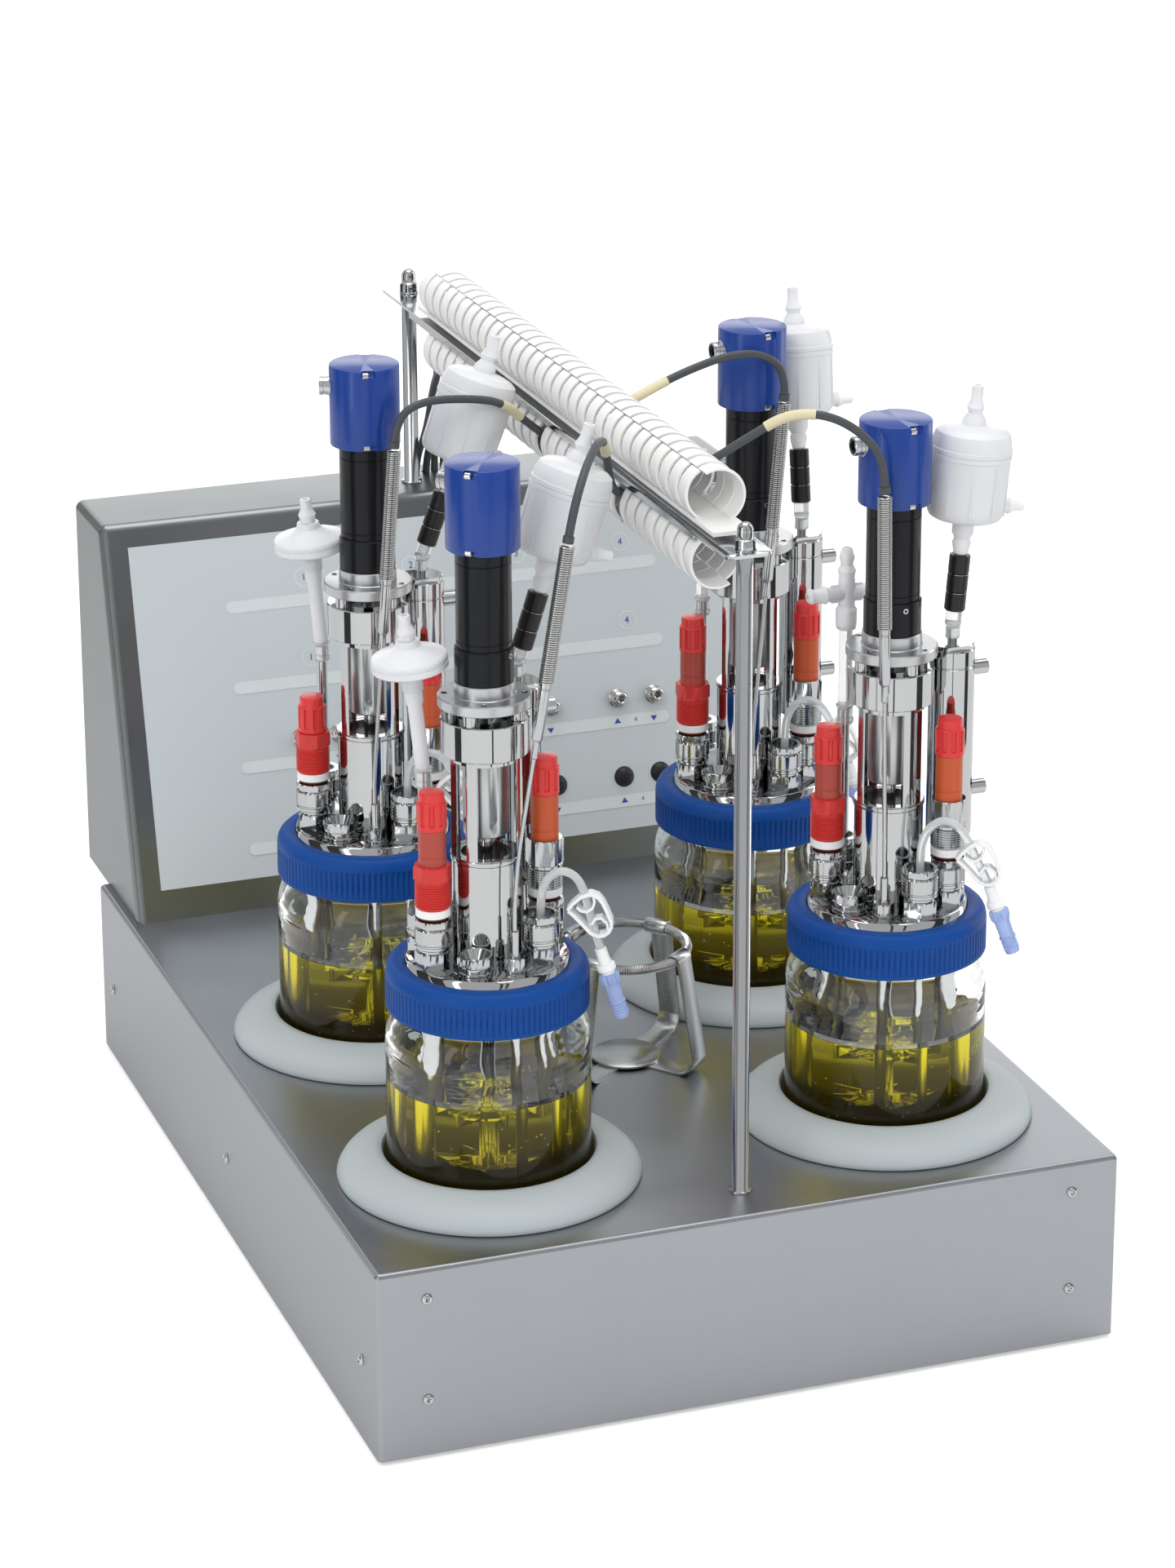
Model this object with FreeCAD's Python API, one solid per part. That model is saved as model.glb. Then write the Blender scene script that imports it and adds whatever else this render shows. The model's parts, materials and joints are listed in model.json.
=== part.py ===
"""Four-vessel bench bioreactor: heated block, control box, cable bridge and four stirred glass vessels.

Frame: millimetres, +Z up, origin at the centre of the plane that the feet stand on, -Y towards the user.
"""
import FreeCAD, Part
import math
import os
from FreeCAD import Vector

# ---------------------------------------------------------------- driving dimensions
# heated block
BLOCK_WIDTH = 460.0
BLOCK_DEPTH = 630.0
BLOCK_HEIGHT = 120.0
FOOT_HEIGHT = 3.0
FOOT_RADIUS = 12.0
FOOT_INSET = 34.0
SHEET = 1.5
BEND_RADIUS = 3.0
SCREW_HEAD_RADIUS = 3.4
SCREW_HEAD_HEIGHT = 1.9
SCREW_SHANK_RADIUS = 1.8
SCREW_SOCKET_RADIUS = 1.6
SCREW_EDGE_INSET = 30.0
SCREW_LOW = 38.0
SCREW_HIGH = 101.0

# vessel pitch, as centre distances from the block's centre line and front edge
VESSEL_PITCH_X = 251.4
VESSEL_PITCH_Y = 222.5
FRONT_ROW_INSET = 109.5

# jar and heating well
JAR_RADIUS = 60.0
JAR_WALL = 3.2
JAR_FLOOR = 4.0
JAR_CORNER = 12.0
JAR_BODY_HEIGHT = 162.0
SHOULDER_STEP = 8.5
NECK_RADIUS = JAR_RADIUS - SHOULDER_STEP
NECK_WALL = 5.0
NECK_HEIGHT = 19.5
SHOULDER_HEIGHT = 18.5
WELL_CLEARANCE = 1.0
WELL_WALL = 4.0
WELL_FLOOR = 6.0
WELL_FLANGE_WIDTH = 7.0
WELL_FLANGE_RADIUS = JAR_RADIUS + WELL_CLEARANCE + WELL_WALL + WELL_FLANGE_WIDTH
WELL_FLANGE = 3.0
WELL_BASE = 40.0
COLLAR_CLEARANCE = 2.0
COLLAR_WIDTH = 27.7
COLLAR_BORE = JAR_RADIUS + COLLAR_CLEARANCE
COLLAR_RADIUS = COLLAR_BORE + COLLAR_WIDTH
COLLAR_HEIGHT = 17.7
FIT_GAP = 0.3

# head plate and lock ring
PLATE_FLANGE = 5.2
PLATE_FLANGE_INSET = 0.5
PLATE_INSET = 4.0
PLATE_FLANGE_RADIUS = NECK_RADIUS - PLATE_FLANGE_INSET
PLATE_RADIUS = NECK_RADIUS - PLATE_INSET
PLATE_THICKNESS = 13.0
RING_WIDTH = 7.9
RING_RADIUS = NECK_RADIUS + RING_WIDTH
RING_DROP = 18.0
RING_LIP = 3.5
RING_LIP_GAP = 0.4
RING_WALL_GAP = 0.5
RING_SHOULDER = 4.0
FLUTE_COUNT = 48
FLUTE_RADIUS = 0.9

# port glands
GLAND_HEX = 19.0
GLAND_HEX_HEIGHT = 9.5
GLAND_NECK_RADIUS = 9.2
GLAND_NECK_HEIGHT = 2.0
GLAND_NUT_RADIUS = 10.8
GLAND_NUT_HEIGHT = 12.5
GLAND_CAP_HEIGHT = 5.0
GLAND_HEIGHT = GLAND_HEX_HEIGHT + GLAND_NECK_HEIGHT + GLAND_NUT_HEIGHT + GLAND_CAP_HEIGHT
PROBE_RADIUS = 6.0
PROBE_CLEARANCE = 0.15
SENSOR_BORE = PROBE_RADIUS + PROBE_CLEARANCE
PROBE_LOW = 84.0

# ports on the head plate: angle from the thermometer port and distance from the stirrer axis, which is the
# plate's radius less the port's inset from its edge
PORT_PH = (-88.0, PLATE_RADIUS - 11.5)
PORT_PLUG = (-42.0, PLATE_RADIUS - 16.5)
PORT_THERMO = (0.0, PLATE_RADIUS - 15.1)
PORT_SAMPLE = (38.0, PLATE_RADIUS - 14.0)
PORT_OXYGEN = (80.0, PLATE_RADIUS - 11.5)
PORT_CONDENSER = (123.0, PLATE_RADIUS - 6.5)
PORT_GAS = (-128.0, PLATE_RADIUS - 11.5)

# sensors
# thread top, hexagon top and cap foot of each sensor, above the head plate
PH_LEVELS = (53.0, 62.0, 83.5)
OXYGEN_LEVELS = (50.5, 66.0, 93.0)
SENSOR_RING_RADIUS = 10.0
SENSOR_RING_HEIGHT = 6.5
SENSOR_THREAD_RADIUS = 10.3
SENSOR_HEX = 19.4
SENSOR_BODY_RADIUS = 8.0
SENSOR_CAP_RADIUS = 8.6
SENSOR_CAP_HEIGHT = 17.0
SENSOR_CAP_STEP = 6.0
SENSOR_CAP_TOP_RADIUS = 7.0

# small fittings
PLUG_HEX = 19.0
PLUG_HEIGHT = 10.8
PLUG_STEM_RADIUS = 6.0
THERMO_HEX = 11.0
THERMO_HEX_HEIGHT = 8.3
THERMO_SLEEVE_RADIUS = 2.4
THERMO_SLEEVE_TOP = 24.0
THERMO_ROD_RADIUS = 1.25
THERMO_POCKET_RADIUS = 3.0
SAMPLE_PIPE_RADIUS = 2.5
GAS_PIPE_RADIUS = 3.2
GAS_PIPE_TOP = 109.0
PIPE_LOW = 72.0
SAMPLE_PIPE_DROP = 5.0

# stirrer
SHAFT_RADIUS = 4.0
RUNNING_GAP = 0.05
SHAFT_LOW = 62.0
HUB_RADIUS = 13.0
HUB_LOW = 74.0
HUB_HEIGHT = 66.0
HUB_HOLE_RADIUS = 2.3
SPINDLE_RADIUS = 3.0
TURBINE_LOW = 134.0
TURBINE_HIGH = 166.0
TURBINE_DISC_RADIUS = 16.5
TURBINE_RADIUS = 23.0
TURBINE_HUB_RADIUS = 7.0
TURBINE_HUB_HEIGHT = 10.0
TURBINE_DISC = 1.5
BLADE_HEIGHT = 9.0
BLADE_THICKNESS = 1.0
BLADE_ROOT = 11.5
BLADES = 6

# drive housing and motor, heights from the head plate's top
TUBE_RADIUS = 20.4
TUBE_WALL = 3.0
TUBE_BORE = TUBE_RADIUS - TUBE_WALL
BEARING_HEIGHT = 14.0
CAGE_LOW = 62.5
CAGE_HEIGHT = 61.5
POST_ANGLE = 20.0
HEAD_RING_WIDTH = 5.1
HEAD_RING_RADIUS = TUBE_RADIUS + HEAD_RING_WIDTH
HEAD_RING_BORE = 15.0
HEAD_RING_HEIGHT = 21.0
PIN_RADIUS = 2.6
PIN_CIRCLE = 22.0
PIN_HEIGHT = 7.0
FLANGE_RADIUS = 27.0
FLANGE_DISC = 6.5
MOTOR_RADIUS = 16.0
GEAR_STEP = 1.0
GEAR_RADIUS = MOTOR_RADIUS + GEAR_STEP
GEAR_HEIGHT = 20.5
BOSS_STEP = 0.6
BOSS_RADIUS = GEAR_RADIUS + BOSS_STEP
BOSS_HEIGHT = 8.0
MOTOR_HEIGHT = 58.0
CAP_OVERHANG = 5.25
CAP_RADIUS = MOTOR_RADIUS + CAP_OVERHANG
CAP_HEIGHT = 50.0
CAP_SEAM = 0.8
CAP_SEAM_DEPTH = 0.8
CAP_NOTCH = 5.0
SOCKET_RADIUS = 5.6
SOCKET_LENGTH = 6.0
SOCKET_LIFT = 36.0
SOCKET_TURN = -95.0

# condenser and exhaust filter, heights from the head plate's top
CONDENSER_RADIUS = 13.6
CONDENSER_LOW = 34.0
CONDENSER_TOP = 153.0
CONDENSER_LID = 13.0
CONDENSER_FOOT_RADIUS = 5.6
CONDENSER_NUT = 11.0
CONDENSER_NUT_HEIGHT = 12.0
NIPPLE_RADIUS = 4.6
NIPPLE_LENGTH = 10.0
NIPPLE_LEVELS = (60.0, 135.5)
OUTLET_RADIUS = 2.9
OUTLET_HEIGHT = 9.0
COUPLING_WALL = 1.9
COUPLING_RADIUS = OUTLET_RADIUS + COUPLING_WALL
COUPLING_HEIGHT = 11.0
COUPLING_GRIP = 6.0
FILTER_PIVOT = 1.8
SLEEVE_RINGS = 3
SLEEVE_RADIUS = 6.2
SLEEVE_HEIGHT = 34.0
FILTER_NECK = 21.0
FILTER_RADIUS = 24.0
FILTER_HEIGHT = 58.0
FILTER_DOME = 9.0
BARB_RADIUS = 4.6
BARB_HEIGHT = 23.0

# gas inlet filter
GAS_SLEEVE_WALL = 1.4
GAS_SLEEVE_RADIUS = GAS_PIPE_RADIUS + GAS_SLEEVE_WALL
GAS_SLEEVE_LENGTH = 50.0
GAS_GRIP = 9.0
DISC_RADIUS = 22.0
DISC_HEIGHT = 9.0

# control box
BOX_LEFT_INSET = 6.0
BOX_FRONT = 549.0
BOX_TOP_FRONT = 617.0
BOX_BACK = 687.0
BOX_HEIGHT = 257.5
BOX_EDGE_RADIUS = 6.0
OVERLAY = 0.4
OVERLAY_LEFT = 18.0
OVERLAY_RIGHT = 14.0
OVERLAY_LOW = 20.0
OVERLAY_TOP = 15.0
CHANNEL_PITCH = 75.5
CHANNEL_FIRST = -86.5
COUPLING_SPREAD = 26.6
PORT_ROW = 107.6
DOME_ROW = 55.0
PANEL_NUT = 11.0
PANEL_NUT_HEIGHT = 4.0
PANEL_STEM_RADIUS = 4.2
PANEL_STEM = 9.0
DOME_RADIUS = 7.2
DOME_HEIGHT = 4.2

# cable bridge
BRIDGE_X = 2.5
POST_RADIUS = 5.0
POST_FOOT_RADIUS = 7.0
POST_FOOT = 1.2
FRONT_POST_INSET = 34.0
REAR_POST_INSET = 646.0
RAIL_TOP = 510.5
RAIL_SHEET = 2.0
RAIL_WIDTH = 28.0
RAIL_OVERHANG = 9.0
RAIL_REAR_OVERHANG = 17.0
RAIL_FLANGE = 5.5
RAIL_FLANGE_INSET = 44.0
RAIL_CORNER = 4.0
STUD_RADIUS = 3.0
STUD_GAP = 0.2
NUT_HEX = 11.5
NUT_HEIGHT = 7.0
NUT_DOME_RADIUS = 4.7
NUT_TOP = 16.5

# cable duct
DUCT_RADIUS = 17.0
DUCT_WALL = 1.6
DUCT_FRONT = 75.0
DUCT_PITCH = 15.4
DUCT_SLOT = 4.0
DUCT_FINGERS = 32
DUCT_STRIP_WIDTH = 23.0
DUCT_STRIP_OVERHANG = 22.0
UPPER_STRIP = 5.5
LOWER_STRIP = 3.0
DUCT_SEAT = 3.4
FINGER_FOOT_ANGLE = 60.0
FINGER_TIP_ANGLE = 120.0
FINGER_TIP_GAP = 3.0

# bottle stand
STAND_X = 6.0
STAND_Y = 235.0
STAND_DISC_RADIUS = 21.5
STAND_STRIP = 1.2
STAND_STRIP_WIDTH = 12.0
STAND_REACH = 41.0
STAND_BEND = 8.0
STAND_RING_RADIUS = 31.5
STAND_RING_HEIGHT = 74.0
STAND_ROD_RADIUS = 3.2
STAND_CURL_GAP = 0.8
STAND_LEGS = 4
STAND_TURN = 38.0

# cords
CABLE_RADIUS = 2.5
SAMPLE_TUBE_RADIUS = 2.5
ARC_SHARE = 0.45
SPRING_RADIUS = 4.5
SPRING_LENGTH = 83.0
PROBE_TUBE_RADIUS = 3.4
PROBE_TUBE_LENGTH = 32.0
PROBE_CRIMP_RADIUS = 2.1
PROBE_CRIMP_LENGTH = 12.0
PROBE_STRAIGHT = 4.0
PROBE_BEND_RADIUS = 320.0
VALVE_RADIUS = 5.0
VALVE_LENGTH = 36.0

# ---------------------------------------------------------------- heights that follow
BLOCK_TOP = BLOCK_HEIGHT
FRONT_EDGE = -BLOCK_DEPTH / 2
JAR_BASE = WELL_BASE + WELL_FLOOR
SHOULDER_LOW = JAR_BASE + JAR_BODY_HEIGHT
NECK_LOW = SHOULDER_LOW + SHOULDER_HEIGHT
RIM = NECK_LOW + NECK_HEIGHT
PLATE_TOP = RIM + PLATE_THICKNESS
LIP_LOW = RIM + PLATE_FLANGE + FIT_GAP
RING_TOP = LIP_LOW + RING_LIP
RING_BOTTOM = RIM - RING_DROP
BOX_TOP = BLOCK_TOP + BOX_HEIGHT
BOX_LEAN = math.atan2(BOX_TOP_FRONT - BOX_FRONT, BOX_HEIGHT)
FRONT_POST_Y = FRONT_EDGE + FRONT_POST_INSET
REAR_POST_Y = FRONT_EDGE + REAR_POST_INSET
RAIL_FRONT = FRONT_POST_Y - RAIL_OVERHANG
RAIL_REAR = REAR_POST_Y + RAIL_REAR_OVERHANG
STRIP_DEPTH = DUCT_RADIUS - DUCT_SEAT
UPPER_DUCT_Z = RAIL_TOP + UPPER_STRIP + STRIP_DEPTH
LOWER_DUCT_Z = RAIL_TOP - RAIL_SHEET - LOWER_STRIP - STRIP_DEPTH
DUCT_START = FRONT_EDGE + DUCT_FRONT
PROBE_BEND = PLATE_TOP + THERMO_SLEEVE_TOP + PROBE_STRAIGHT

# each vessel's centre, the turn of its head plate and of its motor cap, the lean, its direction and the length
# of its thermometer above the port, the tilt of its exhaust filter and its direction, the tilt of its gas filter
ROW_1 = FRONT_EDGE + FRONT_ROW_INSET
ROW_2 = ROW_1 + VESSEL_PITCH_Y
HALF_PITCH = VESSEL_PITCH_X / 2
VESSELS = {
    1: dict(x=-HALF_PITCH, y=ROW_1, turn=-79.0, cap=-132.0, lean=9.5, toward=0.0, probe=227.0, tilt=18.0,
            tilt_to=0.0, nod=-6.0),
    2: dict(x=-HALF_PITCH, y=ROW_2, turn=-104.0, cap=-105.0, lean=4.4, toward=0.0, probe=222.0, tilt=20.0,
            tilt_to=0.0, nod=-5.0),
    3: dict(x=HALF_PITCH, y=ROW_1, turn=-117.0, cap=-84.0, lean=1.0, toward=180.0, probe=232.0, tilt=5.0,
            tilt_to=0.0, nod=0.0),
    4: dict(x=HALF_PITCH, y=ROW_2, turn=-107.0, cap=-84.0, lean=5.0, toward=0.0, probe=227.0, tilt=10.0,
            tilt_to=85.0, nod=0.0),
}

# sensor cables: bends after the thermometer's end, through the notch and along the duct (from its front end and
# axis), past the rail's rear (from the rear post at the rail's top) and down to the control box (from the rear
# post at the box's top)
CABLE_LEAD = 18.0
CABLE_ARCHES = {
    1: [(20.1, 23.3, 38.9), (42.1, 59.3, 41.9), (55.1, 87.3, 20.9)],
    2: [(19.4, 4.4, 26.6), (53.4, 11.4, 22.6), (74.4, 16.9, 16.6)],
    3: [(-10.5, 4.4, 34.3), (-29.5, 12.9, 46.3), (-51.5, 22.4, 46.3)],
    4: [(-15.6, -1.6, 32.2), (-39.6, -4.0, 33.2), (-62.6, -6.5, 28.2), (-84.6, -8.7, 21.2)],
}
CABLE_DUCT_RUNS = {
    1: [(-23.820472, 110.995279, 13.371715), (-7.5, 128.0, 2.1), (-0.5, 155.0, -3.9), (2.5, 205.0, -9.9),
        (4.1, 260.0, -10.9), (3.5, 320.0, -9.9), (4.5, 380.0, -10.9), (3.9, 440.0, -9.4), (4.5, 499.0, -8.0)],
    2: [(-27.548837, 253.962418, 17.09399), (-7.5, 264.0, 0.1), (-4.5, 286.0, -5.9), (-4.0, 326.0, -10.4),
        (-4.7, 385.0, -9.4), (-3.7, 440.0, -10.9), (-3.0, 492.0, -9.4)],
    3: [(32.990485, 36.531389, 21.665232), (3.5, 49.5, 0.4), (-8.0, 73.0, -3.1), (-9.5, 115.0, -5.1),
        (-9.0, 170.0, -4.1), (-9.7, 228.0, -5.1), (-9.0, 285.0, -4.1), (-9.7, 343.0, -5.1), (-9.0, 400.0, -4.1),
        (-9.0, 452.0, -5.1), (-6.5, 492.0, -5.1)],
    4: [(30.69536, 215.415726, -2.19297), (10.5, 212.0, -8.6), (-1.5, 227.5, -9.1), (1.0, 254.0, -9.1),
        (3.0, 300.0, -8.6), (2.0, 352.0, -9.6), (3.5, 405.0, -8.6), (3.0, 455.0, -9.4), (5.5, 494.0, -7.6)],
}
CABLE_RAIL_RUNS = {
    1: [],
    2: [],
    3: [(3.5, -45.0, 12.0), (19.0, -16.0, 2.5), (23.5, 6.0, -29.5)],
    4: [(14.5, -44.0, 12.5), (27.0, -19.0, 2.5), (31.5, 3.0, -28.5)],
}
CABLE_DROPS = {
    1: [(10.5, -40.0, 75.5), (15.5, -6.0, 38.5), (16.0, 19.0, 8.5), (16.0, 19.0, -13.5)],
    2: [(3.0, -41.0, 77.5), (8.7, -9.0, 38.5), (8.5, 18.5, 8.5), (8.5, 18.5, -13.5)],
    3: [(24.0, 19.0, 54.5), (23.0, 20.5, 14.5), (23.0, 20.5, -13.5)],
    4: [(31.0, 19.0, 56.5), (29.5, 21.0, 15.5), (29.5, 21.0, -13.5)],
}
# duct notches where the cables enter: side, distance from the duct's front end, width
LOWER_NOTCHES = [(-1, 121.5, 12.0), (-1, 260.2, 8.5)]
UPPER_NOTCHES = [(1, 44.6, 8.5), (1, 212.8, 8.0)]

# sample tubes: bends as (distance outward, height above the head plate), hanging in one upright plane
SAMPLE_DIRECTION = -25.0
SAMPLE_LOOPS = {
    1: [(0.0, 24.0), (0.0, 33.0), (0.8, 43.0), (5.0, 51.5), (12.5, 55.5), (20.5, 52.0), (25.0, 43.5),
        (28.5, 29.0), (32.5, 14.0), (36.5, 0.5)],
    2: [(0.0, 24.0), (0.0, 33.0), (0.8, 43.0), (5.0, 51.5), (13.5, 55.5), (22.5, 52.0), (27.5, 43.5),
        (31.0, 29.0), (35.5, 14.0), (39.5, 0.5)],
    3: [(0.0, 24.0), (0.0, 33.5), (0.6, 44.0), (4.5, 54.0), (13.0, 59.5), (22.0, 56.0), (28.5, 45.0),
        (34.0, 32.5), (39.5, 22.0), (43.4, 11.3)],
    4: [(0.0, 24.0), (0.0, 33.5), (0.6, 44.0), (4.5, 54.0), (13.0, 59.5), (22.0, 56.0), (28.5, 45.0),
        (34.0, 32.5), (39.0, 21.0), (42.6, 9.5)],
}
CLAMP_RUN = 7
CLAMP_WIDTH = 9.0
CLAMP_LENGTH = 22.0
CLAMP_SHEET = 1.6
CLAMP_SPAN = 9.0


# ---------------------------------------------------------------- shape helpers
def cylinder(radius, height, x=0.0, y=0.0, z=0.0, axis=Vector(0, 0, 1)):
    """Return a cylinder that starts at a point and runs along an axis."""
    return Part.makeCylinder(radius, height, Vector(x, y, z), axis)


def tube(outer, inner, height, x=0.0, y=0.0, z=0.0):
    """Return an upright pipe."""
    return cylinder(outer, height, x, y, z).cut(cylinder(inner, height, x, y, z))


def box(x0, x1, y0, y1, z0, z1):
    """Return a block between two corners."""
    return Part.makeBox(x1 - x0, y1 - y0, z1 - z0, Vector(x0, y0, z0))


def outline(points):
    """Return a closed wire in the XZ plane; a 4-number entry is an arc through a point to a point."""
    edges = []
    first = Vector(points[0][0], 0, points[0][1])
    last = first
    for entry in list(points[1:]) + [points[0][:2]]:
        end = Vector(entry[-2], 0, entry[-1])
        if len(entry) == 4:
            middle = Vector(entry[0], 0, entry[1])
            edges.append(Part.Arc(last, middle, end).toShape())
        elif (end - last).Length > 0:
            edges.append(Part.makeLine(last, end))
        last = end
    return Part.Wire(edges)


def dome_arc(radius, foot, top):
    """Return the outline entry of a round cap that rises from a rim to the axis."""
    rise = top - foot
    bow = (radius ** 2 + rise ** 2) / (2 * rise)
    half = math.asin(min(1.0, radius / bow)) / 2
    return bow * math.sin(half), top - bow + bow * math.cos(half), 0, top


def turned(points, x=0.0, y=0.0, z=0.0):
    """Return the solid of revolution of a (radius, height) outline about an upright axis."""
    solid = Part.Face(outline(points)).revolve(Vector(0, 0, 0), Vector(0, 0, 1), 360)
    solid.translate(Vector(x, y, z))
    return solid


def hexagon(across_flats, height, x=0.0, y=0.0, z=0.0, turn=0.0):
    """Return an upright hexagonal prism with its corners chamfered by a cone at the top."""
    corner = across_flats / math.sqrt(3)
    corners = [Vector(corner * math.cos(math.radians(60 * i)), corner * math.sin(math.radians(60 * i)), 0)
               for i in range(7)]
    prism = Part.Face(Part.makePolygon(corners)).extrude(Vector(0, 0, height))
    cone_top = across_flats / 2
    trim = Part.makeCone(cone_top + height, cone_top * 0.98, height + 0.01, Vector(0, 0, 0), Vector(0, 0, 1))
    prism = prism.common(trim)
    prism.rotate(Vector(0, 0, 0), Vector(0, 0, 1), turn)
    prism.translate(Vector(x, y, z))
    return prism


def extruded(points, start, direction):
    """Return the prism of a closed polygon given as Vectors, moved to a start point."""
    face = Part.Face(Part.makePolygon(list(points) + [points[0]]))
    prism = face.extrude(direction)
    prism.translate(start)
    return prism


def polar(centre_x, centre_y, angle, radius):
    """Return the point at an angle and distance from a centre."""
    return (centre_x + radius * math.cos(math.radians(angle)),
            centre_y + radius * math.sin(math.radians(angle)))


def port(vessel, place):
    """Return the x and y of a port on a vessel's head plate."""
    return polar(vessel["x"], vessel["y"], vessel["turn"] + place[0], place[1])


def tangent_route(points):
    """Return a wire of straight runs joined by tangent arcs, and the arcs' radii."""
    vectors = [Vector(*point) for point in points]
    edges = []
    radii = []
    last = vectors[0]
    for before, corner, after in zip(vectors, vectors[1:], vectors[2:]):
        inward = (corner - before).normalize()
        outward = (after - corner).normalize()
        turn = inward.getAngle(outward)
        shorter = min((corner - before).Length, (after - corner).Length)
        reach = ARC_SHARE * shorter
        radius = reach / math.tan(turn / 2)
        start = corner - inward * reach
        end = corner + outward * reach
        toward_centre = (outward - inward).normalize()
        centre = corner + toward_centre * (radius / math.cos(turn / 2))
        middle = centre - toward_centre * radius
        edges.append(Part.makeLine(last, start))
        edges.append(Part.Arc(start, middle, end).toShape())
        radii.append(radius)
        last = end
    edges.append(Part.makeLine(last, vectors[-1]))
    return Part.Wire(edges), radii


def cord(name, points, radius):
    """Return the round cord that follows a route, and print its bends and its volume check."""
    path, radii = tangent_route(points)
    direction = Vector(*points[1]) - Vector(*points[0])
    section = Part.Wire([Part.makeCircle(radius, Vector(*points[0]), direction)])
    solid = Part.Wire(path).makePipeShell([section], True, False)
    expected = math.pi * radius ** 2 * path.Length
    print(name, "length %.1f" % path.Length, "volume ratio %.4f" % (solid.Volume / expected),
          "radii", " ".join("%.1f" % value for value in radii))
    return solid


def leaned(shape, x, y, z, degrees, toward=0.0):
    """Return a shape leaned about a point towards a compass angle in the XY plane."""
    axis = Vector(-math.sin(math.radians(toward)), math.cos(math.radians(toward)), 0)
    result = shape.copy()
    result.rotate(Vector(x, y, z), axis, degrees)
    return result


def fused(shapes):
    """Return one solid joined from touching shapes, with shared faces merged."""
    result = shapes[0].multiFuse(shapes[1:]) if len(shapes) > 1 else shapes[0]
    return result.removeSplitter()


def save(name, shape):
    """Write one node's STEP file."""
    shape.exportStep("parts/%s.step" % name)


def save_group(name, shapes):
    """Write separate solids of one kind as one node."""
    save(name, Part.makeCompound(shapes))


# ---------------------------------------------------------------- heated block
def block_housing():
    """Folded sheet cover of the block, open below, with four well holes and its screw holes."""
    half_w = BLOCK_WIDTH / 2
    half_d = BLOCK_DEPTH / 2
    outer = box(-half_w, half_w, -half_d, half_d, FOOT_HEIGHT, BLOCK_TOP)
    bends = [edge for edge in outer.Edges
             if edge.BoundBox.ZMin > FOOT_HEIGHT + 1 or edge.BoundBox.ZLength > 1]
    outer = outer.makeFillet(BEND_RADIUS, bends)
    inner = box(-half_w + SHEET, half_w - SHEET, -half_d + SHEET, half_d - SHEET,
                FOOT_HEIGHT - 1, BLOCK_TOP - SHEET)
    inner_bends = [edge for edge in inner.Edges
                   if edge.BoundBox.ZMin > FOOT_HEIGHT or edge.BoundBox.ZLength > 1]
    cover = outer.cut(inner.makeFillet(BEND_RADIUS - SHEET, inner_bends))
    hole = JAR_RADIUS + WELL_CLEARANCE + WELL_WALL + FIT_GAP
    tools = [cylinder(hole, 2 * SHEET, vessel["x"], vessel["y"], BLOCK_TOP - 1.5 * SHEET)
             for vessel in VESSELS.values()]
    tools += [cylinder(SCREW_SHANK_RADIUS + STUD_GAP, 2 * SHEET, *start, axis=-direction)
              for start, direction in screw_places(SHEET / 2)]
    tools.append(cylinder(STUD_RADIUS + STUD_GAP, 2 * SHEET, BRIDGE_X, FRONT_POST_Y, BLOCK_TOP - 1.5 * SHEET))
    return cover.cut(Part.makeCompound(tools))


def screw_places(proud=0.0):
    """Return (point on the wall, outward direction) of each cover screw, moved out by a distance."""
    half_w = BLOCK_WIDTH / 2
    half_d = BLOCK_DEPTH / 2
    places = []
    for side in (-1, 1):
        for level in (SCREW_LOW, SCREW_HIGH):
            for face in (-1, 1):
                place = (side * (half_w - SCREW_EDGE_INSET), face * (half_d + proud), level)
                places.append((place, Vector(0, face, 0)))
        for across in (-half_d + SCREW_EDGE_INSET, 0.0, half_d - SCREW_EDGE_INSET):
            place = (side * (half_w + proud), across, SCREW_LOW + (SCREW_HIGH - SCREW_LOW) / 4)
            places.append((place, Vector(side, 0, 0)))
    return places


def housing_screws():
    """Button-head screws of the block's cover, with hexagon sockets and short shanks."""
    screws = []
    head = turned([(0, 0), (SCREW_HEAD_RADIUS, 0), (SCREW_HEAD_RADIUS * 0.84, SCREW_HEAD_HEIGHT * 0.7,
                                                    SCREW_HEAD_RADIUS * 0.45, SCREW_HEAD_HEIGHT),
                   (0, SCREW_HEAD_HEIGHT)])
    shank = cylinder(SCREW_SHANK_RADIUS, 3 * SHEET, 0, 0, -3 * SHEET)
    socket = hexagon(2 * SCREW_SOCKET_RADIUS * 0.86, SCREW_HEAD_HEIGHT, 0, 0, SCREW_HEAD_HEIGHT * 0.35)
    screw = head.fuse(shank).cut(socket)
    for start, direction in screw_places():
        placed = screw.copy()
        placed.Placement = FreeCAD.Placement(Vector(*start), FreeCAD.Rotation(Vector(0, 0, 1), direction))
        screws.append(placed)
    return screws


def block_plate():
    """Bottom cover of the block, a flat sheet inside the folded walls."""
    half_w = BLOCK_WIDTH / 2 - SHEET - FIT_GAP
    half_d = BLOCK_DEPTH / 2 - SHEET - FIT_GAP
    sheet = box(-half_w, half_w, -half_d, half_d, FOOT_HEIGHT, FOOT_HEIGHT + 2 * SHEET)
    corners = [edge for edge in sheet.Edges if edge.BoundBox.ZLength > 1]
    return sheet.makeFillet(BEND_RADIUS, corners)


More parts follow.
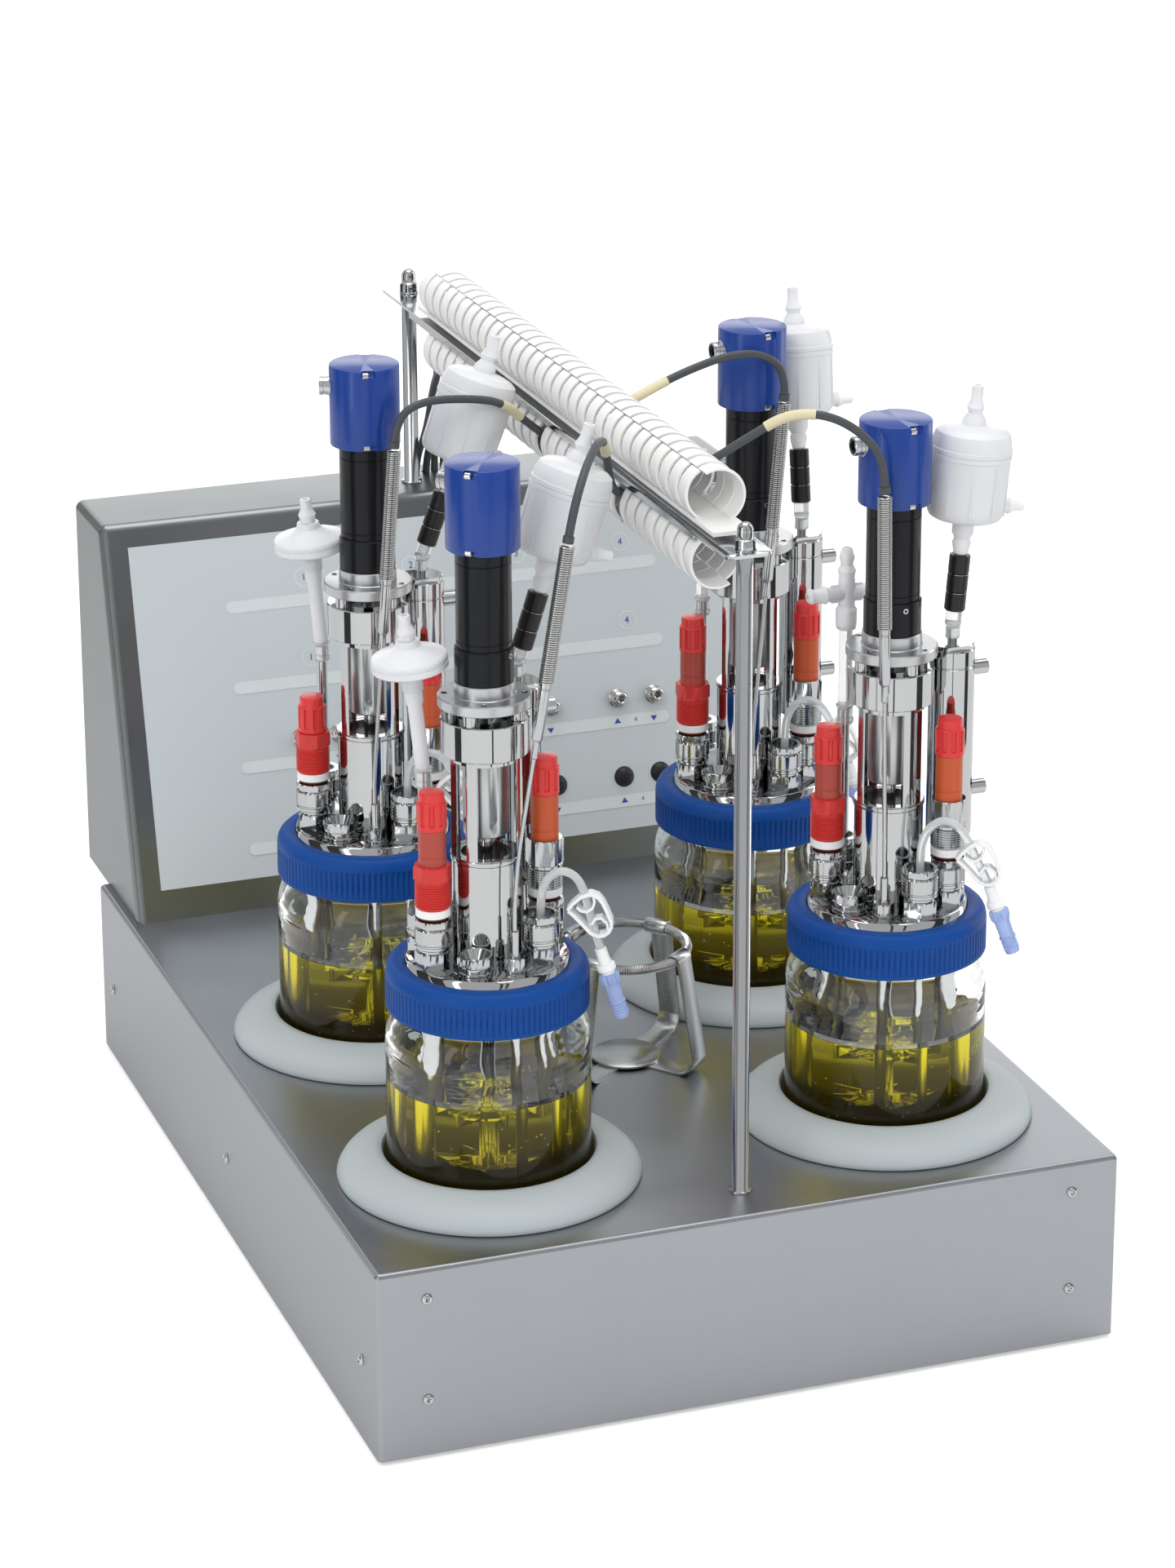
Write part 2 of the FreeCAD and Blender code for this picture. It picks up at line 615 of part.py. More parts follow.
def block_feet():
    """Round rubber feet at the corners and under the middle of the bottom sheet, a little wider at the top."""
    across = BLOCK_WIDTH / 2 - FOOT_INSET
    along = BLOCK_DEPTH / 2 - FOOT_INSET
    places = [(0.0, 0.0)] + [(side * across, end * along) for side in (-1, 1) for end in (-1, 1)]
    profile = [(0, 0), (FOOT_RADIUS - 1, 0), (FOOT_RADIUS, FOOT_HEIGHT), (0, FOOT_HEIGHT)]
    return [turned(profile, x, y) for x, y in places]


def heating_well(vessel):
    """Aluminium cup that holds the jar, hung by its flange under the block's top sheet."""
    bore = JAR_RADIUS + WELL_CLEARANCE
    outer = bore + WELL_WALL
    under = BLOCK_TOP - SHEET
    return turned([(0, WELL_BASE), (outer - 3, WELL_BASE), (outer, WELL_BASE + 3), (outer, under - WELL_FLANGE),
                   (WELL_FLANGE_RADIUS, under - WELL_FLANGE), (WELL_FLANGE_RADIUS, under), (outer, under),
                   (outer, BLOCK_TOP), (bore, BLOCK_TOP), (bore, JAR_BASE + 8),
                   (bore - 2.3, JAR_BASE + 2.3, bore - 8, JAR_BASE), (0, JAR_BASE)],
                  vessel["x"], vessel["y"])


def well_collar(vessel):
    """Domed ring that covers the edge of the well."""
    crest = BLOCK_TOP + COLLAR_HEIGHT
    return turned([(COLLAR_BORE, BLOCK_TOP), (COLLAR_RADIUS - 1.2, BLOCK_TOP), (COLLAR_RADIUS, BLOCK_TOP + 1.6),
                   (COLLAR_RADIUS - 1.6, BLOCK_TOP + 6.5, COLLAR_RADIUS - 8, crest - 6.2),
                   (COLLAR_RADIUS - 16, crest - 1.4, COLLAR_BORE + 4.5, crest),
                   (COLLAR_BORE + 1.2, crest - 1.1, COLLAR_BORE, crest - 4)],
                  vessel["x"], vessel["y"])


# ---------------------------------------------------------------- vessel
def glass_jar(vessel):
    """Blown glass jar with a rounded base, a shoulder and a ground neck."""
    inner = JAR_RADIUS - JAR_WALL
    neck_in = NECK_RADIUS - NECK_WALL
    base = JAR_BASE
    return turned([(0, base), (JAR_RADIUS - JAR_CORNER, base),
                   (JAR_RADIUS - 0.29 * JAR_CORNER, base + 0.29 * JAR_CORNER, JAR_RADIUS, base + JAR_CORNER),
                   (JAR_RADIUS, SHOULDER_LOW),
                   (JAR_RADIUS - 2.2, NECK_LOW - 6.5, NECK_RADIUS, NECK_LOW),
                   (NECK_RADIUS, RIM), (neck_in, RIM), (neck_in, NECK_LOW + 1),
                   (inner - 3.4, NECK_LOW - 7.5, inner, SHOULDER_LOW - 2),
                   (inner, base + JAR_CORNER),
                   (inner - 2.6, base + JAR_FLOOR + 2.6, inner - 9, base + JAR_FLOOR),
                   (0, base + JAR_FLOOR)],
                  vessel["x"], vessel["y"])


def head_plate(vessel):
    """Polished lid with a clamping flange and its ports."""
    plate = turned([(0, RIM), (PLATE_FLANGE_RADIUS, RIM), (PLATE_FLANGE_RADIUS, RIM + PLATE_FLANGE),
                    (PLATE_RADIUS, RIM + PLATE_FLANGE), (PLATE_RADIUS, PLATE_TOP - 1.2),
                    (PLATE_RADIUS - 1.2, PLATE_TOP), (0, PLATE_TOP)], vessel["x"], vessel["y"])
    bores = [(PORT_PH, SENSOR_BORE), (PORT_OXYGEN, SENSOR_BORE), (PORT_PLUG, PLUG_STEM_RADIUS + STUD_GAP),
             (PORT_THERMO, THERMO_ROD_RADIUS + STUD_GAP), (PORT_SAMPLE, SAMPLE_PIPE_RADIUS + STUD_GAP),
             (PORT_CONDENSER, OUTLET_RADIUS), (PORT_GAS, GAS_PIPE_RADIUS + STUD_GAP)]
    tools = [cylinder(radius, PLATE_THICKNESS, *port(vessel, place), RIM) for place, radius in bores]
    tools.append(cylinder(SHAFT_RADIUS + 2, PLATE_THICKNESS, vessel["x"], vessel["y"], RIM))
    return plate.cut(Part.makeCompound(tools))


def lock_ring(vessel):
    """Fluted screw ring that clamps the head plate on the jar."""
    bore = NECK_RADIUS + RING_WALL_GAP
    lip_bore = PLATE_RADIUS + RING_LIP_GAP
    ring = turned([(bore, RING_BOTTOM), (RING_RADIUS, RING_BOTTOM), (RING_RADIUS, RING_TOP - RING_SHOULDER - 1),
                   (RING_RADIUS - 1.3, RING_TOP - 1.5, RING_RADIUS - RING_SHOULDER - 1, RING_TOP),
                   (lip_bore, RING_TOP), (lip_bore, LIP_LOW), (bore, LIP_LOW)])
    flute_top = RING_TOP - RING_SHOULDER - 2
    flute = cylinder(FLUTE_RADIUS, flute_top - RING_BOTTOM, RING_RADIUS + FLUTE_RADIUS * 0.25, 0, RING_BOTTOM)
    flutes = []
    for index in range(FLUTE_COUNT):
        cutter = flute.copy()
        cutter.rotate(Vector(0, 0, 0), Vector(0, 0, 1), 360.0 * index / FLUTE_COUNT)
        flutes.append(cutter)
    ring = ring.cut(Part.makeCompound(flutes))
    ring.translate(Vector(vessel["x"], vessel["y"], 0))
    return ring


def turbine(level):
    """Disc turbine of six flat blades on a hub, bored for the shaft."""
    hub = cylinder(TURBINE_HUB_RADIUS, TURBINE_HUB_HEIGHT, 0, 0, level - TURBINE_HUB_HEIGHT / 2)
    disc = cylinder(TURBINE_DISC_RADIUS, TURBINE_DISC, 0, 0, level - TURBINE_DISC / 2)
    blades = []
    for index in range(BLADES):
        blade = box(BLADE_ROOT, TURBINE_RADIUS, -BLADE_THICKNESS / 2, BLADE_THICKNESS / 2,
                    level - BLADE_HEIGHT / 2, level + BLADE_HEIGHT / 2)
        blade.rotate(Vector(0, 0, 0), Vector(0, 0, 1), 360.0 * index / BLADES)
        blades.append(blade)
    return hub.multiFuse([disc] + blades)


def stirrer(vessel):
    """Shaft with two disc turbines, the coupling hub and the driving spindle above it."""
    hub_low = PLATE_TOP + HUB_LOW
    hub_top = hub_low + HUB_HEIGHT
    spindle_top = PLATE_TOP + CAGE_LOW + CAGE_HEIGHT + HEAD_RING_HEIGHT + PIN_HEIGHT + FLANGE_DISC
    shaft = cylinder(SHAFT_RADIUS, hub_low - SHAFT_LOW, 0, 0, SHAFT_LOW)
    hub = turned([(0, hub_low), (HUB_RADIUS - 0.8, hub_low), (HUB_RADIUS, hub_low + 0.8),
                  (HUB_RADIUS, hub_top - 0.8), (HUB_RADIUS - 0.8, hub_top), (0, hub_top)])
    spindle = cylinder(SPINDLE_RADIUS, spindle_top - hub_top, 0, 0, hub_top)
    body = fused([shaft, hub, spindle, turbine(TURBINE_LOW), turbine(TURBINE_HIGH)])
    holes = [cylinder(HUB_HOLE_RADIUS, 5, 0, 0, hub_low + 9, Vector(math.cos(angle), math.sin(angle), 0))
             for angle in (math.radians(90 * step) for step in range(4))]
    for hole in holes:
        hole.translate(Vector(hole.CenterOfMass.x, hole.CenterOfMass.y, 0).normalize() * (HUB_RADIUS - 4))
    body = body.cut(Part.makeCompound(holes))
    body.rotate(Vector(0, 0, 0), Vector(0, 0, 1), vessel["turn"] - 8)
    body.translate(Vector(vessel["x"], vessel["y"], 0))
    return body


def drive_housing(vessel):
    """Polished bearing tube, windowed cage and head ring, turned as one piece."""
    low = PLATE_TOP
    cage_top = low + CAGE_LOW + CAGE_HEIGHT
    bearing_bore = SHAFT_RADIUS + RUNNING_GAP
    body = turned([(bearing_bore, low), (TUBE_RADIUS - 1, low), (TUBE_RADIUS, low + 1),
                   (TUBE_RADIUS, low + CAGE_LOW - 3), (TUBE_RADIUS + 0.6, low + CAGE_LOW - 2.4),
                   (TUBE_RADIUS + 0.6, low + CAGE_LOW - 1), (TUBE_RADIUS, low + CAGE_LOW),
                   (TUBE_RADIUS, cage_top), (HEAD_RING_RADIUS, cage_top),
                   (HEAD_RING_RADIUS, cage_top + HEAD_RING_HEIGHT),
                   (HEAD_RING_BORE, cage_top + HEAD_RING_HEIGHT), (HEAD_RING_BORE, cage_top - 2),
                   (TUBE_BORE, cage_top - 4), (TUBE_BORE, low + CAGE_LOW), (bearing_bore, low + CAGE_LOW),
                   (bearing_bore, low + CAGE_LOW - BEARING_HEIGHT),
                   (TUBE_BORE - 2, low + CAGE_LOW - BEARING_HEIGHT), (TUBE_BORE - 2, low + BEARING_HEIGHT),
                   (bearing_bore, low + BEARING_HEIGHT)])
    window_angle = 90.0 - POST_ANGLE
    windows = []
    for index in range(4):
        wedge = Part.makeCylinder(TUBE_RADIUS + 2, CAGE_HEIGHT - 4, Vector(0, 0, low + CAGE_LOW),
                                  Vector(0, 0, 1), window_angle)
        wedge.rotate(Vector(0, 0, 0), Vector(0, 0, 1), 90.0 * index + POST_ANGLE / 2)
        windows.append(wedge)
    body = body.cut(Part.makeCompound(windows))
    body.rotate(Vector(0, 0, 0), Vector(0, 0, 1), vessel["turn"] - 53)
    body.translate(Vector(vessel["x"], vessel["y"], 0))
    return body


def motor_base():
    """Return the height of the motor flange's underside pins."""
    return PLATE_TOP + CAGE_LOW + CAGE_HEIGHT + HEAD_RING_HEIGHT


def motor_flange(vessel):
    """Aluminium motor flange on four locating pins, with a boss for the gear head."""
    low = motor_base()
    disc_low = low + PIN_HEIGHT
    disc_top = disc_low + FLANGE_DISC
    bore = SPINDLE_RADIUS + RUNNING_GAP
    disc = turned([(bore, disc_low), (FLANGE_RADIUS - 0.8, disc_low), (FLANGE_RADIUS, disc_low + 0.8),
                   (FLANGE_RADIUS, disc_top - 0.8), (FLANGE_RADIUS - 0.8, disc_top), (BOSS_RADIUS, disc_top),
                   (BOSS_RADIUS, disc_top + BOSS_HEIGHT), (SPINDLE_RADIUS + 2, disc_top + BOSS_HEIGHT),
                   (SPINDLE_RADIUS + 2, disc_top), (bore, disc_top)])
    pins = [cylinder(PIN_RADIUS, PIN_HEIGHT, *polar(0, 0, 90 * index + 45, PIN_CIRCLE), low)
            for index in range(4)]
    body = disc.multiFuse(pins)
    body.rotate(Vector(0, 0, 0), Vector(0, 0, 1), vessel["turn"] - 8)
    body.translate(Vector(vessel["x"], vessel["y"], 0))
    return body


def motor(vessel):
    """Black gear motor: a wider gear head with a groove, and the motor tube."""
    low = motor_base() + PIN_HEIGHT + FLANGE_DISC + BOSS_HEIGHT
    gear_top = low + GEAR_HEIGHT
    top = gear_top + MOTOR_HEIGHT
    return turned([(0, low), (GEAR_RADIUS, low), (GEAR_RADIUS, gear_top - 0.6), (GEAR_RADIUS - 0.6, gear_top),
                   (MOTOR_RADIUS, gear_top), (MOTOR_RADIUS, gear_top + 4), (MOTOR_RADIUS - 0.4, gear_top + 4.4),
                   (MOTOR_RADIUS, gear_top + 4.8), (MOTOR_RADIUS, top), (0, top)],
                  vessel["x"], vessel["y"])


def motor_cap(vessel):
    """Blue connection cap in two halves, with screw notches, and its round cable socket."""
    low = motor_base() + PIN_HEIGHT + FLANGE_DISC + BOSS_HEIGHT + GEAR_HEIGHT + MOTOR_HEIGHT
    cap = turned([(0, low), (CAP_RADIUS - 1, low), (CAP_RADIUS, low + 1), (CAP_RADIUS, low + CAP_HEIGHT - 1),
                  (CAP_RADIUS - 1, low + CAP_HEIGHT), (0, low + CAP_HEIGHT)])
    tools = [box(-CAP_SEAM / 2, CAP_SEAM / 2, -CAP_RADIUS - 1, CAP_RADIUS + 1,
                 low + CAP_HEIGHT - CAP_SEAM_DEPTH, low + CAP_HEIGHT + 1)]
    for side in (-1, 1):
        near = side * (CAP_RADIUS - 2.2)
        far = side * (CAP_RADIUS + 1)
        for level in (low - 1, low + CAP_HEIGHT - CAP_NOTCH):
            tools.append(box(-1, CAP_NOTCH, min(near, far), max(near, far), level, level + CAP_NOTCH + 1))
    cap = cap.cut(Part.makeCompound(tools))
    screws = []
    for side in (-1, 1):
        for level in (low + 2.4, low + CAP_HEIGHT - 2.6):
            screws.append(cylinder(1.5, CAP_NOTCH - 1.5, -0.4, side * (CAP_RADIUS - 1.2), level, Vector(1, 0, 0)))
    rim = SOCKET_RADIUS
    socket = turned([(0, 0), (rim, 0), (rim, SOCKET_LENGTH), (rim - 1, SOCKET_LENGTH),
                     (rim - 1, SOCKET_LENGTH - 2.5), (0, SOCKET_LENGTH - 2.5)])
    facing = math.radians(SOCKET_TURN - 90)
    direction = Vector(math.cos(facing), math.sin(facing), 0)
    root = direction * (CAP_RADIUS - 0.9)
    socket.Placement = FreeCAD.Placement(Vector(root.x, root.y, low + SOCKET_LIFT),
                                         FreeCAD.Rotation(Vector(0, 0, 1), direction))
    cap = cap.multiFuse(screws + [socket])
    cap.rotate(Vector(0, 0, 0), Vector(0, 0, 1), vessel["cap"] + 90)
    cap.translate(Vector(vessel["x"], vessel["y"], 0))
    return cap


# ---------------------------------------------------------------- ports and sensors
def gland(vessel, place, bore):
    """Screwed port gland: a hexagon, a neck, a knurled nut and a hexagon cap, bored through."""
    x, y = port(vessel, place)
    z = PLATE_TOP
    turn = vessel["turn"] + place[0]
    parts = [hexagon(GLAND_HEX, GLAND_HEX_HEIGHT, x, y, z, turn)]
    z += GLAND_HEX_HEIGHT
    parts.append(cylinder(GLAND_NECK_RADIUS, GLAND_NECK_HEIGHT, x, y, z))
    z += GLAND_NECK_HEIGHT
    parts.append(cylinder(GLAND_NUT_RADIUS, GLAND_NUT_HEIGHT, x, y, z))
    z += GLAND_NUT_HEIGHT
    parts.append(hexagon(GLAND_HEX, GLAND_CAP_HEIGHT, x, y, z, turn + 12))
    return fused(parts).cut(cylinder(bore, GLAND_HEIGHT, x, y, PLATE_TOP))


def open_gland(vessel, place, bore, cup_radius, cup_depth):
    """Port gland whose cap is an open cup above a narrower bore."""
    x, y = port(vessel, place)
    cup = cylinder(cup_radius, cup_depth, x, y, PLATE_TOP + GLAND_HEIGHT - cup_depth)
    return gland(vessel, place, bore).cut(cup)


def inoculation_plug(vessel):
    """Hexagon plug with a conical cup, screwed into its port."""
    x, y = port(vessel, PORT_PLUG)
    flange = PLATE_TOP + 1.8
    body = fused([cylinder(PLUG_HEX / 2 + 0.9, 1.8, x, y, PLATE_TOP),
                  cylinder(PLUG_HEX / 2 - 0.8, 3.0, x, y, flange),
                  hexagon(PLUG_HEX, PLUG_HEIGHT - 4.8, x, y, PLATE_TOP + 4.8, vessel["turn"] + PORT_PLUG[0] + 30),
                  cylinder(PLUG_STEM_RADIUS, PLATE_THICKNESS, x, y, RIM)])
    cup = Part.makeCone(3.0, PLUG_HEX / 2 - 0.9, PLUG_HEIGHT - 2.5,
                        Vector(x, y, PLATE_TOP + 2.5), Vector(0, 0, 1))
    return body.cut(cup)


def thermo_fitting(vessel):
    """Small hexagon fitting with the guide sleeve of the thermometer."""
    x, y = port(vessel, PORT_THERMO)
    body = fused([cylinder(THERMO_HEX / 2 + 0.8, 1.4, x, y, PLATE_TOP),
                  hexagon(THERMO_HEX, THERMO_HEX_HEIGHT - 1.4, x, y, PLATE_TOP + 1.4, vessel["turn"]),
                  cylinder(THERMO_SLEEVE_RADIUS, THERMO_SLEEVE_TOP - THERMO_HEX_HEIGHT, x, y,
                           PLATE_TOP + THERMO_HEX_HEIGHT)])
    return body.cut(cylinder(THERMO_ROD_RADIUS + STUD_GAP, THERMO_SLEEVE_TOP, x, y, PLATE_TOP))


def condenser_nut(vessel):
    """Hexagon gland at the foot of the condenser."""
    x, y = port(vessel, PORT_CONDENSER)
    nut = hexagon(CONDENSER_NUT, CONDENSER_NUT_HEIGHT, x, y, PLATE_TOP, vessel["turn"])
    return nut.cut(cylinder(OUTLET_RADIUS, CONDENSER_NUT_HEIGHT, x, y, PLATE_TOP))


def port_glands():
    """All screwed fittings that stand on the head plates."""
    solids = []
    for vessel in VESSELS.values():
        solids.append(gland(vessel, PORT_PH, SENSOR_BORE))
        solids.append(gland(vessel, PORT_OXYGEN, SENSOR_BORE))
        solids.append(open_gland(vessel, PORT_SAMPLE, SAMPLE_PIPE_RADIUS + FIT_GAP, 8.0, 6.5))
        solids.append(open_gland(vessel, PORT_GAS, GAS_PIPE_RADIUS + STUD_GAP, 6.0, 3.0))
        solids.append(inoculation_plug(vessel))
        solids.append(thermo_fitting(vessel))
        solids.append(condenser_nut(vessel))
    return solids


def sensor(vessel, place, levels):
    """Screw-in sensor: probe shaft, seal ring, thread, hexagon, barrel and ribbed screw cap."""
    x, y = port(vessel, place)
    z = PLATE_TOP + GLAND_HEIGHT
    thread_top, hexagon_top, cap_low = (PLATE_TOP + level for level in levels)
    thread_low = z + SENSOR_RING_HEIGHT
    cap_top = cap_low + SENSOR_CAP_HEIGHT
    profile = [(0, PROBE_LOW), (PROBE_RADIUS - 2, PROBE_LOW), (PROBE_RADIUS, PROBE_LOW + 3), (PROBE_RADIUS, z),
               (SENSOR_RING_RADIUS - 0.8, z), (SENSOR_RING_RADIUS, z + 0.8), (SENSOR_RING_RADIUS, thread_low),
               (SENSOR_THREAD_RADIUS - 0.8, thread_low), (SENSOR_THREAD_RADIUS - 0.8, thread_low + 1.5),
               (SENSOR_THREAD_RADIUS, thread_low + 2.3), (SENSOR_THREAD_RADIUS, thread_top),
               (SENSOR_BODY_RADIUS, thread_top), (SENSOR_BODY_RADIUS, cap_low), (SENSOR_CAP_RADIUS, cap_low),
               (SENSOR_CAP_RADIUS, cap_top), (SENSOR_CAP_TOP_RADIUS, cap_top + 0.8),
               (SENSOR_CAP_TOP_RADIUS, cap_top + SENSOR_CAP_STEP - 1),
               (SENSOR_CAP_TOP_RADIUS - 1, cap_top + SENSOR_CAP_STEP), (0, cap_top + SENSOR_CAP_STEP)]
    body = turned(profile, x, y)
    nut = hexagon(SENSOR_HEX, hexagon_top - thread_top, x, y, thread_top, vessel["turn"] + place[0] + 10)
    flats = []
    for index in range(8):
        cx, cy = polar(x, y, 45 * index + 12, SENSOR_CAP_RADIUS + 0.9)
        flats.append(cylinder(2.0, SENSOR_CAP_HEIGHT, cx, cy, cap_low + 4))
    return body.fuse(nut).cut(Part.makeCompound(flats))


def probe_axis(vessel):
    """Return the end of the thermometer's bend, its direction above it and its tip."""
    x, y = port(vessel, PORT_THERMO)
    lean = math.radians(vessel["lean"])
    toward = Vector(math.cos(math.radians(vessel["toward"])), math.sin(math.radians(vessel["toward"])), 0)
    up = Vector(0, 0, 1)
    bend = Vector(x, y, PROBE_BEND)
    middle = bend + toward * (PROBE_BEND_RADIUS * (1 - math.cos(lean / 2))) + up * (PROBE_BEND_RADIUS
                                                                                  * math.sin(lean / 2))
    end = bend + toward * (PROBE_BEND_RADIUS * (1 - math.cos(lean))) + up * (PROBE_BEND_RADIUS * math.sin(lean))
    direction = up * math.cos(lean) + toward * math.sin(lean)
    tip = end + direction * (vessel["probe"] - PROBE_BEND_RADIUS * lean)
    return bend, middle, end, direction, tip


def temperature_probe(vessel):
    """Thermometer: thin rod bent to a lean, crimp, steel tube and close-wound spring sleeve."""
    bend, middle, end, direction, tip = probe_axis(vessel)
    foot = Vector(bend.x, bend.y, RIM + 1)
    spring_foot = tip - direction * SPRING_LENGTH
    tube_foot = spring_foot - direction * PROBE_TUBE_LENGTH
    crimp_foot = tube_foot - direction * PROBE_CRIMP_LENGTH
    route = Part.Wire([Part.makeLine(foot, bend), Part.Arc(bend, middle, end).toShape(),
                       Part.makeLine(end, crimp_foot)])
    section = Part.Wire([Part.makeCircle(THERMO_ROD_RADIUS, foot, Vector(0, 0, 1))])
    rod = route.makePipeShell([section], True, False)
    return rod.multiFuse([Part.makeCylinder(PROBE_CRIMP_RADIUS, PROBE_CRIMP_LENGTH, crimp_foot, direction),
                          Part.makeCylinder(PROBE_TUBE_RADIUS, PROBE_TUBE_LENGTH, tube_foot, direction),
                          Part.makeCylinder(SPRING_RADIUS, SPRING_LENGTH, spring_foot, direction)])


def dip_tubes(vessel):
    """Thermometer pocket, sampling tube and gas sparger under the head plate."""
    solids = []
    x, y = port(vessel, PORT_THERMO)
    solids.append(turned([(THERMO_ROD_RADIUS + STUD_GAP, RIM), (THERMO_POCKET_RADIUS, RIM),
                          (THERMO_POCKET_RADIUS, PIPE_LOW), (0, PIPE_LOW - 2), (0, PIPE_LOW + 2),
                          (THERMO_ROD_RADIUS + STUD_GAP, PIPE_LOW + 2)], x, y))
    x, y = port(vessel, PORT_SAMPLE)
    pipe_top = PLATE_TOP + GLAND_HEIGHT - SAMPLE_PIPE_DROP
    solids.append(tube(SAMPLE_PIPE_RADIUS, SAMPLE_PIPE_RADIUS - 0.8, pipe_top - PIPE_LOW, x, y, PIPE_LOW))
    return solids


def gas_pipe(vessel):
    """Steel gas inlet pipe from above its gland down to the sparger below the lower turbine."""
    x, y = port(vessel, PORT_GAS)
    return tube(GAS_PIPE_RADIUS, GAS_PIPE_RADIUS - 0.8, PLATE_TOP + GAS_PIPE_TOP - PIPE_LOW, x, y, PIPE_LOW)


def gas_filter(vessel, has_disc):
    """Inlet air filter on the gas pipe: a clear sleeve with a disc filter, or a cross piece."""
    x, y = port(vessel, PORT_GAS)
    low = PLATE_TOP + GAS_PIPE_TOP
    sleeve_top = low + GAS_SLEEVE_LENGTH
    holder = [tube(GAS_SLEEVE_RADIUS + 0.7, GAS_PIPE_RADIUS + STUD_GAP, GAS_GRIP, x, y, low - GAS_GRIP),
              cylinder(GAS_SLEEVE_RADIUS + 0.7, 3, x, y, low)]
    column = [cylinder(GAS_SLEEVE_RADIUS - 0.6, sleeve_top - low - 1.5, x, y, low + 1.5)]
    if has_disc:
        column.append(turned([(0, 0), (6, 0), (6, 8), (DISC_RADIUS - 3, 12.5), (DISC_RADIUS, 14),
                              (DISC_RADIUS, 14 + DISC_HEIGHT - 3), (DISC_RADIUS - 3, 14 + DISC_HEIGHT), (8, 24.5),
                              (7.2, 31), (BARB_RADIUS, 33), (BARB_RADIUS + 0.8, 36), (3.4, 40), (3.4, 46),
                              (0, 46)], x, y, sleeve_top))
        return fused(holder + [leaned(fused(column), x, y, low + 1.5, vessel["nod"])])
    cross = turned([(0, 0), (5.6, 0), (6.4, 6), (6.4, 12), (5.0, 14), (5.0, 30), (BARB_RADIUS, 32),
                    (5.4, 36), (3.6, 40), (4.6, 44), (3.0, 50), (0, 50)], x, y, sleeve_top)
    arm = turned([(0, 0), (4.4, 0), (4.4, 12), (5.4, 14), (3.8, 20), (4.6, 23), (3.4, 25), (0, 25)])
    arms = []
    for side in (-1, 1):
        placed = arm.copy()
        placed.rotate(Vector(0, 0, 0), Vector(0, 1, 0), 90 * side)
        placed.translate(Vector(x, y, sleeve_top + 22))
        arms.append(placed)
    return fused(holder + column + [cross] + arms)


# ---------------------------------------------------------------- condenser and exhaust filter
def condenser(vessel):
    """Polished exhaust condenser with two hose nipples and a flat-sided lid."""
    x, y = port(vessel, PORT_CONDENSER)
    low = PLATE_TOP + CONDENSER_LOW
    top = PLATE_TOP + CONDENSER_TOP
    joint = top - CONDENSER_LID
    body = turned([(0, PLATE_TOP + CONDENSER_NUT_HEIGHT), (CONDENSER_FOOT_RADIUS, PLATE_TOP + CONDENSER_NUT_HEIGHT),
                   (CONDENSER_FOOT_RADIUS, low - 6), (CONDENSER_RADIUS, low), (CONDENSER_RADIUS, joint - 0.4),
                   (CONDENSER_RADIUS - 0.5, joint), (CONDENSER_RADIUS, joint + 0.4),
                   (CONDENSER_RADIUS, top - 2), (CONDENSER_RADIUS - 0.6, top - 1.4), (CONDENSER_RADIUS - 0.6, top),
                   (0, top)])
    flats = [box(-CONDENSER_RADIUS, CONDENSER_RADIUS, side * CONDENSER_RADIUS - 3.2, side * CONDENSER_RADIUS + 3.2,
                 top - 2.6, top + 1) for side in (-1, 1)]
    outlet = cylinder(OUTLET_RADIUS, OUTLET_HEIGHT, 0, 0, top)
    nipples = []
    for level in NIPPLE_LEVELS:
        nipple = turned([(0, 0), (NIPPLE_RADIUS, 0), (NIPPLE_RADIUS, NIPPLE_LENGTH),
                         (NIPPLE_RADIUS - 1.2, NIPPLE_LENGTH), (NIPPLE_RADIUS - 1.2, NIPPLE_LENGTH - 4),
                         (0, NIPPLE_LENGTH - 4)])
        nipple.rotate(Vector(0, 0, 0), Vector(0, 1, 0), 90)
        nipple.translate(Vector(CONDENSER_RADIUS - 1, 0, PLATE_TOP + level))
        nipples.append(nipple)
    result = body.cut(Part.makeCompound(flats)).multiFuse([outlet] + nipples)
    result.translate(Vector(x, y, 0))
    return result


def filter_coupling(vessel):
    """Clear connector gripping the condenser outlet, with the black sleeve leaning above it."""
    x, y = port(vessel, PORT_CONDENSER)
    low = PLATE_TOP + CONDENSER_TOP + OUTLET_HEIGHT
    grip = tube(COUPLING_RADIUS - 0.4, OUTLET_RADIUS + STUD_GAP, COUPLING_GRIP, x, y, low - COUPLING_GRIP)
    neck = cylinder(COUPLING_RADIUS - 0.4, 2 * FILTER_PIVOT, x, y, low)
    top = COUPLING_HEIGHT + SLEEVE_HEIGHT
    profile = [(0, FILTER_PIVOT), (COUPLING_RADIUS, FILTER_PIVOT), (COUPLING_RADIUS, COUPLING_HEIGHT),
               (SLEEVE_RADIUS, COUPLING_HEIGHT)]
    for index in range(1, SLEEVE_RINGS):
        groove = COUPLING_HEIGHT + SLEEVE_HEIGHT * index / SLEEVE_RINGS
        profile += [(SLEEVE_RADIUS, groove - 0.6), (SLEEVE_RADIUS - 0.6, groove), (SLEEVE_RADIUS, groove + 0.6)]
    body = turned(profile + [(SLEEVE_RADIUS, top), (0, top)], x, y, low)
    return fused([grip, neck, lean_with_filter(body, vessel)])


def lean_with_filter(shape, vessel):
    """Return a shape leaned the way the vessel's exhaust filter leans, about the condenser outlet's end."""
    x, y = port(vessel, PORT_CONDENSER)
    pivot = PLATE_TOP + CONDENSER_TOP + OUTLET_HEIGHT + FILTER_PIVOT
    return leaned(shape, x, y, pivot, vessel["tilt"], vessel["tilt_to"])


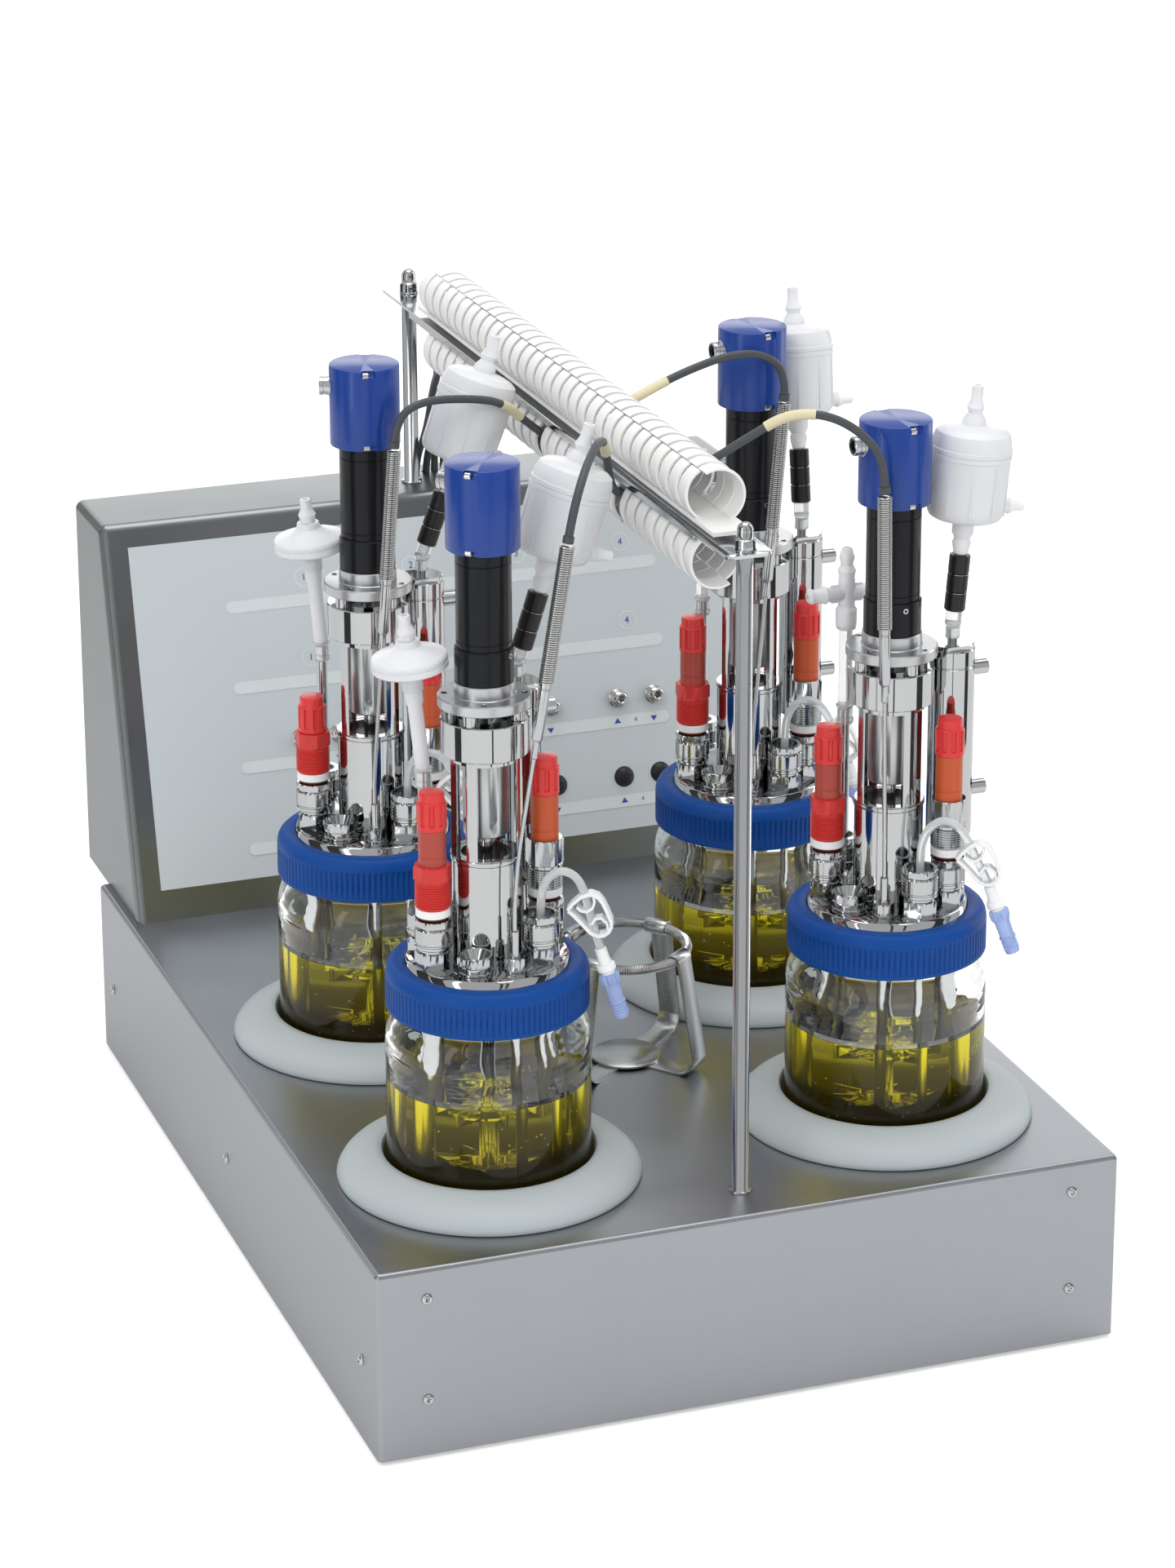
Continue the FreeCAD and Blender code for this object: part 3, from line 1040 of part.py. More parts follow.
def exhaust_filter(vessel):
    """Capsule filter on its neck, with a domed lid, a top barb and a side nipple."""
    x, y = port(vessel, PORT_CONDENSER)
    low = PLATE_TOP + CONDENSER_TOP + OUTLET_HEIGHT
    start = COUPLING_HEIGHT + SLEEVE_HEIGHT
    base = start + FILTER_NECK
    top = base + FILTER_HEIGHT
    lid = top - FILTER_DOME - 9
    radius = FILTER_RADIUS
    body = turned([(0, start), (4.2, start), (5.6, start + 7), (4.6, start + 10), (6.4, start + 13), (6.4, base - 2),
                   (9, base), (radius - 5, base + 1.5), (radius - 2.2, base + 3.2, radius - 1.4, base + 6),
                   (radius - 0.4, lid), (radius, lid), (radius, lid + 3), (radius - 0.6, lid + 3),
                   (radius - 2.6, top - 3.6, radius - 9, top - 1.2), (7, top), (6.6, top + 3),
                   (BARB_RADIUS - 0.6, top + 7), (BARB_RADIUS + 0.6, top + 10),
                   (3.4, top + 15), (3.4, top + BARB_HEIGHT), (0, top + BARB_HEIGHT)], x, y, low)
    nipple = turned([(0, 0), (4.2, 0), (4.2, 6), (5, 8), (3.2, 13), (3.2, 18), (0, 18)])
    nipple.rotate(Vector(0, 0, 0), Vector(0, 1, 0), 90)
    nipple.translate(Vector(x + radius - 5, y, low + base + 8))
    return lean_with_filter(body.fuse(nipple), vessel)


# ---------------------------------------------------------------- control box
def panel_point(x, up):
    """Return the point on the leaning panel at a height above the block, measured upright."""
    return Vector(x, FRONT_EDGE + BOX_FRONT + up * math.tan(BOX_LEAN), BLOCK_TOP + up)


def panel_normal():
    """Return the outward direction of the leaning panel."""
    return Vector(0, -math.cos(BOX_LEAN), math.sin(BOX_LEAN))


def cable_holes():
    """Return the places where the four sensor cables enter the control box's top."""
    return [(BRIDGE_X + drop[-1][0], REAR_POST_Y + drop[-1][1]) for drop in CABLE_DROPS.values()]


def panel_ports():
    """Return (kind, centre on the panel) of every fitting on the panel."""
    places = []
    for index in range(4):
        centre = CHANNEL_FIRST + index * CHANNEL_PITCH
        for side in (-0.5, 0.5):
            places.append(("nut", panel_point(centre + side * COUPLING_SPREAD, PORT_ROW)))
            places.append(("dome", panel_point(centre + side * COUPLING_SPREAD, DOME_ROW)))
    return places


def control_box():
    """Wedge-shaped control box of folded sheet with rounded edges and a leaning front."""
    left = -BLOCK_WIDTH / 2 + BOX_LEFT_INSET
    right = BLOCK_WIDTH / 2
    front = FRONT_EDGE + BOX_FRONT
    back = FRONT_EDGE + BOX_BACK
    top_front = FRONT_EDGE + BOX_TOP_FRONT
    side = [Vector(left, front, BLOCK_TOP), Vector(left, back, BLOCK_TOP), Vector(left, back, BOX_TOP),
            Vector(left, top_front, BOX_TOP)]
    shell = extruded(side, Vector(0, 0, 0), Vector(right - left, 0, 0))
    rounded = [edge for edge in shell.Edges if edge.BoundBox.ZMax > BLOCK_TOP + 1]
    shell = shell.makeFillet(BOX_EDGE_RADIUS, rounded)
    inner = [Vector(left + SHEET, front + 2 * SHEET, BLOCK_TOP + SHEET),
             Vector(left + SHEET, back - SHEET, BLOCK_TOP + SHEET),
             Vector(left + SHEET, back - SHEET, BOX_TOP - SHEET),
             Vector(left + SHEET, top_front + 2 * SHEET, BOX_TOP - SHEET)]
    hollow = extruded(inner, Vector(0, 0, 0), Vector(right - left - 2 * SHEET, 0, 0))
    hollow_edges = [edge for edge in hollow.Edges if edge.BoundBox.ZMax > BLOCK_TOP + 2 * SHEET]
    hollow = hollow.makeFillet(BOX_EDGE_RADIUS - SHEET, hollow_edges)
    normal = panel_normal()
    tools = [cylinder(CABLE_RADIUS + FIT_GAP, 3 * SHEET, x, y, BOX_TOP - 2 * SHEET)
             for x, y in cable_holes()]
    tools.append(cylinder(STUD_RADIUS + STUD_GAP, 3 * SHEET, BRIDGE_X, REAR_POST_Y, BOX_TOP - 2 * SHEET))
    for kind, centre in panel_ports():
        start = centre - normal * (4 * SHEET)
        tools.append(Part.makeCylinder(PANEL_STEM_RADIUS - 1 + STUD_GAP, 6 * SHEET, start, normal))
    return shell.cut(hollow).cut(Part.makeCompound(tools))


def panel_overlay():
    """Thin printed sheet on the leaning panel, pierced for its fittings."""
    left = -BLOCK_WIDTH / 2 + BOX_LEFT_INSET + OVERLAY_LEFT
    right = BLOCK_WIDTH / 2 - OVERLAY_RIGHT
    low = OVERLAY_LOW
    high = BOX_HEIGHT - OVERLAY_TOP
    corners = [panel_point(left, low), panel_point(right, low), panel_point(right, high), panel_point(left, high)]
    normal = panel_normal()
    sheet = extruded(corners, Vector(0, 0, 0), normal * OVERLAY)
    tools = [Part.makeCylinder(PANEL_STEM_RADIUS - 1 + STUD_GAP, 4, centre - normal, normal)
             for kind, centre in panel_ports()]
    return sheet.cut(Part.makeCompound(tools))


def panel_fittings(wanted):
    """Hexagon quick couplings or domed plugs, each with a stem through the panel."""
    stem = cylinder(PANEL_STEM_RADIUS - 1, 3 * SHEET, 0, 0, -3 * SHEET)
    if wanted == "nut":
        body = fused([stem, cylinder(PANEL_NUT / 2 + 0.9, 1.0), hexagon(PANEL_NUT, PANEL_NUT_HEIGHT, 0, 0, 1.0),
                      cylinder(PANEL_STEM_RADIUS, PANEL_STEM - 1, 0, 0, 1.0)])
        body = body.cut(cylinder(2.4, PANEL_STEM, 0, 0, 3.0))
    else:
        body = fused([stem, turned([(0, 0), (DOME_RADIUS, 0), dome_arc(DOME_RADIUS, 0, DOME_HEIGHT)])])
    normal = panel_normal()
    solids = []
    for kind, centre in panel_ports():
        if kind == wanted:
            placed = body.copy()
            placed.Placement = FreeCAD.Placement(centre + normal * OVERLAY,
                                                 FreeCAD.Rotation(Vector(0, 0, 1), normal))
            solids.append(placed)
    return solids


# ---------------------------------------------------------------- cable bridge
def bridge_post(y, low):
    """Upright rod of the bridge with a foot ring and a threaded stud at each end."""
    under_rail = RAIL_TOP - RAIL_SHEET
    stud_top = RAIL_TOP + NUT_HEIGHT
    return fused([cylinder(POST_RADIUS, under_rail - low, BRIDGE_X, y, low),
                  cylinder(POST_FOOT_RADIUS, POST_FOOT, BRIDGE_X, y, low),
                  cylinder(STUD_RADIUS, stud_top - under_rail, BRIDGE_X, y, under_rail),
                  cylinder(STUD_RADIUS, 4 * SHEET, BRIDGE_X, y, low - 4 * SHEET)])


def cap_nut(y):
    """Domed hexagon nut on a washer."""
    washer = cylinder(NUT_HEX / 2 + 0.6, 1.2, BRIDGE_X, y, RAIL_TOP)
    hexagonal = hexagon(NUT_HEX, NUT_HEIGHT - 1.2, BRIDGE_X, y, RAIL_TOP + 1.2, 10)
    dome_foot = RAIL_TOP + NUT_HEIGHT
    dome_top = NUT_TOP - NUT_HEIGHT
    dome = turned([(0, 0), (NUT_DOME_RADIUS, 0), (NUT_DOME_RADIUS, dome_top - NUT_DOME_RADIUS),
                   dome_arc(NUT_DOME_RADIUS, dome_top - NUT_DOME_RADIUS, dome_top)], BRIDGE_X, y, dome_foot)
    bore = cylinder(STUD_RADIUS + RUNNING_GAP, NUT_HEIGHT + RUNNING_GAP, BRIDGE_X, y, RAIL_TOP)
    return fused([washer, hexagonal, dome]).cut(bore)


def cable_rail():
    """Folded rail: a flat strip with rounded ends and two short side flanges."""
    left = BRIDGE_X - RAIL_WIDTH / 2
    right = BRIDGE_X + RAIL_WIDTH / 2
    low = RAIL_TOP - RAIL_SHEET
    strip = box(left, right, RAIL_FRONT, RAIL_REAR, low, RAIL_TOP)
    corners = [edge for edge in strip.Edges if edge.BoundBox.ZLength > 1]
    strip = strip.makeFillet(RAIL_CORNER, corners)
    flange_front = FRONT_POST_Y + RAIL_FLANGE_INSET
    flange_rear = REAR_POST_Y - RAIL_FLANGE_INSET
    flanges = []
    for edge_x, inner_x in ((left, left + RAIL_SHEET), (right - RAIL_SHEET, right)):
        flanges.append(box(edge_x, inner_x, flange_front, flange_rear, RAIL_TOP - RAIL_FLANGE, RAIL_TOP))
    rail = fused([strip] + flanges)
    holes = [cylinder(STUD_RADIUS + STUD_GAP, 3 * RAIL_SHEET, BRIDGE_X, y, low - RAIL_SHEET)
             for y in (FRONT_POST_Y, REAR_POST_Y)]
    return rail.cut(Part.makeCompound(holes))


def duct_finger(start_angle, end_angle, width):
    """Curved finger of the duct about the origin, from one angle to another, in the XZ plane."""
    def at(angle, radius):
        return Vector(radius * math.cos(math.radians(angle)), 0, radius * math.sin(math.radians(angle)))

    inner = DUCT_RADIUS - DUCT_WALL
    half = (start_angle + end_angle) / 2
    edges = [Part.Arc(at(start_angle, DUCT_RADIUS), at(half, DUCT_RADIUS), at(end_angle, DUCT_RADIUS)).toShape(),
             Part.makeLine(at(end_angle, DUCT_RADIUS), at(end_angle, inner)),
             Part.Arc(at(end_angle, inner), at(half, inner), at(start_angle, inner)).toShape(),
             Part.makeLine(at(start_angle, inner), at(start_angle, DUCT_RADIUS))]
    return Part.Face(Part.Wire(edges)).extrude(Vector(0, width, 0))


def cable_duct(centre_z, strip_low, strip_high, upright, notches):
    """Slotted flexible duct: a flat back strip and two rows of curved fingers that close over the cables."""
    half_strip = DUCT_STRIP_WIDTH / 2
    length = DUCT_FINGERS * DUCT_PITCH
    width = DUCT_PITCH - DUCT_SLOT
    foot = -FINGER_FOOT_ANGLE
    right = duct_finger(foot, FINGER_TIP_ANGLE - FINGER_TIP_GAP, width)
    left = duct_finger(-180 - foot, FINGER_TIP_ANGLE + FINGER_TIP_GAP - 360, width)
    strip = box(-half_strip, half_strip, -DUCT_STRIP_OVERHANG, length + DUCT_STRIP_OVERHANG,
                strip_low - centre_z, strip_high - centre_z)
    pieces = []
    for index in range(DUCT_FINGERS):
        for finger in (left, right):
            placed = finger.copy()
            placed.translate(Vector(0, index * DUCT_PITCH, 0))
            pieces.append(placed)
    if not upright:
        flip = FreeCAD.Placement(Vector(0, 0, 0), FreeCAD.Rotation(Vector(0, 1, 0), 180))
        for piece in pieces:
            piece.Placement = flip.multiply(piece.Placement)
    duct = strip.multiFuse(pieces)
    duct.translate(Vector(BRIDGE_X, DUCT_START, centre_z))
    slots = []
    for side, along, wide in notches:
        near = BRIDGE_X + side * DUCT_RADIUS * 0.5
        far = BRIDGE_X + side * (DUCT_RADIUS + 1)
        start = DUCT_START + along - wide / 2
        slots.append(box(min(near, far), max(near, far), start, start + wide,
                         centre_z - DUCT_RADIUS * 0.7, centre_z + DUCT_RADIUS * 0.7))
    return duct.cut(Part.makeCompound(slots))


# ---------------------------------------------------------------- bottle stand
def stand_leg():
    """Flat strip leg about the stand's axis: under the disc, up, and curled over the ring rod."""
    foot = 0.0
    strip = STAND_STRIP
    reach = STAND_REACH
    bend = STAND_BEND
    ring = STAND_RING_RADIUS
    top = STAND_RING_HEIGHT
    curl = STAND_ROD_RADIUS + STAND_CURL_GAP
    shoulder = top - curl - 4
    outer = [(4, foot), (reach - bend, foot),
             (reach - bend * 0.29, foot + bend * 0.29, reach, foot + bend),
             (ring + curl + strip + 1.5, shoulder), (ring + curl + strip, top),
             (ring, top + curl + strip, ring - curl - strip, top),
             (ring - curl, top), (ring, top + curl, ring + curl, top),
             (ring + curl + 1.0, shoulder + 1), (reach - strip, foot + bend),
             (reach - bend * 0.29 - strip * 0.7, foot + bend * 0.29 + strip * 0.7, reach - bend, foot + strip),
             (4, foot + strip)]
    leg = Part.Face(outline(outer)).extrude(Vector(0, STAND_STRIP_WIDTH, 0))
    leg.translate(Vector(0, -STAND_STRIP_WIDTH / 2, 0))
    return leg


def vessel_stand():
    """Stand for a sample bottle: a disc screwed on four curled strip legs."""
    parts = []
    leg = stand_leg()
    for index in range(STAND_LEGS):
        placed = leg.copy()
        placed.rotate(Vector(0, 0, 0), Vector(0, 0, 1), STAND_TURN + 360.0 * index / STAND_LEGS)
        parts.append(placed)
    parts.append(cylinder(STAND_DISC_RADIUS, STAND_STRIP, 0, 0, STAND_STRIP))
    parts.append(cylinder(7.0, STAND_STRIP, 0, 0, 0))
    parts.append(turned([(0, 0), (3.6, 0), (2.6, 1.0), (0, 1.0)], 0, 0, 2 * STAND_STRIP))
    stand = fused(parts)
    stand.translate(Vector(STAND_X, FRONT_EDGE + STAND_Y, BLOCK_TOP))
    return stand


def stand_ring():
    """Spring-covered ring rod that the legs' curls hold."""
    return Part.makeTorus(STAND_RING_RADIUS, STAND_ROD_RADIUS, Vector(STAND_X, FRONT_EDGE + STAND_Y,
                                                                      BLOCK_TOP + STAND_RING_HEIGHT))


# ---------------------------------------------------------------- cords
def shifted(points, x, y, z):
    """Return route points moved by an offset."""
    return [(x + point[0], y + point[1], z + point[2]) for point in points]


def cable_route(number):
    """Return the route points of a sensor cable from its thermometer to the inside of the control box."""
    direction, tip = probe_axis(VESSELS[number])[3:]
    lead = tip + direction * CABLE_LEAD
    duct_z = LOWER_DUCT_Z if number <= 2 else UPPER_DUCT_Z
    route = [(tip.x, tip.y, tip.z), (lead.x, lead.y, lead.z)]
    route += shifted(CABLE_ARCHES[number], tip.x, tip.y, tip.z)
    route += shifted(CABLE_DUCT_RUNS[number], BRIDGE_X, DUCT_START, duct_z)
    route += shifted(CABLE_RAIL_RUNS[number], BRIDGE_X, REAR_POST_Y, RAIL_TOP)
    return route + shifted(CABLE_DROPS[number], BRIDGE_X, REAR_POST_Y, BOX_TOP)


def sample_route(number):
    """Return the route points of a sample tube from its gland to its valve."""
    x, y = port(VESSELS[number], PORT_SAMPLE)
    turn = math.radians(SAMPLE_DIRECTION)
    return [(x + out * math.cos(turn), y + out * math.sin(turn), PLATE_TOP + up)
            for out, up in SAMPLE_LOOPS[number]]


def along_run(shape, start, end, share):
    """Return a shape built on +Z, placed at a share of a run and turned along it."""
    first = Vector(*start)
    run = Vector(*end) - first
    placed = shape.copy()
    upright = FreeCAD.Rotation(Vector(0, 0, 1), SAMPLE_DIRECTION)
    level = FreeCAD.Rotation(upright.multVec(Vector(0, 0, 1)), run)
    placed.Placement = FreeCAD.Placement(first + run * share, level.multiply(upright))
    return placed


def sample_clamp(number):
    """Pinch clamp bent from one strip, with the sample tube through both of its leaves."""
    half = CLAMP_LENGTH / 2
    high = CLAMP_SPAN / 2
    leaf = high - CLAMP_SHEET
    hinge = -half + high
    hook = half - 2 * CLAMP_SHEET
    strip = Part.Face(outline([(hinge, -high), (half - 2, -high), (half, -high + 2), (half, 1.5), (hook, 1.5),
                               (hook, 0), (half - CLAMP_SHEET, 0), (half - CLAMP_SHEET, -leaf + 0.6),
                               (half - 2 - CLAMP_SHEET / 2, -leaf), (hinge, -leaf), (hinge - leaf, 0, hinge, leaf),
                               (hook - 3, leaf - 1.2), (half + 1, leaf - 0.4), (half + 1, high - 0.4),
                               (hook - 3, high - 1.2), (hinge, high), (-half, 0, hinge, -high)]))
    clip = strip.extrude(Vector(0, CLAMP_WIDTH, 0))
    clip.translate(Vector(0, -CLAMP_WIDTH / 2, 0))
    clip = clip.cut(cylinder(SAMPLE_TUBE_RADIUS + FIT_GAP, 2 * CLAMP_SPAN, 0, 0, -CLAMP_SPAN))
    route = sample_route(number)
    return along_run(clip, route[CLAMP_RUN - 1], route[CLAMP_RUN], 0.5)


def sample_valve(number):
    """Blue needle-free valve at the end of the sample tube: sleeve, grip, shoulder and tip."""
    valve = turned([(0, 0), (3.4, 0), (3.6, 7), (VALVE_RADIUS - 0.4, 8), (VALVE_RADIUS, 9), (VALVE_RADIUS, 16),
                    (VALVE_RADIUS - 0.6, 17), (4.0, 22), (4.0, 27), (VALVE_RADIUS - 0.2, 27.5),
                    (VALVE_RADIUS - 0.2, 32), (3.2, 32.5), (3.2, VALVE_LENGTH), (0, VALVE_LENGTH)])
    route = sample_route(number)
    return along_run(valve, route[-2], route[-1], 1.0)


# ---------------------------------------------------------------- build
def build():
    """Make every sub-part and write one STEP file for each."""
    os.makedirs("parts", exist_ok=True)
    vessels = VESSELS.values()
    save("base_housing", block_housing())
    save("base_plate", block_plate())
    save_group("base_feet", block_feet())
    save_group("housing_screws", housing_screws())
    save("control_box", control_box())
    save("panel_overlay", panel_overlay())
    save_group("condenser_couplings", panel_fittings("nut"))
    save_group("cooler_plugs", panel_fittings("dome"))
    save_group("bridge_posts", [bridge_post(FRONT_POST_Y, BLOCK_TOP), bridge_post(REAR_POST_Y, BOX_TOP)])
    save_group("post_cap_nuts", [cap_nut(FRONT_POST_Y), cap_nut(REAR_POST_Y)])
    save("cable_rail", cable_rail())
    save("upper_duct", cable_duct(UPPER_DUCT_Z, RAIL_TOP, RAIL_TOP + UPPER_STRIP, True, UPPER_NOTCHES))
    under_rail = RAIL_TOP - RAIL_SHEET
    save("lower_duct", cable_duct(LOWER_DUCT_Z, under_rail - LOWER_STRIP, under_rail, False, LOWER_NOTCHES))
    save("vessel_stand", vessel_stand())
    save("stand_ring", stand_ring())
    for number, vessel in VESSELS.items():
        save("glass_jar_%d" % number, glass_jar(vessel))
        save("head_plate_%d" % number, head_plate(vessel))
        save("lock_ring_%d" % number, lock_ring(vessel))
        save("stirrer_%d" % number, stirrer(vessel))
        save("drive_housing_%d" % number, drive_housing(vessel))
        save("sensor_cable_%d" % number, cord("cable %d" % number, cable_route(number), CABLE_RADIUS))
        save("sample_tube_%d" % number, cord("tube %d" % number, sample_route(number), SAMPLE_TUBE_RADIUS))
    save_group("well_collars", [well_collar(vessel) for vessel in vessels])
    save_group("heating_wells", [heating_well(vessel) for vessel in vessels])
    save_group("motor_flanges", [motor_flange(vessel) for vessel in vessels])
    save_group("motors", [motor(vessel) for vessel in vessels])
    save_group("motor_caps", [motor_cap(vessel) for vessel in vessels])
    save_group("port_glands", port_glands())
    save_group("ph_sensors", [sensor(vessel, PORT_PH, PH_LEVELS) for vessel in vessels])
    save_group("oxygen_sensors", [sensor(vessel, PORT_OXYGEN, OXYGEN_LEVELS) for vessel in vessels])
    save_group("temperature_probes", [temperature_probe(vessel) for vessel in vessels])
    save_group("dip_tubes", [solid for vessel in vessels for solid in dip_tubes(vessel)])
    save_group("gas_tubes", [gas_pipe(vessel) for vessel in vessels])
    save_group("gas_filters", [gas_filter(vessel, number <= 2) for number, vessel in VESSELS.items()])
    save_group("condensers", [condenser(vessel) for vessel in vessels])
    save_group("filter_couplings", [filter_coupling(vessel) for vessel in vessels])
    save_group("exhaust_filters", [exhaust_filter(vessel) for vessel in vessels])
    save_group("sample_clamps", [sample_clamp(number) for number in VESSELS])
    save_group("sample_valves", [sample_valve(number) for number in VESSELS])


build()
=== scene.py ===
"""Looks of a four-vessel bench bioreactor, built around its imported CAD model.

Shapes are worked in millimetres about their own upright axis and set down in metres in the CAD frame.
"""

from __future__ import annotations

import json
import logging
import math
import random
from collections.abc import Callable, Sequence
from dataclasses import dataclass
from enum import Enum

import bmesh
import bpy
from mathutils import Matrix, Vector

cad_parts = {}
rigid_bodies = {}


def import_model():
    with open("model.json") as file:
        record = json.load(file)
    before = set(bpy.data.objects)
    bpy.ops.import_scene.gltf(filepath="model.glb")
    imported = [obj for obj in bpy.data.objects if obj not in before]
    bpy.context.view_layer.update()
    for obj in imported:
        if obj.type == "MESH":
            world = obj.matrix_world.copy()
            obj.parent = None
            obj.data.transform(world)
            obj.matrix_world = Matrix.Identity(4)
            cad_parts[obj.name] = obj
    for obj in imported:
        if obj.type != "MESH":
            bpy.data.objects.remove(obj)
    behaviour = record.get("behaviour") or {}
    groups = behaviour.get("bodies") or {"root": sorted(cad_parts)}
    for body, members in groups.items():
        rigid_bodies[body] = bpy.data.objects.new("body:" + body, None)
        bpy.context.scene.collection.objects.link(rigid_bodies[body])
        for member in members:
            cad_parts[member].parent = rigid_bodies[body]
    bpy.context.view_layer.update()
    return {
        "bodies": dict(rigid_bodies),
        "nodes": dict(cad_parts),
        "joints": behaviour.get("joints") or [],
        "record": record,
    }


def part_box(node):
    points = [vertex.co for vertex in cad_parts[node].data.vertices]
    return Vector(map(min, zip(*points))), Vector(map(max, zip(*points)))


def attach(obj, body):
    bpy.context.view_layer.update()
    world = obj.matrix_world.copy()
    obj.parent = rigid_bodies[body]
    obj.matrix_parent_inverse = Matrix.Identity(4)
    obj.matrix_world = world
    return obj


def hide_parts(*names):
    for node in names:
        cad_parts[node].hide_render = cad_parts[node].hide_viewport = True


LOG = logging.getLogger("bench_bioreactor")
MM = 0.001
BENCH = "bench_unit"

Outline = Sequence[tuple[float, float]]
Colour = tuple[float, float, float]


# ---------------------------------------------------------------- shader signals
class Graph:
    """The node tree of one material or world."""

    def __init__(self, tree: bpy.types.NodeTree) -> None:
        """Start on an emptied tree.

        Args:
            tree: the node tree to fill.
        """
        self.tree = tree
        tree.nodes.clear()

    def node(
        self, kind: str, settings: dict | None = None, sockets: dict | None = None, output: int | str = 0
    ) -> Signal:
        """Add a node, set it up and link it.

        Args:
            kind: the node's type.
            settings: its properties; "stops" fills a colour ramp.
            sockets: values or signals by socket name or number.
            output: the output that is returned.

        Returns:
            The chosen output as a signal.
        """
        made = self.tree.nodes.new(kind)
        for name, value in (settings or {}).items():
            if name == "stops":
                self._fill_ramp(made.color_ramp, value)
            else:
                setattr(made, name, value)
        for name, value in (sockets or {}).items():
            if isinstance(value, Signal):
                self.tree.links.new(value.socket, made.inputs[name])
            else:
                made.inputs[name].default_value = value
        return Signal(self, made.outputs[output] if made.outputs else None, made)

    @staticmethod
    def _fill_ramp(ramp: bpy.types.ColorRamp, stops: Sequence[tuple[float, Colour]]) -> None:
        """Put the stops on a colour ramp that starts with two."""
        while len(ramp.elements) < len(stops):
            ramp.elements.new(0.5)
        for element, (place, colour) in zip(ramp.elements, stops):
            element.position = place
            element.color = (*colour, 1.0)

    def noise(self, vector: Signal, scale: float, detail: float = 2.0) -> Signal:
        """Return soft noise of about 0 to 1."""
        return self.node("ShaderNodeTexNoise", None, {"Vector": vector, "Scale": scale, "Detail": detail})

    def stretched(self, vector: Signal, factors: tuple[float, float, float]) -> Signal:
        """Return coordinates scaled by their own factor on each axis."""
        return self.node("ShaderNodeVectorMath", {"operation": "MULTIPLY"}, {0: vector, 1: factors})

    def blend(self, share: Signal, low: Colour | Signal, high: Colour | Signal) -> Signal:
        """Return a colour between two by a share."""
        ends = [colour if isinstance(colour, Signal) else (*colour, 1.0) for colour in (low, high)]
        return self.node(
            "ShaderNodeMix", {"data_type": "RGBA"}, {"Factor": share, 6: ends[0], 7: ends[1]}, output=2
        )

    def split(self, vector: Signal, axis: str) -> Signal:
        """Return one axis of a vector."""
        return self.node("ShaderNodeSeparateXYZ", None, {0: vector}, output=axis)


class Signal:
    """One shader socket that takes part in sums."""

    def __init__(self, graph: Graph, socket: bpy.types.NodeSocket | None, owner: bpy.types.Node) -> None:
        """Wrap a node's output.

        Args:
            graph: the graph that holds it.
            socket: the output, or None for a last node.
            owner: the node.
        """
        self.graph = graph
        self.socket = socket
        self.owner = owner

    def _sum(self, operation: str, left: Signal | float, right: Signal | float = 0.0) -> Signal:
        """Return a Math node on two values."""
        return self.graph.node("ShaderNodeMath", {"operation": operation}, {0: left, 1: right})

    def __add__(self, other: Signal | float) -> Signal:
        """Return self + other."""
        return self._sum("ADD", self, other)

    __radd__ = __add__

    def __sub__(self, other: Signal | float) -> Signal:
        """Return self - other."""
        return self._sum("SUBTRACT", self, other)

    def __rsub__(self, other: Signal | float) -> Signal:
        """Return other - self."""
        return self._sum("SUBTRACT", other, self)

    def __mul__(self, other: Signal | float) -> Signal:
        """Return self * other."""
        return self._sum("MULTIPLY", self, other)

    __rmul__ = __mul__

    def __gt__(self, other: Signal | float) -> Signal:
        """Return 1 where self is above other, and 0 elsewhere."""
        return self._sum("GREATER_THAN", self, other)

    def __abs__(self) -> Signal:
        """Return the size of self."""
        return self._sum("ABSOLUTE", self)

    def clamped(self) -> Signal:
        """Return self kept between 0 and 1."""
        return self.graph.node("ShaderNodeClamp", None, {0: self})


# ---------------------------------------------------------------- finishes
class Grain(Enum):
    """How a surface was made, which sets its fine pattern."""

    MOULDED = "moulded"
    BRUSHED = "brushed"
    TURNED = "turned"
    DRAWN = "drawn"
    POLISHED = "polished"


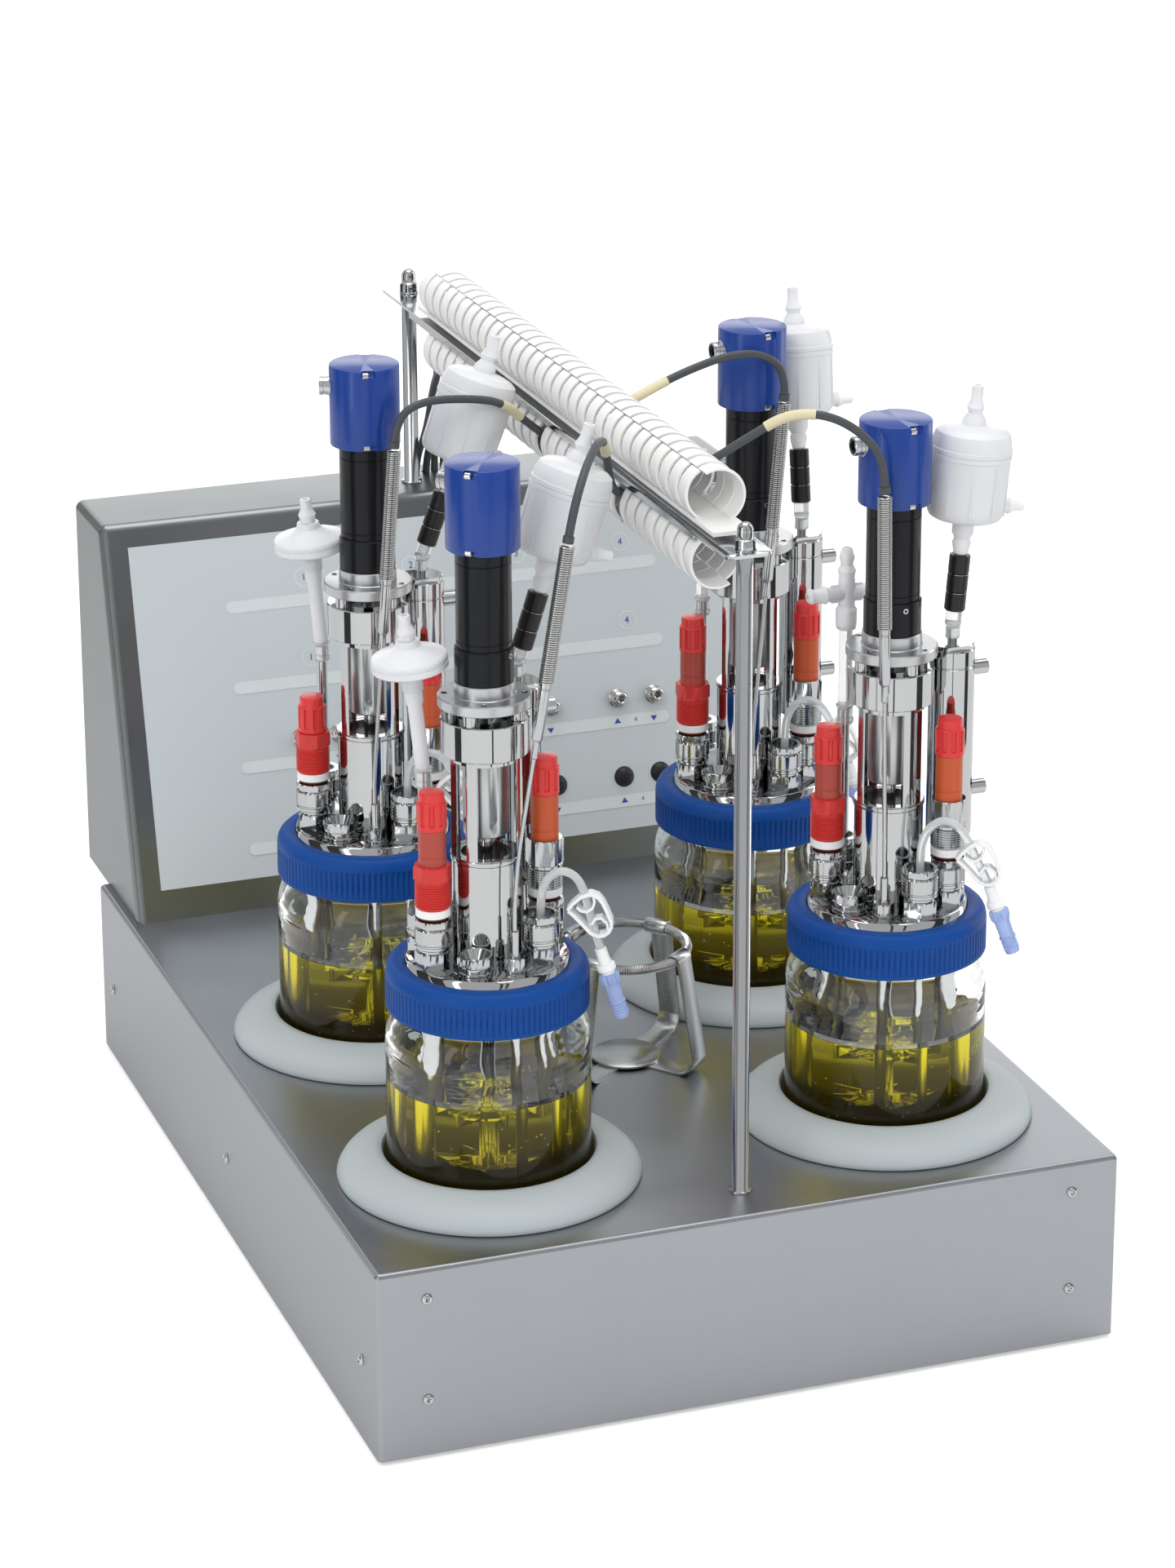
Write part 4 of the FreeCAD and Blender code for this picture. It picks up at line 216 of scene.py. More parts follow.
@dataclass(frozen=True)
class Finish:
    """A surface finish: one colour with the fine pattern of how it was made.

    Args:
        name: the material's name.
        slot: the record's material slot; not used.
        colour: linear base colour.
        roughness: middle roughness.
        grain: the pattern.
        metallic: 1 for bare metal.
        tone: share by which the colour varies.
        spread: range of the roughness.
        relief: depth of the grain, in millimetres.
        transmission: share of light let through.
        ior: index of refraction.
        coat: clear coat.
        alpha: opacity.
        anisotropic: stretch of the highlight.
        specular: strength of the mirrored light, 0.5 for a plain surface.
        glow: strength of painted light: emission in its own base colour, so that it glows though it is no lamp.
    """

    name: str
    slot: str
    colour: Colour
    roughness: float
    grain: Grain = Grain.MOULDED
    metallic: float = 0.0
    tone: float = 0.05
    spread: float = 0.06
    relief: float = 0.02
    transmission: float = 0.0
    ior: float = 1.46
    coat: float = 0.0
    alpha: float = 1.0
    anisotropic: float = 0.0
    specular: float = 0.5
    glow: float = 0.0

    def pattern(self, graph: Graph, place: Signal) -> Signal:
        """Return the grain's pattern, about 0 to 1.

        Args:
            graph: the material's graph.
            place: object coordinates.

        Returns:
            The pattern's signal.
        """
        if self.grain is Grain.BRUSHED:
            normal = graph.node("ShaderNodeNewGeometry", output="Normal")
            sideways = abs(graph.split(normal, "X")) > 0.7
            along_x = graph.noise(graph.stretched(place, (6.0, 1300.0, 1300.0)), 1.0, 3.0)
            along_y = graph.noise(graph.stretched(place, (1300.0, 6.0, 1300.0)), 1.0, 3.0)
            return along_x * (1.0 - sideways) + along_y * sideways
        if self.grain is Grain.TURNED:
            return graph.noise(graph.stretched(place, (30.0, 30.0, 3500.0)), 1.0, 2.0)
        if self.grain is Grain.DRAWN:
            return graph.noise(graph.stretched(place, (1600.0, 1600.0, 8.0)), 1.0, 2.0)
        if self.grain is Grain.POLISHED:
            return graph.noise(place, 70.0, 3.0)
        return graph.noise(place, 1900.0, 2.0)

    def base(self, graph: Graph, place: Signal, share: Signal) -> Signal | tuple[float, ...]:
        """Return the base colour, which is plain where the tone doesn't vary.

        Args:
            graph: the material's graph.
            place: object coordinates.
            share: mixed cloud and grain, about 0 to 1.

        Returns:
            The colour's signal.
        """
        if self.tone == 0:
            return (*self.colour, 1.0)
        low = tuple(value * (1 - self.tone) for value in self.colour)
        high = tuple(min(1.0, value * (1 + self.tone)) for value in self.colour)
        return graph.blend(share, low, high)

    def material(self) -> bpy.types.Material:
        """Return the finish's material, made on first use."""
        title = f"{self.name}_finish"
        known = bpy.data.materials.get(title)
        if known:
            return known
        made = bpy.data.materials.new(title)
        made.use_nodes = True
        graph = Graph(made.node_tree)
        place = graph.node("ShaderNodeTexCoord", output="Object")
        grain = self.pattern(graph, place)
        clouds = graph.noise(place, 24.0, 3.0)
        share = (clouds * 0.5 + grain * 0.5).clamped()
        sockets = {
            "Base Color": self.base(graph, place, share),
            "Roughness": self.roughness,
            "Metallic": self.metallic,
            "IOR": self.ior,
            "Transmission Weight": self.transmission,
            "Coat Weight": self.coat,
            "Coat Roughness": 0.12,
            "Alpha": self.alpha,
            "Anisotropic": self.anisotropic,
            "Specular IOR Level": self.specular,
        }
        # Painted light: the base colour is also emitted, so the surface glows.
        if self.glow > 0:
            sockets["Emission Color"] = sockets["Base Color"]
            sockets["Emission Strength"] = self.glow
        if self.spread > 0:
            rough = clouds * self.spread + grain * self.spread + (self.roughness - self.spread)
            sockets["Roughness"] = rough.clamped()
        if self.relief > 0:
            sockets["Normal"] = graph.node(
                "ShaderNodeBump", None, {"Strength": 0.5, "Distance": self.relief * MM, "Height": grain}
            )
        shader = graph.node("ShaderNodeBsdfPrincipled", None, sockets)
        graph.node("ShaderNodeOutputMaterial", None, {"Surface": shader})
        return made


@dataclass(frozen=True)
class Culture(Finish):
    """Clear yellow-green broth, with painted shade that darkens it towards the bottom of the jar, where the well and
    collar shade it.

    Args:
        low: height in metres where the painted shade is darkest.
        high: height in metres of its surface.
    """

    low: float = 0.128
    high: float = 0.183

    def base(self, graph: Graph, place: Signal, share: Signal) -> Signal:
        """Return the broth's colour by height, darkened towards the bottom as painted shade, with drifting clouds."""
        height = (graph.split(place, "Z") - self.low) * (1.0 / (self.high - self.low))
        drift = graph.noise(place, 30.0, 2.0) * 0.16 - 0.08
        # The ramp's dark low stops are painted shade from the well and collar, not the broth's own colour.
        return graph.node(
            "ShaderNodeValToRGB",
            {
                "stops": [
                    (0.0, (0.06, 0.045, 0.002)),
                    (0.36, (0.20, 0.15, 0.006)),
                    (0.52, (0.72, 0.56, 0.014)),
                    (0.66, (0.88, 0.72, 0.02)),
                    (1.0, (0.93, 0.82, 0.04)),
                ]
            },
            {"Fac": height + drift},
        )


HOUSING_STEEL = Finish("housing_steel", "stainless_sheet", (0.42, 0.435, 0.46), 0.36, Grain.BRUSHED, 1.0,
                       tone=0.07, spread=0.08, relief=0.01, anisotropic=0.4)
# The control box's stainless sheet is a darker copy of the housing's: painted shade.
SHADED_BOX_STEEL = Finish("shaded_box_steel", "stainless_sheet", (0.275, 0.29, 0.295), 0.33, Grain.BRUSHED, 1.0,
                   tone=0.08, spread=0.08, relief=0.01, anisotropic=0.4)
SCREW_STEEL = Finish("screw_steel", "screw_steel", (0.62, 0.63, 0.64), 0.22, Grain.TURNED, 1.0)
FOOT_RUBBER = Finish("foot_rubber", "rubber", (0.03, 0.03, 0.033), 0.75, relief=0.08)
OVERLAY_FOIL = Finish("overlay_foil", "panel_print", (0.555, 0.60, 0.62), 0.38, tone=0.015, relief=0.012)
PALE_INK = Finish("pale_ink", "panel_print", (0.66, 0.70, 0.72), 0.40, tone=0.02, relief=0.0)
BLUE_INK = Finish("blue_ink", "panel_print", (0.025, 0.085, 0.37), 0.45, tone=0.03, relief=0.0)
NICKEL = Finish("nickel", "nickel", (0.58, 0.58, 0.56), 0.14, Grain.TURNED, 1.0)
PLUG_RUBBER = Finish("plug_rubber", "black_plastic", (0.014, 0.014, 0.016), 0.42, relief=0.06)
MIRROR_STEEL = Finish("mirror_steel", "polished_steel", (0.56, 0.57, 0.575), 0.06, Grain.POLISHED, 1.0,
                      tone=0.03, spread=0.04, relief=0.0)
LATHE_STEEL = Finish("lathe_steel", "polished_steel", (0.55, 0.56, 0.565), 0.12, Grain.TURNED, 1.0,
                     spread=0.05, relief=0.006)
POST_STEEL = Finish("post_steel", "post_steel", (0.56, 0.57, 0.585), 0.18, Grain.DRAWN, 1.0, relief=0.006)
RAIL_STEEL = Finish("rail_steel", "rail_steel", (0.66, 0.68, 0.69), 0.13, Grain.BRUSHED, 1.0, relief=0.01)
STRIP_STEEL = Finish("strip_steel", "rail_steel", (0.56, 0.57, 0.57), 0.26, Grain.BRUSHED, 1.0, relief=0.01)
SPRING_STEEL = Finish("spring_steel", "spring_steel", (0.58, 0.585, 0.58), 0.22, Grain.POLISHED, 1.0)
DUCT_PLASTIC = Finish("duct_plastic", "duct_plastic", (0.80, 0.80, 0.79), 0.40, tone=0.02, relief=0.02)
COLLAR_PLASTIC = Finish("collar_plastic", "collar_plastic", (0.415, 0.46, 0.475), 0.42, tone=0.025, relief=0.03)
# The heating wells are near black: painted shade in their deep bores, not the aluminium's own colour.
WELL_PAINTED_SHADE = Finish("well_painted_shade", "aluminium", (0.035, 0.034, 0.032), 0.55, Grain.TURNED, 1.0)
FLANGE_ALUMINIUM = Finish("flange_aluminium", "aluminium", (0.60, 0.61, 0.62), 0.30, Grain.TURNED, 1.0,
                          tone=0.04, spread=0.05, relief=0.01)
HUB_ALUMINIUM = Finish("hub_aluminium", "aluminium", (0.62, 0.64, 0.64), 0.36, Grain.DRAWN, 1.0, relief=0.006)
MOTOR_BLACK = Finish("motor_black", "anodised_black", (0.005, 0.006, 0.008), 0.24, Grain.DRAWN,
                     tone=0.2, spread=0.05, relief=0.004, specular=0.32)
RING_BLUE = Finish("ring_blue", "ring_plastic", (0.002, 0.056, 0.27), 0.46, tone=0.08, relief=0.04, specular=0.25)
CAP_BLUE = Finish("cap_blue", "blue_plastic", (0.003, 0.040, 0.26), 0.34, tone=0.05, relief=0.015, coat=0.25)
SENSOR_RED = Finish("sensor_red", "sensor_red", (0.60, 0.034, 0.028), 0.36, tone=0.08, relief=0.03)
CAP_RED = Finish("cap_red", "sensor_red", (0.66, 0.032, 0.030), 0.30, tone=0.08, relief=0.02, coat=0.15)
BARREL_BROWN = Finish("barrel_brown", "sensor_orange", (0.40, 0.060, 0.040), 0.34, tone=0.08, relief=0.02)
BARREL_ORANGE = Finish("barrel_orange", "sensor_orange", (0.52, 0.085, 0.022), 0.36, tone=0.08, relief=0.02)
SEAL_RED = Finish("seal_red", "sensor_orange", (0.16, 0.018, 0.008), 0.40, relief=0.02)
WHITE_PLASTIC = Finish("white_plastic", "white_plastic", (0.84, 0.85, 0.85), 0.34, tone=0.02, relief=0.02)
SLEEVE_BLACK = Finish("sleeve_black", "black_plastic", (0.012, 0.012, 0.013), 0.34, relief=0.04)
CABLE_JACKET = Finish("cable_jacket", "cord", (0.060, 0.066, 0.074), 0.46, relief=0.03)
CREAM_SLEEVE = Finish("cream_sleeve", "cord", (0.66, 0.60, 0.40), 0.46, tone=0.05, relief=0.02)
JAR_GLASS = Finish("jar_glass", "glass", (0.975, 0.985, 0.975), 0.0, Grain.POLISHED, tone=0.0, spread=0.0,
                   relief=0.05, transmission=1.0, ior=1.36)
WET_GLASS = Finish("wet_glass", "glass", (0.99, 0.99, 0.97), 0.0, Grain.POLISHED, tone=0.0, spread=0.0,
                   relief=0.0, transmission=1.0, ior=1.0, alpha=0.04)
MILKY_PLASTIC = Finish("milky_plastic", "filter_plastic", (0.90, 0.91, 0.93), 0.30, tone=0.02, relief=0.02,
                       transmission=0.32, ior=1.35)
CLEAR_PLASTIC = Finish("clear_plastic", "filter_plastic", (0.93, 0.95, 0.95), 0.12, tone=0.02, relief=0.01,
                       transmission=0.75, ior=1.35)
TUBING = Finish("tubing", "silicone", (0.88, 0.91, 0.92), 0.20, tone=0.03, relief=0.02, transmission=0.6, ior=1.3)
VALVE_BLUE = Finish("valve_blue", "valve_blue", (0.46, 0.58, 0.92), 0.16, tone=0.06, relief=0.01,
                    transmission=0.4, ior=1.3)
# Painted light: the broth glows in its own yellow, and its class darkens it towards the bottom as painted shade.
BROTH = Culture("broth", "glass", (0.8, 0.75, 0.1), 0.0, Grain.POLISHED, spread=0.0, relief=0.0,
                transmission=1.0, ior=1.05, glow=0.05)
BROTH_TOP = Culture("broth_top", "glass", (0.8, 0.75, 0.1), 0.0, Grain.POLISHED, spread=0.0, relief=0.0,
                    transmission=1.0, ior=1.33)
BUBBLE = Finish("bubble", "glass", (0.95, 0.92, 0.60), 0.15, Grain.POLISHED, relief=0.0)


# ---------------------------------------------------------------- shapes
class Form:
    """A shape under work, in millimetres about its own upright axis."""

    def __init__(self) -> None:
        """Start with nothing."""
        self.bm = bmesh.new()

    def _stamp(self, known: set[bmesh.types.BMFace], slot: int) -> Form:
        """Turn the faces that were not known before outwards and give them a finish number."""
        fresh = [face for face in self.bm.faces if face not in known]
        bmesh.ops.recalc_face_normals(self.bm, faces=fresh)
        for face in fresh:
            face.material_index = slot
        return self

    def lathe(self, outline: Outline, slot: int = 0, steps: int = 48, closed: bool = False) -> Form:
        """Turn an outline about the axis.

        Args:
            outline: (radius, height) points, from the axis round to the axis, or a ring's section.
            slot: finish number of the new faces.
            steps: sides of the turned shape.
            closed: join the last point to the first, for a ring.

        Returns:
            This form.
        """
        known = set(self.bm.faces)
        verts = [self.bm.verts.new((radius, 0.0, height)) for radius, height in outline]
        pairs = list(zip(verts, verts[1:])) + ([(verts[-1], verts[0])] if closed else [])
        edges = [self.bm.edges.new(pair) for pair in pairs]
        bmesh.ops.spin(
            self.bm, geom=verts + edges, cent=(0, 0, 0), axis=(0, 0, 1), angle=math.tau, steps=steps,
            use_merge=True,
        )
        near = list({vert for face in self.bm.faces if face not in known for vert in face.verts})
        bmesh.ops.remove_doubles(self.bm, verts=near, dist=1e-4)
        return self._stamp(known, slot)

    def rod(self, radius: float, low: float, high: float, slot: int = 0, steps: int = 32, edge: float = 0.3) -> Form:
        """Add an upright round bar with broken edges."""
        return self.lathe([(0, low), (radius - edge, low), (radius, low + edge), (radius, high - edge),
                           (radius - edge, high), (0, high)], slot, steps)

    def ring(self, centre: float, section: float, height: float, slot: int = 0, steps: int = 40) -> Form:
        """Add a round-section ring about the axis."""
        corners = [(centre + section * math.cos(math.tau * k / 8), height + section * math.sin(math.tau * k / 8))
                   for k in range(8)]
        return self.lathe(corners, slot, steps, closed=True)

    def coil(self, radius: float, wire: float, pitch: float, turns: int, low: float, slot: int = 0) -> Form:
        """Add a close-wound spring.

        Args:
            radius: radius of the wire's centre line.
            wire: radius of the wire.
            pitch: rise of one turn.
            turns: number of turns.
            low: height of the first turn.
            slot: finish number.

        Returns:
            This form.
        """
        known = set(self.bm.faces)
        steps = 14
        across = Matrix.Translation((radius, 0, low)) @ Matrix.Rotation(math.radians(90), 4, "X")
        made = bmesh.ops.create_circle(self.bm, segments=6, radius=wire, matrix=across)["verts"]
        edges = list({edge for vert in made for edge in vert.link_edges})
        bmesh.ops.spin(
            self.bm, geom=made + edges, cent=(0, 0, 0), axis=(0, 0, 1), dvec=(0, 0, pitch / steps),
            angle=math.tau * turns, steps=steps * turns,
        )
        self._close()
        return self._stamp(known, slot)

    def sweep(self, path: Sequence[Vector], radius: float, slot: int = 0, sides: int = 14) -> Form:
        """Add a round bar that follows a path.

        Args:
            path: points along its centre line, in millimetres.
            radius: radius of the bar.
            slot: finish number.
            sides: sides of its section.

        Returns:
            This form.
        """
        known = set(self.bm.faces)
        heading = (path[1] - path[0]).normalized()
        turn = Vector((0, 0, 1)).rotation_difference(heading).to_matrix().to_4x4()
        made = bmesh.ops.create_circle(
            self.bm, segments=sides, radius=radius, matrix=Matrix.Translation(path[0]) @ turn
        )["verts"]
        edges = list({edge for vert in made for edge in vert.link_edges})
        for index in range(1, len(path)):
            grown = bmesh.ops.extrude_edge_only(self.bm, edges=edges)["geom"]
            made = [item for item in grown if isinstance(item, bmesh.types.BMVert)]
            edges = [item for item in grown if isinstance(item, bmesh.types.BMEdge)
                     and all(vert in made for vert in item.verts)]
            after = path[min(index + 1, len(path) - 1)] - path[index - 1]
            bend = heading.rotation_difference(after.normalized()).to_matrix()
            heading = after.normalized()
            bmesh.ops.rotate(self.bm, verts=made, cent=path[index - 1], matrix=bend)
            bmesh.ops.translate(self.bm, verts=made, vec=path[index] - path[index - 1])
        self._close()
        return self._stamp(known, slot)

    def _close(self) -> None:
        """Fill the open ends of the newest shape."""
        rims = [edge for edge in self.bm.edges if edge.is_boundary]
        bmesh.ops.holes_fill(self.bm, edges=rims, sides=0)

    def flats(self, across: float, low: float, high: float, turn: float = 0.0) -> Form:
        """Press hexagon flats into the turned shape between two heights."""
        half = math.radians(30)
        for vert in self.bm.verts:
            if low <= vert.co.z <= high:
                angle = math.atan2(vert.co.y, vert.co.x) - math.radians(turn)
                limit = across / 2 / math.cos((angle + half) % (2 * half) - half)
                self._pull(vert, min(vert.co.xy.length, limit))
        return self

    def carve(
        self, low: float, high: float, depth: Callable[[float, float, float], float], least: float = 0.0
    ) -> Form:
        """Move the side in by a depth that depends on the place.

        Args:
            low: lowest height that moves.
            high: highest height that moves.
            depth: depth in millimetres, from an angle in radians, a height and a distance from the axis.
            least: points nearer to the axis than this stay.

        Returns:
            This form.
        """
        for vert in self.bm.verts:
            reach = vert.co.xy.length
            if low <= vert.co.z <= high and reach > least:
                self._pull(vert, reach - depth(math.atan2(vert.co.y, vert.co.x), vert.co.z, reach))
        return self

    @staticmethod
    def _pull(vert: bmesh.types.BMVert, reach: float) -> None:
        """Set a point's distance from the axis."""
        old = vert.co.xy.length
        if old > 0:
            vert.co.x *= reach / old
            vert.co.y *= reach / old

    def plate(self, outline: Outline, width: float, edge: float = 0.2, slot: int = 0) -> Form:
        """Add a plate cut to an outline in the XZ plane.

        Args:
            outline: (x, z) corners in order.
            width: thickness along Y, about the plane.
            edge: width of the broken edges.
            slot: finish number.

        Returns:
            This form.
        """
        known = set(self.bm.faces)
        verts = [self.bm.verts.new((x, -width / 2, z)) for x, z in outline]
        face = self.bm.faces.new(verts)
        grown = bmesh.ops.extrude_face_region(self.bm, geom=[face])["geom"]
        far = [item for item in grown if isinstance(item, bmesh.types.BMVert)]
        bmesh.ops.translate(self.bm, verts=far, vec=(0, width, 0))
        rims = list({rim for vert in verts + far for rim in vert.link_edges
                     if abs(rim.verts[0].co.y - rim.verts[1].co.y) < 1e-6})
        bmesh.ops.bevel(self.bm, geom=rims, offset=edge, segments=2, profile=0.5, affect="EDGES", material=-1,
                        clamp_overlap=True)
        return self._stamp(known, slot)

    def sector(self, outline: Outline, start: float, sweep: float, slot: int = 0, steps: int = 16) -> Form:
        """Turn a closed section part of the way round the axis.

        Args:
            outline: (radius, height) corners of the section.
            start: angle where it begins, in degrees.
            sweep: angle that it turns through, in degrees.
            slot: finish number.
            steps: sides of the turned part.

        Returns:
            This form.
        """
        known = set(self.bm.faces)
        facing = Matrix.Rotation(math.radians(start), 3, "Z")
        face = self.bm.faces.new([self.bm.verts.new(facing @ Vector((radius, 0.0, height)))
                                  for radius, height in outline])
        bmesh.ops.spin(
            self.bm, geom=[face, *face.verts, *face.edges], cent=(0, 0, 0), axis=(0, 0, 1),
            angle=math.radians(sweep), steps=steps,
        )
        return self._stamp(known, slot)

    def move(self, matrix: Matrix) -> Form:
        """Move the whole form."""
        bmesh.ops.transform(self.bm, matrix=matrix, verts=self.bm.verts[:])
        return self

    def add(self, other: Form, matrix: Matrix | None = None) -> Form:
        """Join a moved copy of another form."""
        copy = other.mesh("copy")
        copy.transform(matrix or Matrix())
        self.bm.from_mesh(copy)
        bpy.data.meshes.remove(copy)
        return self

    def cut(self, tool: Form) -> Form:
        """Take another form's space out of this one."""
        pair = [bpy.data.objects.new(name, form.mesh(name)) for name, form in (("work", self), ("tool", tool))]
        for thing in pair:
            bpy.context.scene.collection.objects.link(thing)
        trim = pair[0].modifiers.new("trim", "BOOLEAN")
        trim.object = pair[1]
        trim.solver = "EXACT"
        trim.operation = "DIFFERENCE"
        bpy.context.view_layer.update()
        result = bpy.data.meshes.new_from_object(pair[0].evaluated_get(bpy.context.evaluated_depsgraph_get()))
        self.bm = bmesh.new()
        self.bm.from_mesh(result)
        for thing in pair:
            bpy.data.meshes.remove(thing.data)
        bpy.data.meshes.remove(result)
        return self

    def mesh(self, name: str) -> bpy.types.Mesh:
        """Return the form as a new mesh, still in millimetres."""
        made = bpy.data.meshes.new(name)
        self.bm.to_mesh(made)
        return made


def upright(x: float, y: float, z: float, turn: float = 0.0) -> Matrix:
    """Return a place in millimetres with a turn in degrees about Z."""
    return Matrix.Translation((x, y, z)) @ Matrix.Rotation(math.radians(turn), 4, "Z")


def along(start: Vector, heading: Vector) -> Matrix:
    """Return a place whose Z axis runs along a heading."""
    turn = Vector((0, 0, 1)).rotation_difference(heading.normalized())
    return Matrix.Translation(start) @ turn.to_matrix().to_4x4()


def leaning(pivot: Vector, degrees: float, toward: float) -> Matrix:
    """Return a lean about a pivot towards a compass angle."""
    axis = Vector((-math.sin(math.radians(toward)), math.cos(math.radians(toward)), 0))
    return Matrix.Translation(pivot) @ Matrix.Rotation(math.radians(degrees), 4, axis) @ Matrix.Translation(-pivot)


def ribbon(path: Outline, thickness: float) -> list[tuple[float, float]]:
    """Return the outline of a bent strip seen from its side.

    Args:
        path: (x, z) points along its middle.
        thickness: the strip's thickness.

    Returns:
        The outline's (x, z) corners, up one side and back down the other.
    """
    points = [Vector(point) for point in path]
    sides = []
    for index, point in enumerate(points):
        run = points[min(index + 1, len(points) - 1)] - points[max(index - 1, 0)]
        sides.append((point, Vector((-run.y, run.x)).normalized() * thickness / 2))
    return [tuple(point + out) for point, out in sides] + [tuple(point - out) for point, out in reversed(sides)]


def round_bend(centre: tuple[float, float], radius: float, start: float, end: float, steps: int = 8) -> Outline:
    """Return points on an arc between two angles in degrees."""
    angles = [math.radians(start + (end - start) * step / steps) for step in range(steps + 1)]
    return [(centre[0] + radius * math.cos(angle), centre[1] + radius * math.sin(angle)) for angle in angles]


def corner(node: str, end: int) -> Vector:
    """Return a node's lowest (0) or highest (1) corner, in millimetres."""
    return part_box(node)[end] / MM


def shade(mesh: bpy.types.Mesh, degrees: float = 32.0) -> None:
    """Shade a mesh smoothly up to an angle."""
    mesh.shade_smooth()
    mesh.set_sharp_from_angle(angle=math.radians(degrees))


def settle(
    name: str, mesh: bpy.types.Mesh, finishes: Sequence[Finish], body: str = BENCH, stands_for: Sequence[str] = ()
) -> bpy.types.Object:
    """Make a mesh in metres a finished piece of the model.

    Args:
        name: the piece's name.
        mesh: its mesh, in place.
        finishes: its finishes, by slot number.
        body: the CAD body that it moves with.
        stands_for: CAD nodes that it replaces.

    Returns:
        The piece.
    """
    piece = bpy.data.objects.new(name, mesh)
    for finish in finishes:
        mesh.materials.append(finish.material())
    bpy.context.scene.collection.objects.link(piece)
    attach(piece, body)
    if stands_for:
        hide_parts(*stands_for)
    LOG.info("piece %s: %d faces", name, len(mesh.polygons))
    return piece


def place(
    name: str, form: Form, finishes: Sequence[Finish], body: str = BENCH, stands_for: Sequence[str] = (),
    smooth: float = 32.0,
) -> bpy.types.Object:
    """Make a form in millimetres a finished piece.

    Args:
        name: the piece's name.
        form: its shape, in place.
        finishes: its finishes, by slot number.
        body: the CAD body that it moves with.
        stands_for: CAD nodes that it replaces.
        smooth: angle up to which it is shaded smoothly, in degrees.

    Returns:
        The piece.
    """
    mesh = form.mesh(name)
    mesh.transform(Matrix.Scale(MM, 4))
    shade(mesh, smooth)
    return settle(name, mesh, finishes, body, stands_for)


def dress(node: str, finish: Finish, frame: dict) -> None:
    """Give a CAD node that stays its finish."""
    mesh = frame["nodes"][node].data
    mesh.materials.clear()
    mesh.materials.append(finish.material())
    LOG.info("node %s: %s", node, finish.name)


def carry(node: str, finish: Finish, frame: dict, body: str = BENCH, smooth: float = 32.0) -> bpy.types.Object:
    """Show a CAD node as a merged copy with smooth shading.

    Args:
        node: the CAD node.
        finish: its finish.
        frame: the loaded frame.
        body: the body that it rides on.
        smooth: shading angle in degrees.

    Returns:
        The piece that stands for the node.
    """
    copy = bmesh.new()
    copy.from_mesh(frame["nodes"][node].data)
    bmesh.ops.remove_doubles(copy, verts=copy.verts[:], dist=2e-6)
    mesh = bpy.data.meshes.new(f"{node}_skin")
    copy.to_mesh(mesh)
    shade(mesh, smooth)
    return settle(f"{node}_skin", mesh, [finish], body, [node])




